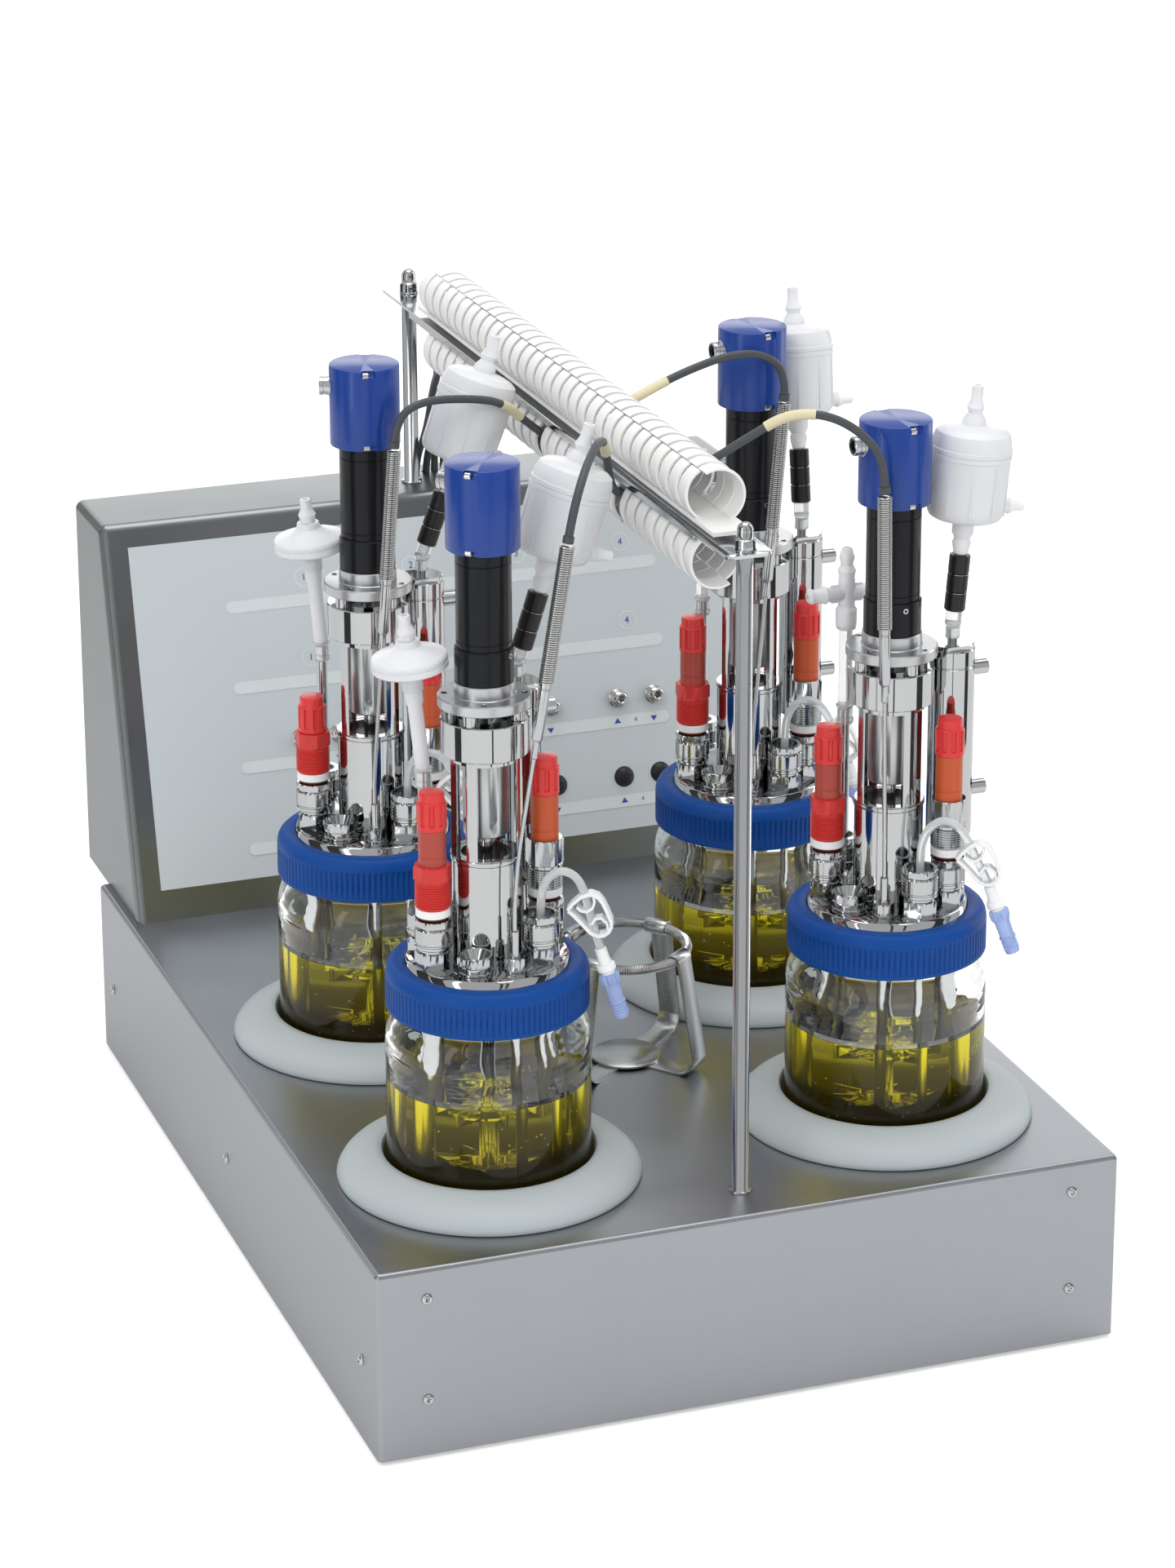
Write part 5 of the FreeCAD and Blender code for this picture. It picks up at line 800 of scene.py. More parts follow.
# ---------------------------------------------------------------- studio
@dataclass
class Studio:
    """White sweep, soft lamps, dark cards for the polished steel, and the camera.

    Args:
        eye: the camera's place in metres.
        azimuth: its compass angle in degrees.
        elevation: its height angle in degrees.
        roll: its roll in degrees.
        lens: focal length in millimetres.
        rise: vertical shift.
    """

    eye: tuple[float, float, float] = (-0.90309, -2.53535, 1.28295)
    azimuth: float = -19.82
    elevation: float = 18.22
    roll: float = -0.17
    lens: float = 105.34
    rise: float = -0.1197
    sky: float = 0.72
    gloss: float = 0.58
    floor_glow: float = 0.40

    def build(self) -> None:
        """Set up the whole studio."""
        bpy.context.scene.view_settings.view_transform = "Standard"
        self._camera()
        self._world()
        self._floor()
        self._lamp("key", (-2.2, -2.4, 3.0), (2.0, 2.0), 62.0, mirrored=False)
        self._lamp("fill", (2.8, -1.8, 1.6), (1.6, 2.2), 22.0, mirrored=False)
        self._lamp("top", (0.2, 0.4, 3.4), (2.4, 2.4), 40.0)
        self._lamp("back", (0.3, 3.0, 0.75), (4.2, 2.0), 30.0, diffuse=False)
        self._lamp("strip_left", (-2.1, -1.2, 1.0), (0.30, 2.2), 6.0, diffuse=False)
        self._lamp("strip_right", (2.4, 0.4, 1.0), (0.40, 2.2), 8.0, diffuse=False)
        for turn, width, away in ((-112.0, 1.0, 2.4), (60.0, 0.9, 2.4), (-160.0, 0.6, 2.4), (6.0, 0.16, 2.4),
                                  (-80.0, 0.34, 1.05), (52.0, 0.30, 1.05), (-6.0, 0.06, 1.05)):
            self._card(turn, width, away)

    def _camera(self) -> None:
        """Place the camera."""
        azimuth, elevation = math.radians(self.azimuth), math.radians(self.elevation)
        back = Vector((math.sin(azimuth) * math.cos(elevation), -math.cos(azimuth) * math.cos(elevation),
                       math.sin(elevation)))
        right = Vector((0, 0, 1)).cross(back).normalized()
        facing = Matrix((right, back.cross(right), back)).transposed().to_4x4()
        camera = bpy.data.objects.new("camera", bpy.data.cameras.new("camera"))
        camera.data.lens = self.lens
        camera.data.sensor_width = 36.0
        camera.data.shift_y = self.rise
        camera.matrix_world = (Matrix.Translation(self.eye) @ facing
                               @ Matrix.Rotation(math.radians(self.roll), 4, "Z"))
        bpy.context.scene.collection.objects.link(camera)
        bpy.context.scene.camera = camera

    def _world(self) -> None:
        """Light softly from all round, and show plain white behind everything."""
        world = bpy.data.worlds.new("studio")
        world.use_nodes = True
        graph = Graph(world.node_tree)
        seen, mirrored = self._seen(graph), graph.node("ShaderNodeLightPath", output="Is Glossy Ray")
        strength = seen * (1.0 - self.sky) + mirrored * (self.gloss - self.sky) + self.sky
        sky = graph.node("ShaderNodeBackground", None, {"Color": (1, 1, 1, 1), "Strength": strength})
        graph.node("ShaderNodeOutputWorld", None, {"Surface": sky})
        bpy.context.scene.world = world

    @staticmethod
    def _seen(graph: Graph) -> Signal:
        """Return 1 for what is seen directly or through glass."""
        straight = graph.node("ShaderNodeLightPath", output="Is Camera Ray")
        return (straight + graph.node("ShaderNodeLightPath", output="Is Transmission Ray")).clamped()

    def _floor(self) -> None:
        """Lay a white floor that keeps the shadow."""
        form = Form()
        bmesh.ops.create_grid(form.bm, x_segments=2, y_segments=2, size=14000.0)
        mesh = form.mesh("floor")
        mesh.transform(Matrix.Scale(MM, 4))
        floor = bpy.data.objects.new("floor", mesh)
        material = bpy.data.materials.new("floor_paper")
        material.use_nodes = True
        graph = Graph(material.node_tree)
        paper = graph.node("ShaderNodeBsdfDiffuse", None, {"Color": (0.80, 0.80, 0.80, 1)})
        glow = graph.node("ShaderNodeEmission", None, {
            "Color": (1, 1, 1, 1), "Strength": self._seen(graph) * self.floor_glow})
        both = graph.node("ShaderNodeAddShader", None, {0: paper, 1: glow})
        graph.node("ShaderNodeOutputMaterial", None, {"Surface": both})
        mesh.materials.append(material)
        bpy.context.scene.collection.objects.link(floor)

    def _lamp(self, name: str, where: tuple[float, float, float], size: tuple[float, float], power: float,
              diffuse: bool = True, mirrored: bool = True) -> None:
        """Hang a soft lamp that points at the middle of the bench.

        Args:
            name: its name.
            where: its place in metres.
            size: its width and height in metres.
            power: its power in watts.
            diffuse: let it light surfaces.
            mirrored: show it in reflections.
        """
        light = bpy.data.lights.new(name, "AREA")
        light.shape = "RECTANGLE"
        light.size, light.size_y = size
        light.energy = power
        lamp = bpy.data.objects.new(name, light)
        lamp.location = where
        lamp.rotation_euler = (Vector((0, 0, 0.25)) - Vector(where)).to_track_quat("-Z", "Y").to_euler()
        lamp.visible_camera = lamp.visible_transmission = False
        lamp.visible_diffuse, lamp.visible_glossy = diffuse, mirrored
        bpy.context.scene.collection.objects.link(lamp)

    @staticmethod
    def _card(turn: float, width: float, away: float) -> None:
        """Stand a dark card that only polished surfaces see, at a distance in metres."""
        form = Form()
        bmesh.ops.create_grid(form.bm, x_segments=1, y_segments=1, size=500.0)
        form.move(Matrix.Diagonal((width, 2.4, 1, 1)))
        form.move(Matrix.Rotation(math.radians(90), 4, "X"))
        form.move(Matrix.Rotation(math.radians(turn), 4, "Z") @ Matrix.Translation((0, -away / MM, 900)))
        mesh = form.mesh("card")
        mesh.transform(Matrix.Scale(MM, 4))
        card = bpy.data.objects.new(f"card_{round(turn)}", mesh)
        material = bpy.data.materials.get("card_black") or bpy.data.materials.new("card_black")
        material.use_nodes = True
        material.node_tree.nodes["Principled BSDF"].inputs["Base Color"].default_value = (0.02, 0.02, 0.022, 1)
        mesh.materials.append(material)
        bpy.context.scene.collection.objects.link(card)
        card.visible_camera = False
        card.visible_diffuse = False
        card.visible_shadow = False
        card.visible_transmission = False


# ---------------------------------------------------------------- vessel layout
@dataclass(frozen=True)
class Vessel:
    """One culture vessel's turn and leans.

    Args:
        number: 1 to 4.
        turn: turn of its head plate, in degrees.
        cap: turn of its motor cap.
        lean: lean of its thermometer, in degrees.
        toward: compass angle of that lean.
        probe: length of the thermometer above its bend.
        tilt: tilt of its exhaust filter.
        tilt_to: compass angle of that tilt.
        nod: tilt of its inlet filter.
    """

    number: int
    turn: float
    cap: float
    lean: float
    toward: float
    probe: float
    tilt: float
    tilt_to: float
    nod: float

    @property
    def centre(self) -> tuple[float, float]:
        """Return the vessel's axis, in millimetres."""
        middle = (corner(f"glass_jar_{self.number}", 0) + corner(f"glass_jar_{self.number}", 1)) / 2
        return middle.x, middle.y

    @property
    def deck(self) -> float:
        """Return the height of the head plate's top, in millimetres."""
        return corner(f"head_plate_{self.number}", 1).z

    def port(self, seat: Port, height: float = 0.0) -> Vector:
        """Return a port's place, at a height above the head plate."""
        angle, reach = seat.value
        x, y = self.centre
        facing = math.radians(self.turn + angle)
        return Vector((x + reach * math.cos(facing), y + reach * math.sin(facing), self.deck + height))

    def set_down(self, seat: Port, turn: float = 0.0) -> Matrix:
        """Return the place of a fitting on a port."""
        spot = self.port(seat)
        return upright(spot.x, spot.y, spot.z, self.turn + seat.value[0] + turn)


class Port(Enum):
    """The head plate's ports: angle from the vessel's turn, and distance from its axis."""

    PH = (-88.0, 36.0)
    PLUG = (-42.0, 31.0)
    THERMOMETER = (0.0, 32.4)
    SAMPLE = (38.0, 33.5)
    OXYGEN = (80.0, 36.0)
    CONDENSER = (123.0, 41.0)
    GAS = (-128.0, 36.0)


VESSELS = (
    Vessel(1, -79.0, -132.0, 9.5, 0.0, 227.0, 18.0, 0.0, -6.0),
    Vessel(2, -104.0, -105.0, 4.4, 0.0, 222.0, 20.0, 0.0, -5.0),
    Vessel(3, -117.0, -84.0, 1.0, 180.0, 232.0, 5.0, 0.0, 0.0),
    Vessel(4, -107.0, -84.0, 5.0, 0.0, 227.0, 10.0, 85.0, 0.0),
)


# ---------------------------------------------------------------- casework
@dataclass
class PanelPrint:
    """Plain marks printed on the leaning panel: ringed numbers, bars and triangles.

    Args:
        foot: a point at the panel's foot, where the block's top meets it, in millimetres.
        lean: its lean in degrees.
        first: place of channel 1 across the panel.
        pitch: distance between channels.
        ring_rows: heights of the ringed numbers above the block, measured upright.
        bar_rows: heights of the bars.
    """

    foot: Vector
    lean: float
    first: float = -87.8
    pitch: float = 75.5
    ring_rows: tuple[float, float] = (211.3, 158.9)
    bar_rows: tuple[float, ...] = (196.8, 144.1, 92.2, 38.9)
    bar: tuple[float, float] = (-143.0, 163.5)
    bar_height: float = 8.4
    proud: float = 0.46

    def at(self, x: float, up: float, lift: float = 0.0) -> Matrix:
        """Return a place on the panel that faces outwards.

        Args:
            x: distance across.
            up: height above the block.
            lift: extra distance in front of the foil.

        Returns:
            The place's matrix.
        """
        slope = math.radians(self.lean)
        spot = self.foot + Vector((x, up * math.tan(slope), up))
        facing = Matrix.Rotation(math.radians(90) - slope, 4, "X")
        return Matrix.Translation(spot) @ facing @ Matrix.Translation((0, 0, self.proud + lift))

    def build(self) -> None:
        """Print every mark."""
        pale, blue = Form(), Form()
        left, right = self.bar
        for row in self.bar_rows:
            pale.add(self._bar(right - left), self.at((left + right) / 2, row))
        for channel in range(4):
            x = self.first + self.pitch * channel
            for row, bar in zip(self.ring_rows, self.bar_rows):
                pale.add(self._ring(6.6, 1.0), self.at(x, row, 0.02))
                pale.add(self._ring(2.4, 0.8), self.at(x, bar, 0.04))
                blue.add(self._number(channel + 1, 4.6), self.at(x, row, 0.03))
            for row in self.bar_rows[2:]:
                blue.add(self._number(channel + 1, 3.4), self.at(x, row, 0.03))
                for side in (-1, 1):
                    mark = upright(0, 0, 0, 0.0 if side < 0 else 180.0)
                    blue.add(self._triangle(), self.at(x + side * 13.3, row, 0.03) @ mark)
        place("panel_bars", pale, [PALE_INK])
        place("panel_marks", blue, [BLUE_INK])

    def _bar(self, length: float) -> Form:
        """Return a flat bar with round ends."""
        form = Form()
        made = bmesh.ops.create_circle(form.bm, cap_ends=True, segments=24, radius=self.bar_height / 2)["verts"]
        for vert in made:
            vert.co.x += math.copysign((length - self.bar_height) / 2, vert.co.x)
        return form

    @staticmethod
    def _ring(radius: float, width: float) -> Form:
        """Return a flat ring."""
        return Form().lathe([(radius - width, 0), (radius, 0)], steps=40)

    @staticmethod
    def _triangle() -> Form:
        """Return a small flat triangle that points up."""
        form = Form()
        bmesh.ops.create_circle(form.bm, cap_ends=True, segments=3, radius=2.9)
        form.move(Matrix.Diagonal((1.0, 0.85, 1, 1)))
        return form

    @staticmethod
    def _number(value: int, size: float) -> Form:
        """Return a printed digit, centred."""
        curve = bpy.data.curves.new("digit", "FONT")
        curve.body = str(value)
        curve.size = size * 1.4
        curve.align_x, curve.align_y = "CENTER", "CENTER"
        letter = bpy.data.objects.new("digit", curve)
        mesh = bpy.data.meshes.new_from_object(letter)
        form = Form()
        form.bm.from_mesh(mesh)
        bpy.data.objects.remove(letter)
        bpy.data.meshes.remove(mesh)
        return form


@dataclass
class Casework:
    """Heated block and control box."""

    frame: dict
    collar_edge: float = 89.7
    collar_bore: float = 62.0
    collar_rise: float = 17.7

    def build(self) -> None:
        """Dress the sheet metal and add the panel print and the collars."""
        # The control box gets the darker copy of the stainless sheet, which is painted shade.
        for node, finish in (("base_housing", HOUSING_STEEL), ("base_plate", RAIL_STEEL), ("base_feet", FOOT_RUBBER),
                             ("control_box", SHADED_BOX_STEEL), ("panel_overlay", OVERLAY_FOIL)):
            dress(node, finish, self.frame)
        carry("housing_screws", SCREW_STEEL, self.frame)
        carry("condenser_couplings", NICKEL, self.frame)
        carry("cooler_plugs", PLUG_RUBBER, self.frame)
        # Painted shade: the heating wells are dressed near black.
        carry("heating_wells", WELL_PAINTED_SHADE, self.frame)
        self._collars()
        block = corner("base_housing", 1)
        low, high = corner("panel_overlay", 0), corner("panel_overlay", 1)
        lean = math.degrees(math.atan2(high.y - low.y, high.z - low.z))
        foot = Vector((0, low.y - (low.z - block.z) * math.tan(math.radians(lean)), block.z))
        PanelPrint(foot, lean).build()

    def _collars(self) -> None:
        """Turn the four moulded collars."""
        low = corner("well_collars", 0).z
        crest = low + self.collar_rise
        bore, edge = self.collar_bore, self.collar_edge
        outline = [(bore, low), (edge - 1.2, low), (edge - 0.3, low + 0.6), (edge, low + 1.6),
                   (edge - 0.4, low + 3.4), (edge - 2.2, low + 6.6), (edge - 5.0, low + 9.4),
                   (edge - 8.6, low + 11.7), (edge - 13.0, low + 13.9), (edge - 17.0, low + 15.6),
                   (edge - 20.5, low + 16.8), (bore + 4.8, crest - 0.1), (bore + 3.0, crest),
                   (bore + 1.3, crest - 0.5), (bore + 0.4, crest - 1.6), (bore, crest - 3.6)]
        ring = Form().lathe(outline, steps=96, closed=True)
        collars = Form()
        for vessel in VESSELS:
            collars.add(ring, upright(*vessel.centre, 0.0))
        place("well_collar_rings", collars, [COLLAR_PLASTIC], stands_for=["well_collars"])


# ---------------------------------------------------------------- cable bridge
@dataclass(frozen=True)
class SensorCable:
    """One thermometer's cable.

    Args:
        number: its vessel.
        route: control points in metres.
        sleeve: start and end of its cream label sleeve along it, in metres.
    """

    number: int
    route: tuple[tuple[float, float, float], ...]
    sleeve: tuple[float, float]
    radius: float = 0.0025

    def curve(self) -> bpy.types.Object:
        """Return the cable as a smooth spline."""
        return spline_cord(f"cable_{self.number}", self.route, self.radius, CABLE_JACKET,
                           f"sensor_cable_{self.number}")

    def build(self) -> None:
        """Lay the cable, its sleeve and the crimp at the thermometer."""
        path = centre_line(self.curve())
        run = section_of(path, *self.sleeve)
        form = Form().sweep(run, self.radius / MM + 0.55, 0)
        place(f"cable_sleeve_{self.number}", form, [CREAM_SLEEVE])
        neck = section_of(path, 0.0, 0.004)
        place(f"cable_neck_{self.number}", Form().sweep(neck, self.radius / MM + 0.8, 0), [CABLE_JACKET])


def spline_cord(
    name: str, route: Sequence[tuple[float, float, float]], radius: float, finish: Finish, node: str
) -> bpy.types.Object:
    """Lay a cord on a smooth spline through its route's control points.

    Args:
        name: the piece's name.
        route: control points in metres.
        radius: the cord's radius in metres.
        finish: its finish.
        node: the CAD node that it stands for.

    Returns:
        The curve object.
    """
    data = bpy.data.curves.new(name, "CURVE")
    data.dimensions = "3D"
    data.bevel_depth = radius
    data.bevel_resolution = 4
    data.use_fill_caps = True
    line = data.splines.new("NURBS")
    line.points.add(len(route) - 1)
    for point, place_at in zip(line.points, route):
        point.co = (*place_at, 1.0)
    line.order_u = 3
    line.use_endpoint_u = True
    line.resolution_u = 10
    data.materials.append(finish.material())
    cord = bpy.data.objects.new(name, data)
    bpy.context.scene.collection.objects.link(cord)
    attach(cord, BENCH)
    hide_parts(node)
    LOG.info("cord %s: %d control points", name, len(route))
    return cord


def centre_line(cord: bpy.types.Object) -> list[Vector]:
    """Return the points of a cord's own spline, in metres."""
    bare = cord.data.copy()
    bare.bevel_depth = 0.0
    carrier = bpy.data.objects.new("line", bare)
    mesh = bpy.data.meshes.new_from_object(carrier)
    points = [vert.co.copy() for vert in mesh.vertices]
    bpy.data.objects.remove(carrier)
    bpy.data.meshes.remove(mesh)
    bpy.data.curves.remove(bare)
    return points


def section_of(path: Sequence[Vector], start: float, end: float) -> list[Vector]:
    """Return the part of a path between two lengths along it, in millimetres.

    Args:
        path: points in metres.
        start: length where it begins, in metres.
        end: length where it ends.

    Returns:
        Points in millimetres.
    """
    kept, done = [], 0.0
    for before, after in zip(path, path[1:]):
        step = (after - before).length
        for mark in (start, end):
            if done <= mark < done + step:
                kept.append(before.lerp(after, (mark - done) / step) / MM)
        done += step
        if start < done < end:
            kept.append(after / MM)
    return kept


CABLES = (
    SensorCable(1, (
        (-0.0864, -0.2373, 0.5114), (-0.0834, -0.2373, 0.5291), (-0.0663, -0.214, 0.5503),
        (-0.0443, -0.178, 0.5533), (-0.0313, -0.15, 0.5323), (-0.0213, -0.129, 0.5053), (-0.005, -0.112, 0.494),
        (0.002, -0.085, 0.488), (0.005, -0.035, 0.482), (0.0066, 0.02, 0.481), (0.006, 0.08, 0.482),
        (0.007, 0.14, 0.481), (0.0064, 0.2, 0.4825), (0.007, 0.259, 0.4839), (0.013, 0.291, 0.453),
        (0.018, 0.325, 0.416), (0.0185, 0.35, 0.386), (0.0185, 0.35, 0.364)), (0.100, 0.122)),
    SensorCable(2, (
        (-0.1174, -0.0144, 0.5084), (-0.1161, -0.0144, 0.5263), (-0.098, -0.01, 0.535), (-0.064, -0.003, 0.531),
        (-0.043, 0.0025, 0.525), (-0.025, 0.014, 0.509), (-0.005, 0.024, 0.492), (-0.002, 0.046, 0.486),
        (-0.0015, 0.086, 0.4815), (-0.0022, 0.145, 0.4825), (-0.0012, 0.2, 0.481), (-0.0005, 0.252, 0.4825),
        (0.0055, 0.29, 0.455), (0.0112, 0.322, 0.416), (0.011, 0.3495, 0.386), (0.011, 0.3495, 0.364)),
        (0.093, 0.114)),
    SensorCable(3, (
        (0.107, -0.2344, 0.519), (0.1067, -0.2344, 0.537), (0.0965, -0.23, 0.5533), (0.0775, -0.2215, 0.5653),
        (0.0555, -0.212, 0.5653), (0.0355, -0.2035, 0.5513), (0.006, -0.1905, 0.53), (-0.0055, -0.167, 0.5265),
        (-0.007, -0.125, 0.5245), (-0.0065, -0.07, 0.5255), (-0.0072, -0.012, 0.5245), (-0.0065, 0.045, 0.5255),
        (-0.0072, 0.103, 0.5245), (-0.0065, 0.16, 0.5255), (-0.0065, 0.212, 0.5245), (-0.004, 0.252, 0.5245),
        (0.006, 0.286, 0.5225), (0.0215, 0.315, 0.513), (0.026, 0.337, 0.481), (0.0265, 0.35, 0.432),
        (0.0255, 0.3515, 0.392), (0.0255, 0.3515, 0.364)), (0.068, 0.098)),
    SensorCable(4, (
        (0.1348, -0.014, 0.5132), (0.1364, -0.014, 0.5311), (0.1192, -0.0156, 0.5454), (0.0952, -0.018, 0.5464),
        (0.0722, -0.0205, 0.5414), (0.0502, -0.0227, 0.5344), (0.0332, -0.0246, 0.5274), (0.013, -0.028, 0.521),
        (0.001, -0.0125, 0.5205), (0.0035, 0.014, 0.5205), (0.0055, 0.06, 0.521), (0.0045, 0.112, 0.52),
        (0.006, 0.165, 0.521), (0.0055, 0.215, 0.5202), (0.008, 0.254, 0.522), (0.017, 0.287, 0.523),
        (0.0295, 0.312, 0.513), (0.034, 0.334, 0.482), (0.0335, 0.35, 0.434), (0.032, 0.352, 0.393),
        (0.032, 0.352, 0.364)), (0.104, 0.134)),
)


@dataclass
class CableDuct:
    """Slotted duct: a back strip and two rows of curved fingers that close over the cables.

    Args:
        node: the CAD duct that it stands for.
        side: 1 for the duct on top of the rail, -1 for the one under it.
        notches: place and width of each gap that a cable goes in through, from the first finger.
    """

    node: str
    side: int
    notches: tuple[tuple[float, float], ...]
    radius: float = 17.0
    pitch: float = 15.4
    finger: float = 13.2
    fingers: int = 32
    strip: float = 23.0
    overhang: float = 22.0
    seat: float = 3.4

    def build(self) -> None:
        """Mould the duct along the rail."""
        low, high = corner(self.node, 0), corner(self.node, 1)
        middle = (low.x + high.x) / 2
        level = high.z - self.radius if self.side > 0 else low.z + self.radius
        outer, inner = self.radius, self.radius - 1.6
        section = [(inner, 0.0), (outer - 0.3, 0.0), (outer, 0.6), (outer - 0.1, 3.0), (outer - 0.75, self.finger - 0.4),
                   (outer - 1.1, self.finger), (inner - 0.6, self.finger), (inner - 0.3, 6.0)]
        half = self.pitch / 2
        pair = Form().sector(section, -60.0, 177.5, 0, 20)
        pair.add(Form().sector(section, 120.0, 119.6, 0, 14), Matrix.Translation((0, 0, half)))
        form = Form()
        for index in range(self.fingers):
            form.add(pair, Matrix.Translation((0, 0, index * self.pitch)))
        form.move(Matrix.Rotation(math.radians(90.0), 4, "X") @ Matrix.Scale(-1, 4, (0, 0, 1)))
        form.move(Matrix.Rotation(math.radians(0.0 if self.side > 0 else 180.0), 4, "Y"))
        for along_it, width in self.notches:
            gap = Form()
            bmesh.ops.create_cube(gap.bm, size=1.0, matrix=Matrix.Translation(
                (self.side * outer * 0.78, along_it, 0)) @ Matrix.Diagonal((outer * 0.56, width, outer * 1.4, 1)))
            form.cut(gap)
        strip = Form()
        length = self.fingers * self.pitch + 2 * self.overhang
        bmesh.ops.create_cube(strip.bm, size=1.0, matrix=Matrix.Translation(
            (0, length / 2 - self.overhang, -self.side * (outer - self.seat + 1.2))) @ Matrix.Diagonal(
                (self.strip, length, 2.4, 1)))
        form.add(strip)
        form.move(Matrix.Translation((middle, low.y + self.overhang, level)))
        place(f"{self.node}_fingers", form, [DUCT_PLASTIC], stands_for=[self.node])


@dataclass
class Bridge:
    """Posts, rail, ducts and the sensor cables that run in them."""

    frame: dict

    def build(self) -> None:
        """Dress the bridge."""
        carry("bridge_posts", POST_STEEL, self.frame)
        carry("post_cap_nuts", MIRROR_STEEL, self.frame)
        carry("cable_rail", RAIL_STEEL, self.frame)
        CableDuct("upper_duct", 1, ((44.6, 8.5), (212.8, 8.0))).build()
        CableDuct("lower_duct", -1, ((121.5, 12.0), (260.2, 8.5))).build()
        for cable in CABLES:
            cable.build()


# ---------------------------------------------------------------- bottle stand
@dataclass
class BottleStand:
    """Disc screwed on four flared strip legs that curl over a spring-covered ring.

    Args:
        wire: radius of the ring's covering spring.
        turns: turns of that spring.
        ring: radius of the ring.
        level: height of the ring above the block.
        reach: how far the legs' bends stand out.
        bend: radius of those bends.
        strip: thickness of the strip.
        width: width of the strip.
        turn: compass angle of the first leg.
    """

    wire: float = 3.2
    turns: int = 170
    ring: float = 38.0
    level: float = 74.0
    reach: float = 54.0
    bend: float = 13.0
    strip: float = 1.2
    width: float = 15.0
    turn: float = 38.0
    disc: float = 22.0

    def build(self) -> None:
        """Bend the legs and wind the ring's spring."""
        low, high = corner("vessel_stand", 0), corner("vessel_stand", 1)
        middle = (low + high) / 2
        foot = upright(middle.x, middle.y, low.z)
        form = Form()
        for index in range(4):
            form.add(self._leg(), Matrix.Rotation(math.radians(self.turn + 90.0 * index), 4, "Z"))
        top = 2 * self.strip
        form.add(Form().lathe([(0, self.strip), (self.disc - 0.2, self.strip), (self.disc, self.strip + 0.3),
                               (self.disc, top + 0.1), (self.disc - 0.4, top + 0.4), (0, top + 0.4)], 0, 72))
        screw = Form().lathe([(0, top + 0.4), (3.9, top + 0.4), (3.6, top + 1.0), (2.4, top + 1.7), (0, top + 1.9)],
                             1, 32)
        slot_cut = Form()
        for angle in (20.0, 110.0):
            bmesh.ops.create_cube(slot_cut.bm, size=1.0, matrix=upright(0, 0, top + 1.9, angle)
                                  @ Matrix.Diagonal((4.4, 0.9, 1.4, 1)))
        form.add(screw.cut(slot_cut))
        place("vessel_stand_strips", form.move(foot), [STRIP_STEEL, SCREW_STEEL], stands_for=["vessel_stand"],
              smooth=40.0)
        self._ring(foot)

    def _leg(self) -> Form:
        """Return one leg along +X: out under the disc, up its bend and over the ring."""
        half = self.strip / 2
        grip = self.wire + 0.5 + half
        turned = round_bend((self.reach - self.bend, self.bend), self.bend - half, -90.0, -8.0)
        curl = round_bend((self.ring, self.level), grip, -14.0, 248.0, 20)
        path = [(3.0, half), (self.reach - self.bend - 8.0, half), *turned, *curl]
        return Form().plate(ribbon(path, self.strip), self.width, 0.25)

    def _ring(self, foot: Matrix) -> None:
        """Wind the spring round the ring."""
        section = [(self.ring + self.wire * math.cos(math.tau * k / 10), self.wire * math.sin(math.tau * k / 10))
                   for k in range(10)]
        form = Form().lathe(section, steps=2 * self.turns, closed=True)
        step = math.tau / (2 * self.turns)
        for vert in form.bm.verts:
            angle = math.atan2(vert.co.y, vert.co.x)
            if round(angle / step) % 2:
                heart = Vector((math.cos(angle) * self.ring, math.sin(angle) * self.ring, 0))
                vert.co = heart + (vert.co - heart) * 0.84
        form.move(foot @ Matrix.Translation((0, 0, self.level)))
        place("stand_ring_spring", form, [SPRING_STEEL], stands_for=["stand_ring"], smooth=24.0)


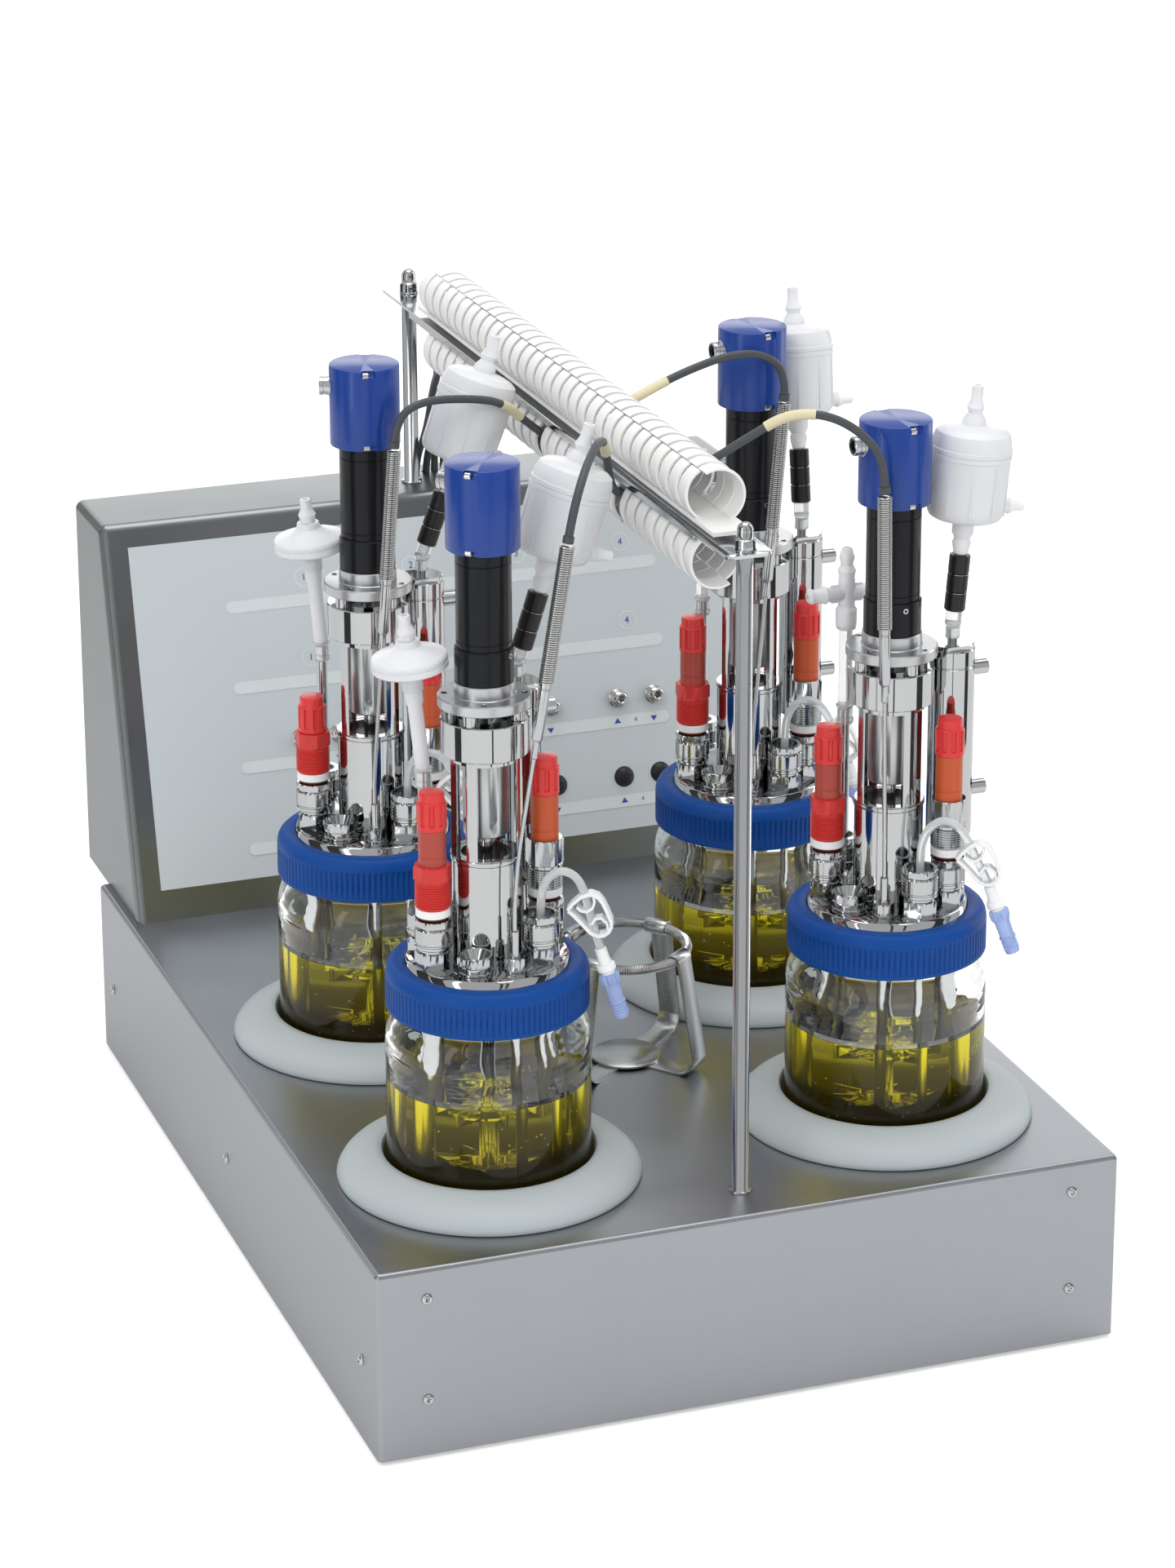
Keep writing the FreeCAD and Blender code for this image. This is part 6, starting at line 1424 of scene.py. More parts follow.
# ---------------------------------------------------------------- vessel
@dataclass
class Glassware:
    """Jar with its broth, lock ring, head plate, stirrer and the pipes inside.

    Args:
        vessel: its layout.
        frame: the loaded frame.
        body: outer radius of the jar.
        neck: outer radius of its neck.
        fill: height of the broth's surface.
        flutes: grip flutes of the lock ring.
        hub_low: foot of the coupling hub above the head plate.
        bubbles: number of bubbles.
    """

    vessel: Vessel
    frame: dict
    body: float = 60.0
    neck: float = 51.5
    fill: float = 183.0
    flutes: int = 106
    hub_low: float = 73.5
    bubbles: int = 130

    def build(self) -> None:
        """Make the whole vessel."""
        number = self.vessel.number
        self._jar()
        self._broth()
        self._lock_ring()
        carry(f"head_plate_{number}", MIRROR_STEEL, self.frame)
        shaft = carry(f"stirrer_{number}", LATHE_STEEL, self.frame, f"stirrer_{number}")
        shaft.data.materials.append(HUB_ALUMINIUM.material())
        hub = (self.vessel.deck + self.hub_low) * MM
        for face in shaft.data.polygons:
            face.material_index = int(face.center.z > hub)
        self._bubbles()

    def _jar(self) -> None:
        """Blow the jar: thick base, straight wall, rippled shoulder and a threaded neck."""
        name = f"glass_jar_{self.vessel.number}"
        low, high = corner(name, 0).z, corner(name, 1).z
        body, neck = self.body, self.neck
        shoulder, throat = low + 162.0, high - 19.5
        outline = [(0, low + 1.2), (30, low + 0.8), (44, low), (50, low + 0.6), (55.5, low + 3.2),
                   (58.9, low + 7.0), (body, low + 12.0), (body, low + 60.0), (body, low + 110.0),
                   (body, shoulder - 2.0), (body - 0.25, shoulder + 2.2), (body - 0.9, shoulder + 6.0),
                   (body - 2.2, shoulder + 9.8), (body - 4.3, shoulder + 13.2), (body - 6.4, shoulder + 15.6),
                   (neck + 0.2, throat - 0.8), (neck - 0.8, throat + 1.4), (neck - 0.8, throat + 4.0),
                   (neck, throat + 5.0), (neck, throat + 7.0), (neck - 0.8, throat + 8.0), (neck - 0.8, high - 1.4),
                   (neck - 1.4, high), (neck - 4.2, high), (neck - 5.0, high - 1.4), (neck - 5.0, throat + 1.0),
                   *self._inside(shoulder, throat),
                   (body - 3.2, low + 60.0), (body - 3.2, low + 13.0), (54.0, low + 8.0), (50.5, low + 5.4),
                   (45.0, low + 4.4), (30.0, low + 5.0), (0, low + 5.6)]
        form = Form().lathe(outline, steps=128)
        form.carve(shoulder - 22.0, throat, self._ripple(shoulder - 22.0, throat), self.neck - 6.0)
        for face in form.bm.faces:
            spot = face.calc_center_median()
            wet = spot.xy.length < body - 2.2 and low + 3.0 < spot.z < self.fill
            face.material_index = int(wet)
        form.move(upright(*self.vessel.centre, 0.0))
        place(f"jar_{self.vessel.number}", form, [JAR_GLASS, WET_GLASS], stands_for=[name], smooth=60.0)

    def _inside(self, shoulder: float, throat: float) -> list[tuple[float, float]]:
        """Return close points down the inside of the shoulder."""
        top, bottom, steps = throat - 2.0, shoulder - 21.0, 34
        points = []
        for step in range(steps + 1):
            height = top + (bottom - top) * step / steps
            share = min(1.0, max(0.0, (top - height) / (top - shoulder + 4.0)))
            points.append((self.neck - 4.6 + (self.body - self.neck + 1.4) * math.sin(share * math.pi / 2) ** 0.8, height))
        return points

    def _ripple(self, low: float, high: float) -> Callable[[float, float, float], float]:
        """Return the waves that blowing leaves in the shoulder, deep inside and shallow outside."""
        def depth(angle: float, height: float, reach: float) -> float:
            fade = math.sin(math.pi * (height - low) / (high - low))
            inner = reach < self.body - 2.6 and height < high - 1.0
            rings = math.sin(height * 1.25 + 1.6 * math.sin(2 * angle) + 0.7 * math.sin(5 * angle))
            lobes = math.sin(7 * angle + height * 0.30) + 0.7 * math.sin(11 * angle - height * 0.22)
            return fade * ((0.08 * rings + 0.26 * lobes) if inner else 0.05 * lobes)
        return depth

    def _bubbles(self) -> None:
        """Scatter small gas bubbles round the turbines."""
        chance = random.Random(self.vessel.number)
        low = corner(f"glass_jar_{self.vessel.number}", 0).z
        form = Form()
        for _ in range(self.bubbles):
            angle, reach = chance.uniform(0.0, math.tau), 18.0 + 36.0 * math.sqrt(chance.random())
            height = low + 12.0 + (self.fill - low - 16.0) * chance.random() ** 1.2
            size = chance.uniform(0.25, 0.62)
            bmesh.ops.create_icosphere(form.bm, subdivisions=1, radius=size, matrix=Matrix.Translation(
                (reach * math.cos(angle), reach * math.sin(angle), height)))
        place(f"bubbles_{self.vessel.number}", form.move(upright(*self.vessel.centre, 0.0)), [BUBBLE], smooth=80.0)

    def _broth(self) -> None:
        """Fill the jar up to the broth's surface, with a small rim where it wets the glass."""
        low = corner(f"glass_jar_{self.vessel.number}", 0).z
        wall = self.body - 3.25
        fill = self.fill
        outline = [(0, low + 5.7), (30, low + 5.1), (45.0, low + 4.5), (50.4, low + 5.5), (53.9, low + 8.1),
                   (wall, low + 13.1), (wall, low + 60.0), (wall, fill + 1.0), (wall - 0.5, fill + 0.7),
                   (wall - 1.4, fill + 0.2), (wall - 2.6, fill), (30, fill), (0, fill)]
        form = Form().lathe(outline, steps=96)
        for face in form.bm.faces:
            face.material_index = int(face.calc_center_median().z > fill - 0.1)
        form.move(upright(*self.vessel.centre, 0.0))
        place(f"broth_{self.vessel.number}", form, [BROTH, BROTH_TOP], smooth=40.0)

    def _lock_ring(self) -> None:
        """Mould the lock ring with its grip flutes."""
        node = f"lock_ring_{self.vessel.number}"
        low, high = corner(node, 0).z, corner(node, 1).z
        edge, bore, lip = 59.4, 52.0, 47.9
        outline = [(bore, low), (edge - 0.9, low), (edge, low + 0.6), (edge, low + 2.2), (edge, low + 2.6),
                   (edge, low + 10.0), (edge, high - 8.4), (edge, high - 7.8), (edge - 0.1, high - 6.6),
                   (edge - 0.5, high - 4.4), (edge - 1.5, high - 2.4), (edge - 3.2, high - 0.8),
                   (edge - 5.0, high), (lip + 0.6, high), (lip, high - 0.6), (lip, high - 3.4), (bore, high - 3.6)]
        form = Form().lathe(outline, steps=self.flutes * 4, closed=True)
        form.carve(low + 2.5, high - 8.0, self._flute, edge - 1.0)
        form.move(upright(*self.vessel.centre, 0.0))
        place(f"lock_ring_{self.vessel.number}_grip", form, [RING_BLUE], node, [node], smooth=50.0)

    def _flute(self, angle: float, height: float, reach: float) -> float:
        """Return a flute's depth at an angle."""
        return 0.95 if round(angle / math.tau * self.flutes * 4) % 4 == 0 else 0.0


@dataclass
class Drive:
    """Bearing tube with its windowed cage, motor flange, gear motor and connection cap.

    Args:
        vessel: its layout.
        frame: the loaded frame; not used.
    """

    vessel: Vessel
    frame: dict
    tube: float = 20.4
    cage_low: float = 62.5
    cage_high: float = 124.0
    ring: float = 25.5
    ring_high: float = 145.0
    disc_low: float = 152.0
    disc_high: float = 158.5
    boss_high: float = 166.5
    gear_high: float = 187.0
    motor_high: float = 245.0

    def build(self) -> None:
        """Make the drive from the head plate up."""
        number = self.vessel.number
        base = upright(*self.vessel.centre, self.vessel.deck, self.vessel.turn - 8)
        cage = self._housing().move(upright(*self.vessel.centre, self.vessel.deck, self.vessel.turn - 53))
        place(f"drive_cage_{number}", cage, [MIRROR_STEEL, SLEEVE_BLACK], stands_for=[f"drive_housing_{number}"])
        place(f"motor_flange_{number}", self._flange().move(base), [FLANGE_ALUMINIUM, MIRROR_STEEL, SLEEVE_BLACK],
              stands_for=["motor_flanges"])
        place(f"motor_{number}", self._motor().move(base), [MOTOR_BLACK, SCREW_STEEL], stands_for=["motors"])
        cap = self._cap().move(upright(*self.vessel.centre, self.vessel.deck + self.motor_high, self.vessel.cap + 90))
        place(f"motor_cap_{number}", cap, [CAP_BLUE, SCREW_STEEL, SLEEVE_BLACK], stands_for=["motor_caps"])

    def _housing(self) -> Form:
        """Return the polished bearing tube with its windowed cage and head ring."""
        tube, ring, low, high, top = self.tube, self.ring, self.cage_low, self.cage_high, self.ring_high
        bore = tube - 3.0
        form = Form().lathe([(0, 0), (tube - 0.1, 0), (tube, 0.3), (tube, 2.0), (tube, low - 3.4), (tube - 0.5, low - 3.2),
                             (tube - 0.5, low - 2.8), (tube + 0.6, low - 2.5), (tube + 0.7, low - 2.2),
                             (tube + 0.7, low - 0.6), (tube + 0.5, low - 0.3), (tube, low - 0.2), (tube, low + 0.5),
                             (tube, high), (ring - 0.5, high), (ring, high + 0.5), (ring, top - 0.5),
                             (ring - 0.5, top), (15.6, top), (15.0, top - 0.6), (15.0, high - 1.0), (bore, high - 3.0),
                             (bore, low), (14.5, low - 0.1), (14.5, low - 3.0), (0, low - 3.0)], 0, 96)
        for face in form.bm.faces:
            spot = face.calc_center_median()
            if spot.xy.length < 14.4 and spot.z > low - 4.0:
                face.material_index = 1
        for step in range(4):
            start, width = 90.0 * step + 10.0, 70.0
            form.cut(Form().sector([(12.0, low + 0.2), (tube + 3.0, low + 0.2), (tube + 3.0, high - 4.0),
                                    (12.0, high - 4.0)], start, width, 0, 24))
        return form

    def _flange(self) -> Form:
        """Return the aluminium flange on its four bright locating blocks, with four screw sockets whose black centres
        are painted shade.
        """
        low, high = self.disc_low, self.disc_high
        form = Form().lathe([(3.1, low), (26.4, low), (27.0, low + 0.6), (27.0, high - 0.7), (26.3, high),
                             (18.2, high), (17.6, high + 0.5), (17.6, self.boss_high - 0.5),
                             (17.1, self.boss_high), (5.0, self.boss_high), (5.0, high), (3.1, high)],
                            0, 72, closed=True)
        block = Form().rod(4.3, 0.0, low - self.ring_high, 0, 24)
        for step in range(4):
            form_angle = math.radians(90 * step + 45)
            spot = upright(20.4 * math.cos(form_angle), 20.4 * math.sin(form_angle), self.ring_high)
            for face in block.bm.faces:
                face.material_index = 1
            form.add(block, spot)
            socket = Form().lathe([(0, 0), (1.5, 0), (1.7, 0.15), (1.7, 0.2), (2.1, 0.2), (2.1, 0)], 0, 20)
            # Painted shade: each socket's centre is black, for the dark of its hole.
            for face in socket.bm.faces:
                face.material_index = 2 if face.calc_center_median().xy.length < 1.4 else 1
            form.add(socket, upright(23.0 * math.cos(form_angle + 0.4), 23.0 * math.sin(form_angle + 0.4), high))
        return form

    def _motor(self) -> Form:
        """Return the black gear head and motor tube with their joints and the set screw."""
        low, joint, high = self.boss_high, self.gear_high, self.motor_high
        form = Form().lathe([(0, low), (16.5, low), (17.0, low + 0.5), (17.0, joint - 0.9), (16.5, joint - 0.3),
                             (16.0, joint), (15.4, joint + 0.1), (15.4, joint + 0.7), (16.0, joint + 0.8),
                             (16.0, joint + 3.6), (15.6, joint + 3.9), (15.6, joint + 4.3), (16.0, joint + 4.6),
                             (16.0, joint + 30), (16.0, high - 8), (15.6, high - 7.7), (15.6, high - 7.3),
                             (16.0, high - 7), (16.0, high + 1.0), (0, high + 1.0)], 0, 64)
        screw = Form().lathe([(0, 0), (0.9, 0), (0.9, 0.5), (1.6, 0.5), (1.6, -0.6), (0, -0.6)], 1, 16)
        form.add(screw, upright(0, 0, joint - 4.0, 38.0) @ Matrix.Translation((16.9, 0, 0))
                 @ Matrix.Rotation(math.radians(90), 4, "Y"))
        return form

    def _cap(self) -> Form:
        """Return the two-part blue cap with its screw pockets and the round cable socket."""
        radius, high = 21.25, 50.0
        form = Form().lathe([(0, 0), (radius - 0.8, 0), (radius - 0.2, 0.3), (radius, 0.9), (radius, high - 0.9),
                             (radius - 0.3, high - 0.3), (radius - 0.9, high), (0, high)], 0, 80)
        pocket = Form().rod(2.9, 0.0, 8.0, 0, 24, 0.8)
        for side in (-1, 1):
            for level in (0.8, high - 1.6):
                lying = Matrix.Translation((-2.2, side * (radius - 0.2), level)) @ Matrix.Rotation(
                    math.radians(90), 4, "Y")
                form.cut(Form().add(pocket, lying))
        screw = Form().lathe([(0, -2.0), (1.9, -2.0), (2.1, -1.7), (2.1, 1.3), (1.7, 1.8), (1.1, 1.9), (1.1, 0.8),
                              (0, 0.8)], 1, 24)
        for side in (-1, 1):
            for level in (2.3, high - 3.0):
                lying = Matrix.Translation((0.2, side * (radius - 1.6), level)) @ Matrix.Rotation(
                    math.radians(90), 4, "Y")
                form.add(screw, lying)
        socket = Form().lathe([(0, 0.6), (3.9, 0.6), (3.9, 2.4), (4.5, 2.6), (4.5, 6.0), (5.4, 6.0), (5.7, 5.7),
                               (5.7, 3.6), (5.2, 3.4), (5.2, 2.6), (5.7, 2.4), (5.7, 0.4), (6.6, 0.2),
                               (6.6, -1.5), (0, -1.5)], 1, 40)
        for face in socket.bm.faces:
            if face.calc_center_median().xy.length < 3.9:
                face.material_index = 2
        facing = Matrix.Rotation(math.radians(-185.0), 4, "Z") @ Matrix.Translation((radius - 0.2, 0, 36.0))
        form.add(socket, facing @ Matrix.Rotation(math.radians(90), 4, "Y"))
        return form


# ---------------------------------------------------------------- head fittings
@dataclass
class Fitting:
    """Shapes that the head plate's fittings share, about their own axis on the deck.

    Args:
        hexagon: width across the flats.
        nut: radius of the knurled nut.
        teeth: diamond columns of its knurl.
    """

    hexagon: float = 19.0
    nut: float = 10.8
    teeth: int = 30

    def gland(self) -> Form:
        """Return a screwed gland: hexagon, neck, knurled nut and hexagon cap."""
        half = self.hexagon / 2
        edge = half / math.cos(math.radians(30))
        form = Form().lathe([(0, 0), (edge - 0.7, 0), (edge, 0.6), (edge, 4.0), (edge, 8.6), (edge - 0.9, 9.5),
                             (9.2, 9.5), (9.2, 11.5), (0, 11.5)], 0, 72).flats(self.hexagon, -0.1, 8.7)
        form.add(self.knurl(11.5, 24.0))
        cap = Form().lathe([(0, 24.0), (9.0, 24.0), (9.0, 24.6), (edge - 0.4, 24.8), (edge, 25.2), (edge, 28.2),
                            (edge - 0.9, 29.0), (6.3, 29.0), (6.3, 28.0), (0, 28.0)], 0, 72)
        return form.add(cap.flats(self.hexagon, 24.7, 28.3, 12.0))

    def knurl(self, low: float, high: float, turned_below: float = 3.4) -> Form:
        """Return a nut with a plain foot and a diamond knurl above it."""
        nut = self.nut
        band, top = low + turned_below, high - 0.9
        rows = 9
        levels = [band + (top - band) * row / (rows - 1) for row in range(rows)]
        outline = [(0, low), (nut - 0.5, low), (nut, low + 0.5), (nut, band - 1.5), (nut - 0.5, band - 1.2),
                   (nut - 0.5, band - 0.6), (nut, band - 0.3)]
        outline += [(nut, level) for level in levels] + [(nut - 0.8, high), (9.0, high), (9.0, high - 0.4),
                                                         (0, high - 0.4)]
        form = Form().lathe(outline, 0, 2 * self.teeth)
        step = (top - band) / (rows - 1)

        def diamond(angle: float, height: float, reach: float) -> float:
            column = round(angle / math.tau * 2 * self.teeth)
            row = round((height - band) / step)
            return 0.62 if (column + row) % 2 else 0.0

        return form.carve(band - 0.1, top + 0.1, diamond, nut - 0.3)

    def cup(self, radius: float, deep: float) -> Form:
        """Return a gland whose cap is an open cup."""
        form = self.gland()
        return form.cut(Form().rod(radius, 29.0 - deep, 31.0, 0, 48, 0.1))

    def plug(self) -> Form:
        """Return the inoculation plug: turned foot, hexagon and conical cup."""
        edge = self.hexagon / 2 / math.cos(math.radians(30))
        form = Form().lathe([(0, 0), (9.9, 0), (10.4, 0.4), (10.4, 1.4), (10.0, 1.8), (8.7, 1.9), (8.7, 4.6),
                             (edge - 0.8, 4.8), (edge, 5.4), (edge, 9.9), (edge - 0.9, 10.8), (0, 10.8)], 0, 72)
        form.flats(self.hexagon, 5.3, 10.0, 30.0)
        cone = Form().lathe([(0, 2.5), (3.0, 2.5), (8.2, 10.3), (8.9, 11.4), (0, 11.4)], 0, 48)
        return form.cut(cone)

    @staticmethod
    def thermometer_seat() -> Form:
        """Return the small hexagon fitting with its guide sleeve."""
        form = Form().lathe([(0, 0), (6.0, 0), (6.3, 0.3), (6.3, 1.1), (6.0, 1.4), (0, 1.4)], 0, 40)
        hexagon = Form().lathe([(0, 1.4), (5.8, 1.4), (6.35, 1.9), (6.35, 7.6), (5.7, 8.3), (0, 8.3)], 0, 48)
        form.add(hexagon.flats(11.0, 1.8, 7.7))
        return form.lathe([(0, 8.3), (3.2, 8.3), (3.2, 9.6), (2.4, 10.0), (2.4, 23.6), (2.1, 24.0), (1.45, 24.0),
                           (1.45, 22.0), (0, 22.0)], 0, 32)

    @staticmethod
    def condenser_nut() -> Form:
        """Return the condenser's hexagon gland."""
        form = Form().lathe([(0, 0), (5.9, 0), (6.35, 0.5), (6.35, 5.0), (6.35, 11.4), (5.7, 12.0), (0, 12.0)], 0, 48)
        return form.flats(11.0, 0.4, 11.5)


@dataclass
class SensorHead:
    """Head of a screw-in sensor above its gland.

    Args:
        levels: tops of the thread, the hexagon and the barrel, above the head plate.
        finishes: the seal, white ring, thread, hexagon, barrel and cap finishes.
        thread_slot: finish number of the thread; not used.
    """

    levels: tuple[float, float, float]
    finishes: tuple[Finish, ...]

    def form(self) -> Form:
        """Return the sensor's head."""
        top, hexagon_top, barrel_top = self.levels
        low = 29.0
        form = Form().lathe([(0, low), (6.8, low), (8.2, low + 0.2), (8.9, low + 0.9), (8.9, low + 1.4),
                             (8.2, low + 2.0), (0, low + 2.0)], 0, 40)
        form.lathe([(0, low + 2.0), (9.7, low + 2.0), (10.1, low + 2.4), (10.1, low + 6.3), (9.6, low + 6.8),
                    (0, low + 6.8)], 1, 48)
        thread = [(0, low + 6.8), (9.2, low + 6.8)]
        level = low + 7.6
        while level < top - 1.9:
            thread += [(9.5, level), (10.35, level + 0.55), (10.35, level + 0.85), (9.5, level + 1.4)]
            level += 1.5
        form.lathe(thread + [(9.5, top), (0, top)], 2, 56)
        edge = 9.7 / math.cos(math.radians(30))
        form.add(Form().lathe([(0, top), (edge - 0.8, top), (edge, top + 0.6), (edge, hexagon_top - 1.0),
                               (edge - 1.1, hexagon_top), (0, hexagon_top)], 3, 72).flats(
                                   19.4, top + 0.5, hexagon_top - 0.9, 10.0))
        if barrel_top > hexagon_top + 7.0:
            form.lathe([(0, hexagon_top), (8.0, hexagon_top), (8.0, hexagon_top + 5), (7.7, hexagon_top + 5.2),
                        (7.7, hexagon_top + 6.0), (8.0, hexagon_top + 6.2), (8.0, barrel_top), (0, barrel_top)], 4, 48)
        cap = barrel_top
        form.add(self._cap(cap))
        return form

    def _cap(self, low: float) -> Form:
        """Return the ribbed screw cap of the cable socket."""
        form = Form().lathe([(0, low), (8.1, low), (8.6, low + 0.5), (8.6, low + 3.2), (8.6, low + 3.6),
                             (8.6, low + 10.0), (8.6, low + 15.6), (8.6, low + 16.0), (8.1, low + 17.0),
                             (7.5, low + 17.3), (7.4, low + 21.6), (6.8, low + 22.6), (4.0, low + 23.0),
                             (0, low + 23.2)], 5, 108)

        def flute(angle: float, height: float, reach: float) -> float:
            return 1.0 if math.cos(9 * angle) < -0.25 else 0.0

        return form.carve(low + 3.5, low + 15.7, flute, 8.0)


@dataclass
class HeadFittings:
    """Every fitting, sensor and pipe on one head plate.

    Args:
        vessel: its layout.
    """

    vessel: Vessel

    def build(self) -> None:
        """Stand the glands, plug, seats and sensors on their ports."""
        number, vessel = self.vessel.number, self.vessel
        shapes = Fitting()
        glands = Form()
        closed = shapes.gland()
        for seat, turn in ((Port.PH, 0.0), (Port.OXYGEN, 0.0)):
            glands.add(closed, vessel.set_down(seat, turn))
        glands.add(shapes.cup(8.0, 6.5), vessel.set_down(Port.SAMPLE))
        glands.add(shapes.cup(6.0, 3.0), vessel.set_down(Port.GAS))
        glands.add(shapes.plug(), vessel.set_down(Port.PLUG))
        glands.add(shapes.thermometer_seat(), vessel.set_down(Port.THERMOMETER))
        glands.add(shapes.condenser_nut(), vessel.set_down(Port.CONDENSER))
        place(f"port_fittings_{number}", glands, [LATHE_STEEL], stands_for=["port_glands"], smooth=26.0)
        plug = 62.0 if number == 2 else 83.5
        acid = SensorHead((53.0, 62.0, plug), (SEAL_RED, WHITE_PLASTIC, SENSOR_RED, SENSOR_RED, BARREL_BROWN, CAP_RED,
                                               LATHE_STEEL))
        gas = SensorHead((50.5, 66.0, 93.0), (SEAL_RED, WHITE_PLASTIC, LATHE_STEEL, LATHE_STEEL, BARREL_ORANGE,
                                              CAP_RED, LATHE_STEEL))
        for name, seat, head, node in (("ph_head", Port.PH, acid, "ph_sensors"),
                                       ("oxygen_head", Port.OXYGEN, gas, "oxygen_sensors")):
            form = head.form().add(self._probe(), Matrix())
            place(f"{name}_{number}", form.move(vessel.set_down(seat)), head.finishes, stands_for=[node], smooth=28.0)

    def _probe(self) -> Form:
        """Return the sensor's steel shaft down into the broth."""
        low = 84.0 - self.vessel.deck
        return Form().lathe([(0, low), (4.0, low), (6.0, low + 3.0), (6.0, 28.0), (0, 28.0)], 6, 40)


@dataclass
class Thermometer:
    """Bent thermometer with its crimp, steel tube and spring sleeve.

    Args:
        vessel: its layout.
        spring: radius of the spring sleeve.
        pitch: rise of one turn.
    """

    vessel: Vessel
    spring: float = 4.5
    pitch: float = 1.3
    sleeve: float = 83.0
    tube: float = 32.0
    crimp: float = 12.0
    bend_radius: float = 320.0

    def build(self) -> None:
        """Bend the rod and wind the spring."""
        vessel = self.vessel
        foot = vessel.port(Port.THERMOMETER, 28.0)
        lean, toward = math.radians(vessel.lean), math.radians(vessel.toward)
        side, rise = Vector((math.cos(toward), math.sin(toward), 0)), Vector((0, 0, 1))
        arc = [foot + side * (self.bend_radius * (1 - math.cos(lean * k / 8)))
               + rise * (self.bend_radius * math.sin(lean * k / 8)) for k in range(9)]
        heading = rise * math.cos(lean) + side * math.sin(lean)
        tip = arc[-1] + heading * (vessel.probe - self.bend_radius * lean)
        start = tip - heading * (self.sleeve + self.tube + self.crimp)
        form = Form().sweep([vessel.port(Port.THERMOMETER, -10.0), *arc, start + heading], 1.25, 0, 16)
        stack = Form().lathe([(0, 0), (1.6, 0), (2.1, 0.6), (2.1, self.crimp - 2.5), (2.5, self.crimp - 1.5),
                              (3.1, self.crimp - 0.6), (3.4, self.crimp), (3.4, self.crimp + self.tube - 3),
                              (3.1, self.crimp + self.tube - 2.6), (3.1, self.crimp + self.tube - 2.2),
                              (3.4, self.crimp + self.tube - 1.8), (3.4, self.crimp + self.tube + 4),
                              (0, self.crimp + self.tube + 4)], 0, 32)
        form.add(stack, along(start, heading))
        place(f"thermometer_{vessel.number}", form, [LATHE_STEEL], stands_for=["temperature_probes"])
        wire = 0.56
        turns = int((self.sleeve - 2 * wire) / self.pitch)
        coil = Form().coil(self.spring - wire, wire, self.pitch, turns, wire)
        lining = Form().lathe([(0, 1.0), (3.6, 1.0), (3.6, self.sleeve - 3), (0, self.sleeve - 3)], 1, 24)
        coil.add(lining)
        coil.move(along(tip - heading * self.sleeve, heading))
        place(f"thermometer_spring_{vessel.number}", coil, [SPRING_STEEL, SLEEVE_BLACK],
              stands_for=["temperature_probes"], smooth=50.0)


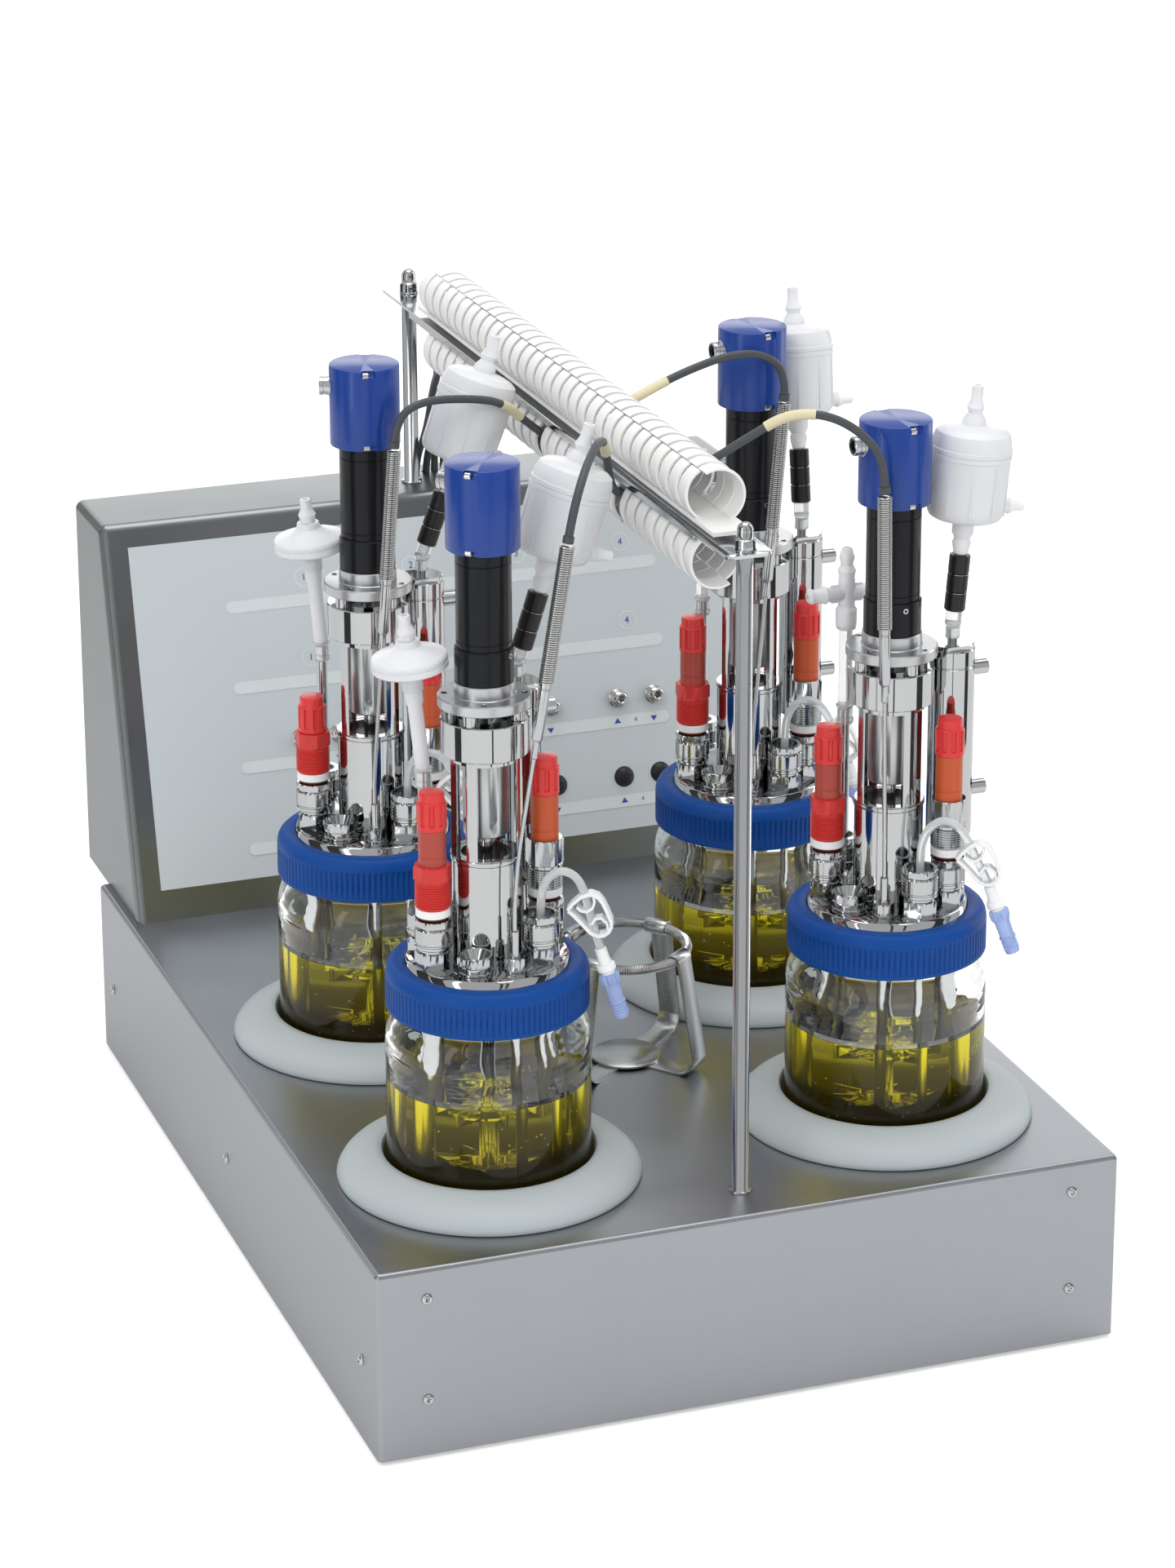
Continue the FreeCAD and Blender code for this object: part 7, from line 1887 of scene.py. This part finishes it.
# ---------------------------------------------------------------- gas line and exhaust
@dataclass
class GasInlet:
    """Gas pipe with its sleeve and the disc filter or cross piece above.

    Args:
        vessel: its layout.
        pipe: radius of the pipe.
        pipe_top: its top above the head plate.
        sleeve: length of the sleeve.
    """

    vessel: Vessel
    pipe: float = 3.2
    pipe_top: float = 109.0
    sleeve: float = 50.0

    def build(self) -> None:
        """Make the pipe and what stands on it."""
        vessel, number = self.vessel, self.vessel.number
        deck = vessel.deck
        seat = vessel.set_down(Port.GAS)
        pipe = Form().lathe([(0, 72.0 - deck), (self.pipe, 72.0 - deck), (self.pipe, self.pipe_top), (0, self.pipe_top)],
                            0, 32)
        place(f"gas_pipe_{number}", pipe.move(seat), [LATHE_STEEL], stands_for=["gas_tubes"])
        low = self.pipe_top
        holder = Form().lathe([(3.25, low - 9), (4.9, low - 9), (5.3, low - 8.5), (5.3, low - 6), (4.7, low - 5.5),
                               (4.7, low + 1.0), (5.3, low + 1.5), (5.3, low + 2.6), (4.6, low + 3.0),
                               (0, low + 3.0), (0, low + 0.1), (3.25, low + 0.1)], 0, 40)
        pivot = vessel.port(Port.GAS, low + 1.5)
        lean = leaning(pivot, vessel.nod, 0.0)
        if number <= 2:
            holder.move(seat)
            column = self._disc().move(lean @ vessel.set_down(Port.GAS) @ Matrix.Translation((0, 0, low)))
            place(f"inlet_filter_{number}", holder.add(column), [CLEAR_PLASTIC, MILKY_PLASTIC, MILKY_PLASTIC],
                  stands_for=["gas_filters"])
        else:
            spot = vessel.port(Port.GAS)
            cross = self._cross(low).move(upright(spot.x, spot.y, spot.z))
            place(f"inlet_cross_{number}", holder.move(seat).add(cross),
                  [CLEAR_PLASTIC, MILKY_PLASTIC, MILKY_PLASTIC], stands_for=["gas_filters"])

    def _disc(self) -> Form:
        """Return the sleeve and the disc filter, from the pipe's top."""
        top = self.sleeve
        form = Form().lathe([(0, 1.5), (4.3, 1.5), (4.3, top - 9.0), (5.0, top - 7.0), (5.2, top), (0, top)], 2, 32)
        form.lathe([(0, top), (5.4, top), (6.0, top + 0.6), (6.0, top + 7.6), (5.0, top + 8.0), (0, top + 8.0)], 1, 40)
        rim = [(0, top + 8.0), (6.4, top + 8.2), (7.0, top + 9.0), (16.0, top + 12.0), (19.0, top + 12.6),
               (20.8, top + 13.4), (22.0, top + 14.4), (22.0, top + 17.2), (21.4, top + 17.5), (21.4, top + 18.3),
               (22.0, top + 18.6), (22.0, top + 20.6), (21.2, top + 21.8), (19.4, top + 22.4), (15.0, top + 23.6),
               (10.0, top + 25.6), (7.6, top + 27.6), (6.6, top + 31.0), (0, top + 31.0)]
        form.lathe(rim, 2, 80)
        form.lathe([(0, top + 31.0), (4.6, top + 31.2), (4.6, top + 33.0), (5.4, top + 36.0), (3.6, top + 39.6),
                    (3.4, top + 40.0), (3.4, top + 45.6), (3.0, top + 46.0), (1.8, top + 46.0), (1.8, top + 42.0),
                    (0, top + 42.0)], 1, 32)
        return form

    def _cross(self, low: float) -> Form:
        """Return the sleeve and the white cross piece with its four ribs."""
        top = low + self.sleeve
        form = Form().lathe([(0, low + 1.5), (4.0, low + 1.5), (4.0, top), (0, top)], 0, 32)
        form.lathe([(0, top), (5.6, top), (6.0, top + 0.5), (6.4, top + 6.0), (6.4, top + 12.0), (5.0, top + 14.0),
                    (5.0, top + 30.0), (4.6, top + 32.0), (5.4, top + 36.0), (3.6, top + 40.0), (4.6, top + 44.0),
                    (3.0, top + 49.6), (2.6, top + 50.0), (1.6, top + 50.0), (1.6, top + 46.0), (0, top + 46.0)], 1, 40)
        arm = Form().lathe([(0, 0), (4.4, 0), (4.4, 12.0), (5.4, 14.0), (3.8, 20.0), (4.6, 23.0), (3.4, 24.7),
                            (2.8, 25.0), (1.6, 25.0), (1.6, 21.0), (0, 21.0)], 1, 32)
        for side in (-1, 1):
            form.add(arm, Matrix.Translation((0, 0, top + 22.0)) @ Matrix.Rotation(math.radians(90 * side), 4, "Y"))
        web = Form()
        bmesh.ops.create_cube(web.bm, size=1.0, matrix=Matrix.Diagonal((20.0, 1.2, 11.0, 1)))
        for face in web.bm.faces:
            face.material_index = 1
        return form.add(web, Matrix.Translation((0, 0, top + 22.0)))


@dataclass
class Exhaust:
    """Condenser with its coupling, black sleeve and the capsule filter that leans above.

    Args:
        vessel: its layout.
        body: radius of the condenser.
        top: its top above the head plate.
    """

    vessel: Vessel
    body: float = 13.6
    top: float = 153.0

    def build(self) -> None:
        """Make the condenser and the filter."""
        number, vessel = self.vessel.number, self.vessel
        spot = vessel.port(Port.CONDENSER)
        base = upright(spot.x, spot.y, spot.z)
        place(f"condenser_{number}", self._condenser().move(base), [MIRROR_STEEL, SLEEVE_BLACK],
              stands_for=["condensers"], smooth=30.0)
        start = self.top + 9.0
        grip = Form().lathe([(3.0, start - 6), (4.0, start - 6), (4.4, start - 5.5), (4.4, start + 3.6),
                             (0, start + 3.6), (0, start + 0.4), (3.0, start + 0.4)], 0, 32)
        tilt = leaning(vessel.port(Port.CONDENSER, start + 1.8), vessel.tilt, vessel.tilt_to)
        line = tilt @ base @ Matrix.Translation((0, 0, start))
        upper = Form().lathe([(0, 1.8), (4.4, 1.8), (4.8, 2.3), (4.8, 10.6), (4.4, 11.0), (0, 11.0)], 0, 32)
        place(f"coupling_{number}", grip.move(base).add(upper.move(line)), [CLEAR_PLASTIC],
              stands_for=["filter_couplings"])
        place(f"filter_sleeve_{number}", self._sleeve().move(line), [SLEEVE_BLACK, SCREW_STEEL],
              stands_for=["filter_couplings"])
        place(f"capsule_{number}", self._capsule().move(line), [MILKY_PLASTIC, WHITE_PLASTIC],
              stands_for=["exhaust_filters"])

    def _condenser(self) -> Form:
        """Return the polished condenser with its flat-sided lid and two open nipples, whose shallow bores end in a
        black floor as painted shade.
        """
        body, top = self.body, self.top
        joint = top - 13.0
        form = Form().lathe([(0, 12.0), (5.2, 12.0), (5.6, 12.5), (5.6, 27.0), (5.9, 28.4), (12.6, 33.2),
                             (13.4, 34.0), (body, 35.0), (body, joint - 0.7), (13.1, joint - 0.3),
                             (13.1, joint + 0.3), (body, joint + 0.7), (body, top - 3.2), (13.0, top - 2.6),
                             (13.0, top - 0.6), (12.4, top), (0, top)], 0, 80)
        block = Form()
        bmesh.ops.create_cube(block.bm, size=1.0, matrix=Matrix.Diagonal((40.0, 6.4, 3.6, 1)))
        for side in (-1, 1):
            form.cut(Form().add(block, Matrix.Translation((0, side * body, top - 0.8))))
        form.lathe([(0, top - 0.2), (2.9, top - 0.2), (2.9, top + 9.0), (0, top + 9.0)], 0, 24)
        nipple = Form().lathe([(0, 0), (4.6, 0), (4.6, 9.6), (4.2, 10.0), (3.4, 10.0), (3.1, 9.6), (3.1, 4.0),
                               (0, 4.0)], 0, 32)
        # Painted shade: the floor of each shallow bore is black, for the dark of the open pipe.
        for face in nipple.bm.faces:
            centre = face.calc_center_median()
            if centre.xy.length < 3.0:
                face.material_index = 1
        for level in (60.0, 135.5):
            form.add(nipple, Matrix.Translation((body - 1.0, 0, level)) @ Matrix.Rotation(math.radians(90), 4, "Y"))
        return form

    @staticmethod
    def _sleeve() -> Form:
        """Return the black three-part sleeve, with fine steel rings at two joints that stand for the glints on the
        section edges: painted highlights.
        """
        form = Form()
        low, high, parts = 11.0, 45.0, 3
        length = (high - low) / parts
        for index in range(parts):
            foot = low + index * length
            form.lathe([(0, foot + 0.2), (5.8, foot + 0.2), (6.2, foot + 0.6), (6.2, foot + length - 0.6),
                        (5.8, foot + length - 0.2), (0, foot + length - 0.2)], 0, 40)
            form.lathe([(0, foot - 0.2), (5.5, foot - 0.2), (5.5, foot + 0.4), (0, foot + 0.4)], 0, 32)
        # Painted highlight: thin steel rings stand for the glints at the joints.
        for level in (low + length - 0.5, low + 2 * length - 0.5):
            form.lathe([(5.9, level), (6.05, level), (6.05, level + 0.25), (5.9, level + 0.25)], 1, 40, closed=True)
        return form

    @staticmethod
    def _capsule() -> Form:
        """Return the capsule filter with its necks, ribs, domed lid, barb and side nipple."""
        start, radius = 45.0, 24.0
        base, top = start + 21.0, start + 79.0
        lid = top - 18.0
        form = Form().lathe([(0, start), (3.4, start), (4.2, start + 0.8), (5.6, start + 7), (4.6, start + 10),
                             (6.4, start + 13), (6.4, base - 2), (9, base), (radius - 5, base + 1.5),
                             (radius - 3.0, base + 2.6), (radius - 1.6, base + 5), (radius - 1.2, base + 9),
                             (radius - 0.8, base + 20), (radius - 0.5, lid - 1.2), (radius, lid - 0.9),
                             (radius, lid + 1.2), (radius - 0.5, lid + 1.5), (radius - 0.5, lid + 2.0),
                             (radius, lid + 2.3), (radius, lid + 4.6), (radius - 0.6, lid + 5.0),
                             (radius - 0.9, lid + 9.0), (radius - 2.4, top - 4.4), (radius - 5.0, top - 2.4),
                             (radius - 9, top - 1.2), (8.0, top - 0.3), (7, top), (6.6, top + 3),
                             (4.0, top + 7), (5.2, top + 10), (3.4, top + 14.6), (3.4, top + 22.6),
                             (3.0, top + 23.0), (1.9, top + 23.0), (1.9, top + 19.0), (0, top + 19.0)], 0, 88)
        rib = Form()
        bmesh.ops.create_cube(rib.bm, size=1.0, matrix=Matrix.Translation((radius - 1.35, 0, (base + lid) / 2 + 1))
                              @ Matrix.Diagonal((1.8, 1.3, lid - base - 9, 1)))
        for index in range(10):
            form.add(rib, Matrix.Rotation(math.tau * index / 10, 4, "Z"))
        core = Form().lathe([(0, base + 6), (15.0, base + 6), (15.0, top - 8), (0, top - 8)], 1, 48)
        nipple = Form().lathe([(0, 0), (4.2, 0), (4.2, 6), (5, 8), (3.2, 13), (3.2, 17.6), (2.8, 18), (1.6, 18),
                               (1.6, 14), (0, 14)], 1, 32)
        form.add(core)
        return form.add(nipple, Matrix.Translation((radius - 5, 0, base + 8)) @ Matrix.Rotation(
            math.radians(90), 4, "Y"))


# ---------------------------------------------------------------- sample line
@dataclass(frozen=True)
class SampleLine:
    """Hanging sample tube with its clamp and valve.

    Args:
        number: its vessel.
        route: control points in metres.
        length: its length in metres; not used.
    """

    number: int
    route: tuple[tuple[float, float, float], ...]
    length: float
    radius: float = 0.0025
    clamp_run: int = 7

    def build(self) -> None:
        """Lay the tube and put its clamp and valve on it."""
        tube = spline_cord(f"sample_tube_{self.number}_soft", self.route, self.radius, TUBING,
                           f"sample_tube_{self.number}")
        points = [Vector(point) / MM for point in self.route]
        clamp = self._clamp().move(self._facing(points[self.clamp_run]))
        valve = self._valve().move(self._on_run(points[-2], points[-1], 1.0))
        grip = place(f"sample_clamp_{self.number}", clamp, [WHITE_PLASTIC], stands_for=["sample_clamps"])
        tip = place(f"sample_valve_{self.number}", valve, [WHITE_PLASTIC, VALVE_BLUE, VALVE_BLUE],
                    stands_for=["sample_valves"])

    @staticmethod
    def _on_run(start: Vector, end: Vector, share: float) -> Matrix:
        """Return a place on a stretch of the tube, turned into the tube's own plane."""
        run = end - start
        sideways = Matrix.Rotation(math.radians(-25.0), 4, "Z")
        level = Vector((0, 0, 1)).rotation_difference(run.normalized()).to_matrix().to_4x4()
        return Matrix.Translation(start + run * share) @ level @ sideways

    @staticmethod
    def _facing(spot: Vector) -> Matrix:
        """Return an upright place turned into the tube's own plane."""
        return Matrix.Translation(spot) @ Matrix.Rotation(math.radians(-25.0), 4, "Z")

    @staticmethod
    def _clamp() -> Form:
        """Return the pinch clamp: a strip bent to a leaf, hooked together at its corner, with two pinching noses."""
        leaf = [(-12.6, 3.0), (-9.6, 7.0), (-4.8, 11.4), (0.4, 12.9), (4.6, 11.6), (7.4, 8.2), (9.6, 3.4),
                (12.2, -3.0), (12.5, -6.6), (11.0, -9.8), (8.2, -12.0), (4.6, -12.5), (0.6, -10.8), (-4.8, -4.8),
                (-10.6, 1.2), (-12.4, 2.4)]
        form = Form().plate(ribbon(leaf, 1.9), 8.5, 0.3)
        form.plate(ribbon([(2.2, 12.0), (2.8, 8.0), (1.6, 4.4), (-1.6, 2.2), (-5.0, 2.6), (-7.4, 4.8)], 1.5), 7.5, 0.3)
        return form.plate(ribbon([(10.8, -9.2), (10.0, -4.4), (6.6, -1.4), (3.0, -2.2), (1.0, -5.6)], 1.5), 7.5, 0.3)

    @staticmethod
    def _valve() -> Form:
        """Return the valve: white collar over the tube, lobed blue crown, body and threaded tip."""
        form = Form().lathe([(0, -8), (3.0, -8), (3.4, -7.6), (3.6, -1), (3.9, 0), (3.9, 2.0), (5.2, 2.3), (5.5, 2.8),
                             (5.5, 5.6), (5.2, 6.0), (4.2, 6.2), (4.2, 8), (0, 8)], 0, 40)
        form.lathe([(0, 8), (4.6, 8), (6.0, 8.6), (6.2, 9.4), (6.1, 13.0), (5.4, 14.4), (4.7, 15.4), (4.6, 16),
                    (4.4, 25.0), (5.0, 25.6), (5.0, 26.6), (4.5, 27.2), (0, 27.2)], 1, 80)
        form.carve(7.9, 14.6, lambda angle, height, reach: 0.55 * (1 + math.cos(10 * angle)), 4.5)
        form.lathe([(0, 27.2), (4.3, 27.2), (4.3, 28.2), (4.7, 28.8), (4.3, 29.4), (4.7, 30.2), (4.3, 31.0),
                    (4.7, 31.8), (4.3, 32.6), (4.7, 33.4), (4.4, 34.6), (4.2, 36), (2.2, 36), (2.2, 30), (0, 30)], 2, 40)
        return form


SAMPLE_LINES = (
    SampleLine(1, (
        (-0.1004, -0.2275, 0.283), (-0.1004, -0.2275, 0.292), (-0.0997, -0.2278, 0.302),
        (-0.0959, -0.2296, 0.3105), (-0.0891, -0.2328, 0.3145), (-0.0818, -0.2361, 0.311),
        (-0.0778, -0.238, 0.3025), (-0.0746, -0.2395, 0.288), (-0.071, -0.2412, 0.273),
        (-0.0673, -0.2429, 0.2595)), 0.0987),
    SampleLine(2, (
        (-0.1121, -0.0136, 0.283), (-0.1121, -0.0136, 0.292), (-0.1113, -0.0139, 0.302),
        (-0.1075, -0.0157, 0.3105), (-0.0998, -0.0193, 0.3145), (-0.0917, -0.0231, 0.311),
        (-0.0872, -0.0252, 0.3025), (-0.084, -0.0267, 0.288), (-0.0799, -0.0286, 0.273),
        (-0.0763, -0.0303, 0.2595)), 0.1008),
    SampleLine(3, (
        (0.1321, -0.2384, 0.283), (0.1321, -0.2384, 0.2925), (0.1326, -0.2386, 0.303), (0.1362, -0.2403, 0.313),
        (0.1439, -0.2439, 0.3185), (0.152, -0.2477, 0.315), (0.1579, -0.2504, 0.304), (0.1629, -0.2528, 0.2915),
        (0.1679, -0.2551, 0.281), (0.1714, -0.2567, 0.2703)), 0.0988),
    SampleLine(4, (
        (0.1377, -0.0143, 0.283), (0.1377, -0.0143, 0.2925), (0.1382, -0.0145, 0.303), (0.1418, -0.0162, 0.313),
        (0.1495, -0.0198, 0.3185), (0.1576, -0.0236, 0.315), (0.1635, -0.0263, 0.304), (0.1685, -0.0286, 0.2915),
        (0.1731, -0.0308, 0.28), (0.1763, -0.0323, 0.2685)), 0.1002),
)


def main() -> None:
    """Build the whole model in order."""
    logging.basicConfig(level=logging.INFO, format="%(name)s: %(message)s")
    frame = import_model()
    Studio().build()
    Casework(frame).build()
    Bridge(frame).build()
    BottleStand().build()
    for vessel in VESSELS:
        LOG.info("vessel %d", vessel.number)
        Glassware(vessel, frame).build()
        Drive(vessel, frame).build()
        HeadFittings(vessel).build()
        Thermometer(vessel).build()
        GasInlet(vessel).build()
        Exhaust(vessel).build()
    carry("dip_tubes", LATHE_STEEL, frame)
    for line in SAMPLE_LINES:
        line.build()


if __name__ == "__main__":
    main()
